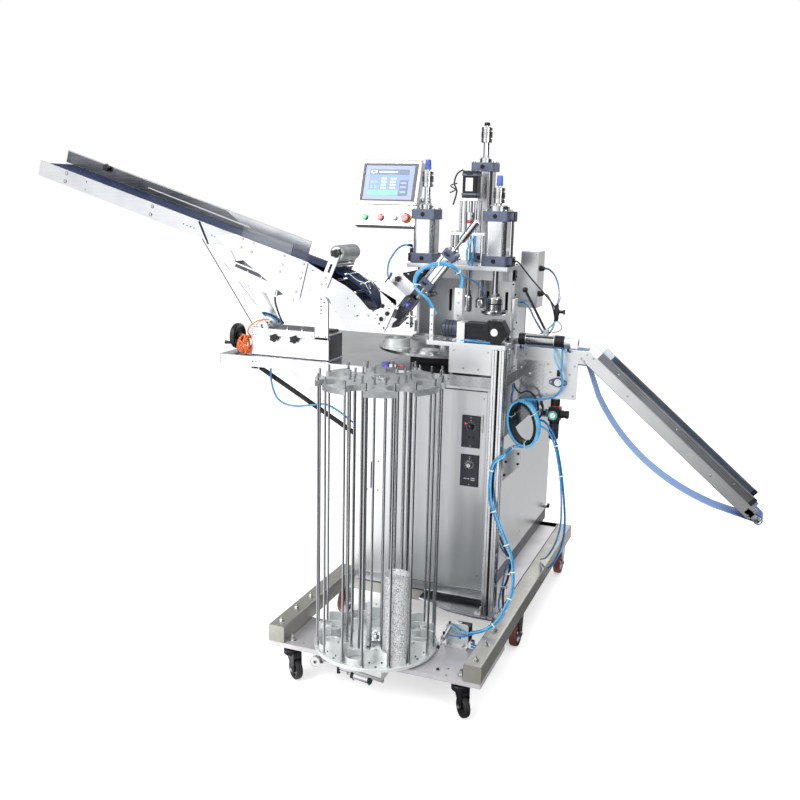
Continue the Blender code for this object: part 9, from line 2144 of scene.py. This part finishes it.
def buildCoil():
    # oval coil hung on the outfeed's brace: pale turns outside; dark ones inside, black cable with a tube of
    # painted shade among them
    coil = newPiece("hoseCoil")
    middle, lean = Vector((0.345, 0.56685, 0.866)), Matrix.Rotation(-radians(14), 3, "Y")

    def turns(wide, tall, count, pitch, start=0.0, sway=0.0):
        points = []
        for i in range(24 * count + 1):
            angle = tau * i / 24 + pi / 2
            y = pitch * (i / 24 - count / 2) + start
            swell = 1 + sway * sin(angle * 2 + i * 0.11)
            points.append(middle + lean @ Vector((wide * swell * cos(angle), y, tall * swell * sin(angle))))
        return points
    put(coil, tube(smoothPath(turns(0.052, 0.084, 3, 0.0125, -0.0125, 0.01), 0.006), 0.0048, 12), paleHose)
    put(coil, tube(smoothPath(turns(0.05, 0.082, 2, 0.0125, 0.019, 0.02), 0.006), 0.0048, 12), blueHose)
    put(coil, tube(smoothPath(turns(0.041, 0.0725, 4, 0.0115, -0.003, 0.02), 0.006), 0.0045, 12), cableSheath)
    # painted shade: a thin dark tube among the inner turns
    put(coil, tube(smoothPath(turns(0.0465, 0.0785, 2, 0.024, 0.004, 0.02), 0.006), 0.003, 10), deepShade)
    for degrees in (20, 152, 262):
        a = radians(degrees)
        place = middle + lean @ Vector((0.0475 * cos(a), 0, 0.0785 * sin(a)))
        side = lean @ Vector((cos(a), 0, sin(a)))
        for offset in (-0.0285, 0.0285):
            put(coil, rod(place + Vector((0, offset, 0)) - side * 0.011,
                place + Vector((0, offset, 0)) + side * 0.0115, 0.0014, 8), nylonTie)
        for reach in (-0.0112, 0.0118):
            put(coil, rod(place + side * reach - Vector((0, 0.0285, 0)),
                place + side * reach + Vector((0, 0.0285, 0)), 0.0014, 8), nylonTie)
    ready(coil, "blue_air_hose", "hose_coil")


def buildBundle():
    # four small tubes tied together, from the coil down to the lock beside the magazine
    route = ((0.352, 0.5245, 0.79), (0.343, 0.495, 0.798), (0.336, 0.44, 0.803), (0.334, 0.39, 0.8),
        (0.331, 0.351, 0.794), (0.304, 0.336, 0.772), (0.295, 0.335, 0.728), (0.294, 0.335, 0.674),
        (0.304, 0.333, 0.619), (0.343, 0.333, 0.53), (0.38, 0.33, 0.45), (0.391, 0.325, 0.395),
        (0.395, 0.31, 0.333), (0.382, 0.285, 0.282), (0.363, 0.255, 0.24), (0.329, 0.232, 0.212),
        (0.3, 0.231, 0.196), (0.277, 0.231, 0.19))
    bundle = newPiece("hoseBundle")
    spine = smoothPath(route, 0.007)
    radius = hoseSizes["bundle"]
    for number, skin in enumerate((paleHose, blueHose, paleHose, blueHose)):
        points = []
        for i, point in enumerate(spine):
            heading = (spine[min(i + 1, len(spine) - 1)] - spine[max(i - 1, 0)]).normalized()
            side = heading.cross(Vector((0.25, 1, 0.1))).normalized()
            angle = tau * number / 4 + 0.02 * i + 0.35 * sin(i * 0.09 + number)
            gap = radius * (1.35 + 0.25 * sin(i * 0.13 + number * 2))
            points.append(point + (side * cos(angle) + heading.cross(side) * sin(angle)) * gap)
        put(bundle, tube(points, radius * 0.92, 10), skin)
    for share in (0.1, 0.27, 0.43, 0.56, 0.68, 0.79, 0.9):
        i = int(len(spine) * share)
        tie(bundle, spine[i], spine[i + 1] - spine[i - 1], radius * 2.4)
    # branches to the lock's cylinder, and the elbow fitting under its block
    hoseRun(bundle, [(0.29, 0.2285, 0.194), (0.262, 0.213, 0.192), (0.236, 0.2105, 0.2),
        (0.214, 0.212, 0.213)], 0.003, paleHose)
    hoseRun(bundle, [(0.29, 0.229, 0.188), (0.258, 0.211, 0.18), (0.228, 0.206, 0.178),
        (0.204, 0.188, 0.186)], 0.003, blueHose)
    elbow(bundle, (0.276, 0.232, 0.16), (1, 0, 0), (0.3, -0.9, 0), blueHose, 0.0045)
    for degrees in (0, 120, 240):
        a = radians(degrees)
        put(bundle, rod((0.281, 0.228 + 0.006 * cos(a), 0.146 + 0.006 * sin(a)),
            (0.302, 0.222 + 0.006 * cos(a), 0.145 + 0.006 * sin(a)), 0.0036, 12), blueHose)
    ready(bundle, "blue_air_hose", "hose_bundle")


def buildOrange():
    # slack spring hose beside the infeed's base: loops that lean every way
    spring = newPiece("orangeHose")
    middle = Vector((-0.7165, 0.44, 1.0868))
    points = []
    for i in range(12 * 6 + 1):
        angle = tau * i / 12 + pi / 2
        loop = i / 12
        reach = 0.0315 + 0.0022 * sin(loop * 2.1)
        lean = 0.3 * sin(loop * 1.9 + 0.6)
        x = 0.043 * (loop / 6 - 0.5) + lean * 0.03 * sin(angle)
        points.append(middle + Vector((x, reach * cos(angle) * (1 - 0.1 * sin(loop * 3)),
            reach * sin(angle))))
    put(spring, tube(smoothPath(points, 0.005), hoseSizes["orange"], 10), orangeHose)
    # loose strands over the base's end, to the fitting on its side
    hoseRun(spring, [(-0.695, 0.44, 1.1185), (-0.7, 0.425, 1.135), (-0.685, 0.416, 1.16),
        (-0.652, 0.42, 1.183), (-0.618, 0.445, 1.186)], 0.0027, orangeHose)
    hoseRun(spring, [(-0.728, 0.425, 1.112), (-0.713, 0.405, 1.129), (-0.698, 0.399, 1.124),
        (-0.705, 0.4, 1.101), (-0.722, 0.403, 1.082), (-0.717, 0.406, 1.062)], 0.0027, orangeHose)
    hoseRun(spring, [(-0.738, 0.418, 1.099), (-0.725, 0.401, 1.108), (-0.702, 0.399, 1.09),
        (-0.696, 0.403, 1.068), (-0.705, 0.408, 1.0575)], 0.0027, orangeHose)
    ready(spring, "orange_coil_hose", "orange_hose")


def buildUpperHoses():
    hoses = newPiece("pressHoses")
    thin, pale = hoseSizes["thin"], 0.0037
    # left press: flow fitting at the lower cap, hose down to the feed block
    put(hoses, block((-0.195, 0.778, 1.405), (-0.1736, 0.804, 1.437)), mouldedAbs, 0.002)
    put(hoses, rod((-0.1845, 0.79, 1.436), (-0.1845, 0.79, 1.455), 0.007, 20), mouldedAbs)
    end, way = elbow(hoses, (-0.1845, 0.79, 1.454), (0, 0, 1), (-0.8, -0.6, 0), deepHose, 0.0048)
    hoseRun(hoses, [end, end + way * 0.016, (-0.222, 0.735, 1.452), (-0.222, 0.655, 1.41),
        (-0.198, 0.58, 1.372), (-0.166, 0.52, 1.362), (-0.15, 0.49, 1.372)], thin, blueHose)
    put(hoses, rod((-0.15, 0.492, 1.371), (-0.14, 0.47, 1.38), 0.005, 18), deepHose)
    put(hoses, rod((-0.164, 0.515, 1.362), (-0.172, 0.5, 1.345), 0.0042, 16), mouldedAbs)
    # arch over the feed cylinder, to the manifold upright behind the gearmotor
    for k in range(4):
        rise, aside = 0.0032 * (k % 2) + 0.0045 * (k // 2), 0.005 * (k % 2) - 0.004 * (k // 2)
        hoseRun(hoses, [(0.036 + aside, 0.455, 1.25), (0.012 + aside, 0.44, 1.295 + rise),
            (-0.018 + aside, 0.428, 1.325), (-0.028 - rise, 0.424, 1.352),
            (-0.022 - rise, 0.424, 1.38 + rise), (-0.002, 0.426, 1.404 + rise), (0.038, 0.432, 1.42 + rise),
            (0.078, 0.445, 1.42 + rise), (0.103, 0.47, 1.404 + rise), (0.116 + aside * 0.6, 0.492, 1.376),
            (0.109 + aside, 0.5, 1.338)], 0.003, paleHose if k % 2 else blueHose)
    for place, way in (((-0.0265, 0.4255, 1.352), (0.1, 0, 1)), ((0.05, 0.437, 1.423), (1, 0.2, 0.1)),
            ((0.109, 0.48, 1.398), (0.6, 0.5, -0.8))):
        tie(hoses, place, way, 0.0082)
    put(hoses, block((0.094, 0.486, 1.1702), (0.124, 0.514, 1.34)), anodised, 0.002)
    for z in (1.2, 1.245, 1.29, 1.325):
        put(hoses, screw((0.109, 0.4863, z), (0, -1, 0), 0.0034, 0.0026), zincPlate)
    # tubes round the spindle tower
    hoseRun(hoses, [(0.093, 0.7, 1.515), (0.083, 0.69, 1.49), (0.07, 0.69, 1.46), (0.068, 0.7, 1.43),
        (0.074, 0.715, 1.4035)], pale, paleHose)
    hoseRun(hoses, [(0.095, 0.704, 1.512), (0.096, 0.7, 1.48), (0.09, 0.7, 1.445), (0.085, 0.715, 1.4035)],
        pale, blueHose)
    hoseRun(hoses, [(0.044, 0.64, 1.38), (0.12, 0.65, 1.35), (0.15, 0.66, 1.31), (0.154, 0.7, 1.27)], 0.0026,
        deepHose)
    # spindle motor's cable, tied in a loop beside it
    hoseRun(hoses, [(-0.0013, 0.835, 1.7531), (-0.0242, 0.835, 1.7372), (-0.0348, 0.835, 1.7029),
        (-0.0241, 0.835, 1.6722), (-0.0363, 0.835, 1.6223)], 0.003, cableSheath)
    hoseRun(hoses, [(-0.0228, 0.835, 1.7029), (-0.0488, 0.833, 1.6929), (-0.0288, 0.832, 1.6789),
        (-0.0508, 0.835, 1.6669)], 0.0024, cableSheath)
    # under the gearmotor
    for k in range(3):
        hoseRun(hoses, [(0.14, 0.372 + 0.008 * k, 1.1745), (0.18, 0.3665 + 0.006 * k, 1.1785 + 0.002 * k),
            (0.222, 0.366 + 0.006 * k, 1.1765), (0.262, 0.372 + 0.007 * k, 1.175)], 0.003,
            (blueHose, deepHose, paleHose)[k])
    ready(hoses, "blue_air_hose")

    right = newPiece("sideHoses")
    # right press: switch cable down to the tee with its tap
    put(right, rod((0.2235, 0.791, 1.421), (0.229, 0.789, 1.424), 0.005, 16), mouldedAbs)
    hoseRun(right, [(0.228, 0.7895, 1.4235), (0.245, 0.783, 1.417), (0.3, 0.765, 1.362), (0.35, 0.745, 1.318),
        (0.39, 0.722, 1.283), (0.409, 0.706, 1.262)], hoseSizes["cable"], cableSheath)
    put(right, [solid([(0.0062, 0), (0.008, 0.006), (0.008, 0.02), (0.0102, 0.022), (0.0102, 0.04),
        (0.007, 0.046), (0.007, 0.058)], (0.413, 0.7, 1.222), (0, 0, 1), 24),
        rod((0.413, 0.7, 1.256), (0.436, 0.698, 1.256), 0.0058, 18)], mouldedAbs)
    put(right, blockAt((0.4405, 0.698, 1.256), (0.006, 0.01, 0.018)), mouldedAbs, 0.0015)
    # electrical box: hose from the upper gland, cable from the lower one
    hoseRun(right, [(0.299, 0.972, 1.3876), (0.318, 0.968, 1.386), (0.352, 0.93, 1.365), (0.386, 0.85, 1.33),
        (0.408, 0.76, 1.3), (0.413, 0.705, 1.281)], 0.0042, deepHose)
    hoseRun(right, [(0.299, 0.972, 1.2895), (0.316, 0.968, 1.286), (0.345, 0.92, 1.262), (0.38, 0.83, 1.222),
        (0.396, 0.74, 1.198), (0.403, 0.66, 1.188), (0.404, 0.634, 1.186)], 0.0034, cableSheath)
    hoseRun(right, [(0.413, 0.7, 1.224), (0.428, 0.694, 1.216), (0.438, 0.685, 1.202), (0.432, 0.672, 1.19),
        (0.412, 0.65, 1.186)], 0.0018, rollerGrey)
    # blue tubes from the press frame down behind the pusher's cylinder
    hoseRun(right, [(0.2135, 0.88, 1.262), (0.25, 0.87, 1.262), (0.29, 0.8, 1.25), (0.33, 0.715, 1.225),
        (0.366, 0.66, 1.196), (0.39, 0.632, 1.18)], 0.004, deepHose)
    hoseRun(right, [(0.413, 0.7, 1.223), (0.405, 0.69, 1.212), (0.392, 0.665, 1.196), (0.372, 0.64, 1.18)],
        0.003, paleHose)
    # pusher's hoses: out of the barrel, down in front of the conveyor, back to the coil
    for number, (x, skin) in enumerate(((0.435, paleHose), (0.462, blueHose))):
        near = 0.576 - 0.009 * number
        hoseRun(right, [(x, 0.6, 1.144), (x + 0.003, 0.585, 1.13), (x + 0.008, near, 1.105),
            (0.47, near - 0.002, 1.05), (0.474, near, 1.012), (0.458, near, 0.978),
            (0.426, near - 0.001, 0.962), (0.385, near - 0.004, 0.956), (0.352, near - 0.01, 0.9525)], thin,
            skin)
        put(right, rod((x, 0.6, 1.144), (x, 0.5995, 1.136), 0.0052, 18), mouldedAbs)
    # regulator's hoses: the coil's end in, three tubes down to the platform
    hoseRun(right, [(0.392, 0.57, 0.88), (0.406, 0.582, 0.878), (0.42, 0.59, 0.868), (0.436, 0.5925, 0.848),
        (0.455, 0.592, 0.815), (0.471, 0.592, 0.76), (0.486, 0.593, 0.69), (0.499, 0.596, 0.6),
        (0.507, 0.605, 0.5), (0.5, 0.62, 0.42), (0.47, 0.66, 0.33), (0.42, 0.76, 0.25), (0.372, 0.9, 0.205)],
        0.004, deepHose)
    hoseRun(right, [(0.394, 0.562, 0.862), (0.418, 0.58, 0.852), (0.44, 0.585, 0.828), (0.462, 0.585, 0.775),
        (0.479, 0.586, 0.7), (0.488, 0.588, 0.64), (0.492, 0.6, 0.56), (0.486, 0.63, 0.47),
        (0.455, 0.7, 0.37), (0.402, 0.82, 0.27), (0.352, 0.96, 0.203)], 0.0036, blueHose)
    hoseRun(right, [(0.398, 0.6305, 0.912), (0.392, 0.62, 0.93), (0.398, 0.6, 0.94), (0.408, 0.585, 0.925),
        (0.405, 0.578, 0.9), (0.396, 0.575, 0.885)], 0.0034, cableSheath)
    for place, way in (((0.4635, 0.5895, 0.79), (0.3, 0, -1)), ((0.4865, 0.5895, 0.68), (0.15, 0, -1))):
        tie(right, place, way, 0.0092)
    # black leads from the table's underside to the coil
    hoseRun(right, [(0.302, 0.56, 1.008), (0.312, 0.556, 0.99), (0.33, 0.554, 0.976), (0.352, 0.555, 0.985),
        (0.372, 0.56, 0.976), (0.388, 0.575, 0.945), (0.39, 0.585, 0.905), (0.382, 0.58, 0.87)], 0.0034,
        cableSheath)
    hoseRun(right, [(0.302, 0.548, 1.008), (0.305, 0.547, 0.985), (0.3, 0.548, 0.96), (0.303, 0.55, 0.935),
        (0.318, 0.556, 0.925)], 0.0034, deepHose)
    ready(right, "blue_air_hose")


def buildLowerHoses():
    low = newPiece("frameHoses")
    # drain hose below the table: out of the tray, along the strut, into the cabinet's side
    hoseRun(low, [(-0.628, 0.47, 1.008), (-0.628, 0.47, 0.985), (-0.622, 0.465, 0.94), (-0.6, 0.458, 0.893),
        (-0.565, 0.455, 0.868), (-0.51, 0.455, 0.862), (-0.45, 0.457, 0.872), (-0.39, 0.46, 0.88),
        (-0.335, 0.462, 0.858), (-0.29, 0.468, 0.826), (-0.265, 0.475, 0.812)], 0.0038, blueHose)
    put(low, hexNut((-0.628, 0.47, 1.0085), (0, 0, -1), 0.0075, 0.008), zincPlate)
    # thin wire that braces the table
    hoseRun(low, [(-0.6, 0.52, 1.009), (-0.43, 0.52, 0.88), (-0.264, 0.52, 0.76)], 0.0009, zincPlate, 8)
    # cables and hoses on the infeed's base
    for k, skin in enumerate((blueHose, cableSheath, cableSheath, blueHose)):
        y = 0.462 + 0.009 * k
        hoseRun(low, [(-0.712 + 0.006 * k, y, 1.178), (-0.7, y, 1.19 + 0.003 * k),
            (-0.668, y + 0.002, 1.201 + 0.003 * (k % 2)), (-0.636, y, 1.199), (-0.611, y, 1.19),
            (-0.596, y + 0.002, 1.1745)], 0.0038, skin)
    # spring-back cable of the belt's motor
    hoseRun(low, [(-0.6025, 0.46, 1.2755), (-0.601, 0.46, 1.25), (-0.5947, 0.461, 1.2281),
        (-0.585, 0.463, 1.2), (-0.5734, 0.466, 1.1742)], 0.0036, cableSheath)
    put(low, rod((-0.5734, 0.466, 1.17), (-0.575, 0.466, 1.179), 0.0062, 18), mouldedAbs)
    # leads behind the column, with bright clips
    hoseRun(low, [(0.296, 0.47, 0.47), (0.312, 0.452, 0.455), (0.334, 0.44, 0.42), (0.352, 0.44, 0.38),
        (0.346, 0.44, 0.32), (0.332, 0.44, 0.27), (0.336, 0.43, 0.215), (0.345, 0.42, 0.1985)], 0.0042,
        cableSheath)
    hoseRun(low, [(0.296, 0.476, 0.44), (0.322, 0.444, 0.42), (0.35, 0.436, 0.39), (0.336, 0.436, 0.35),
        (0.328, 0.436, 0.29), (0.322, 0.42, 0.23), (0.33, 0.41, 0.1985)], 0.0034, deepHose)
    for z, x in ((0.398, 0.347), (0.336, 0.345), (0.284, 0.334)):
        put(low, rod((x - 0.012, 0.434, z), (x + 0.012, 0.434, z + 0.003), 0.0052, 16), chromedBar)
    # bracket behind the column, with its four black bolts
    bracket = [(0.3016, 0.788), (0.3625, 0.79), (0.362, 0.7329), (0.2844, 0.6524), (0.2762, 0.7648)]
    put(low, plate(bracket, "Y", 0.47, 0.474), anodised, 0.0008)
    for x, z in ((0.3106, 0.7416), (0.3069, 0.6923), (0.354, 0.776), (0.354, 0.7386)):
        put(low, screw((x, 0.4702, z), (0, -1, 0), 0.0046, 0.004), blackOxide)
    # fitting at the foot of the cabinet's side
    put(low, rod((0.251, 1.44, 0.27), (0.262, 1.44, 0.27), 0.0075, 18), zincPlate)
    elbow(low, (0.2605, 1.44, 0.27), (1, 0, 0), (0, 0, 1), deepHose, 0.0062)
    ready(low, "blue_air_hose")


buildCoil()
buildBundle()
buildOrange()
buildUpperHoses()
buildLowerHoses()
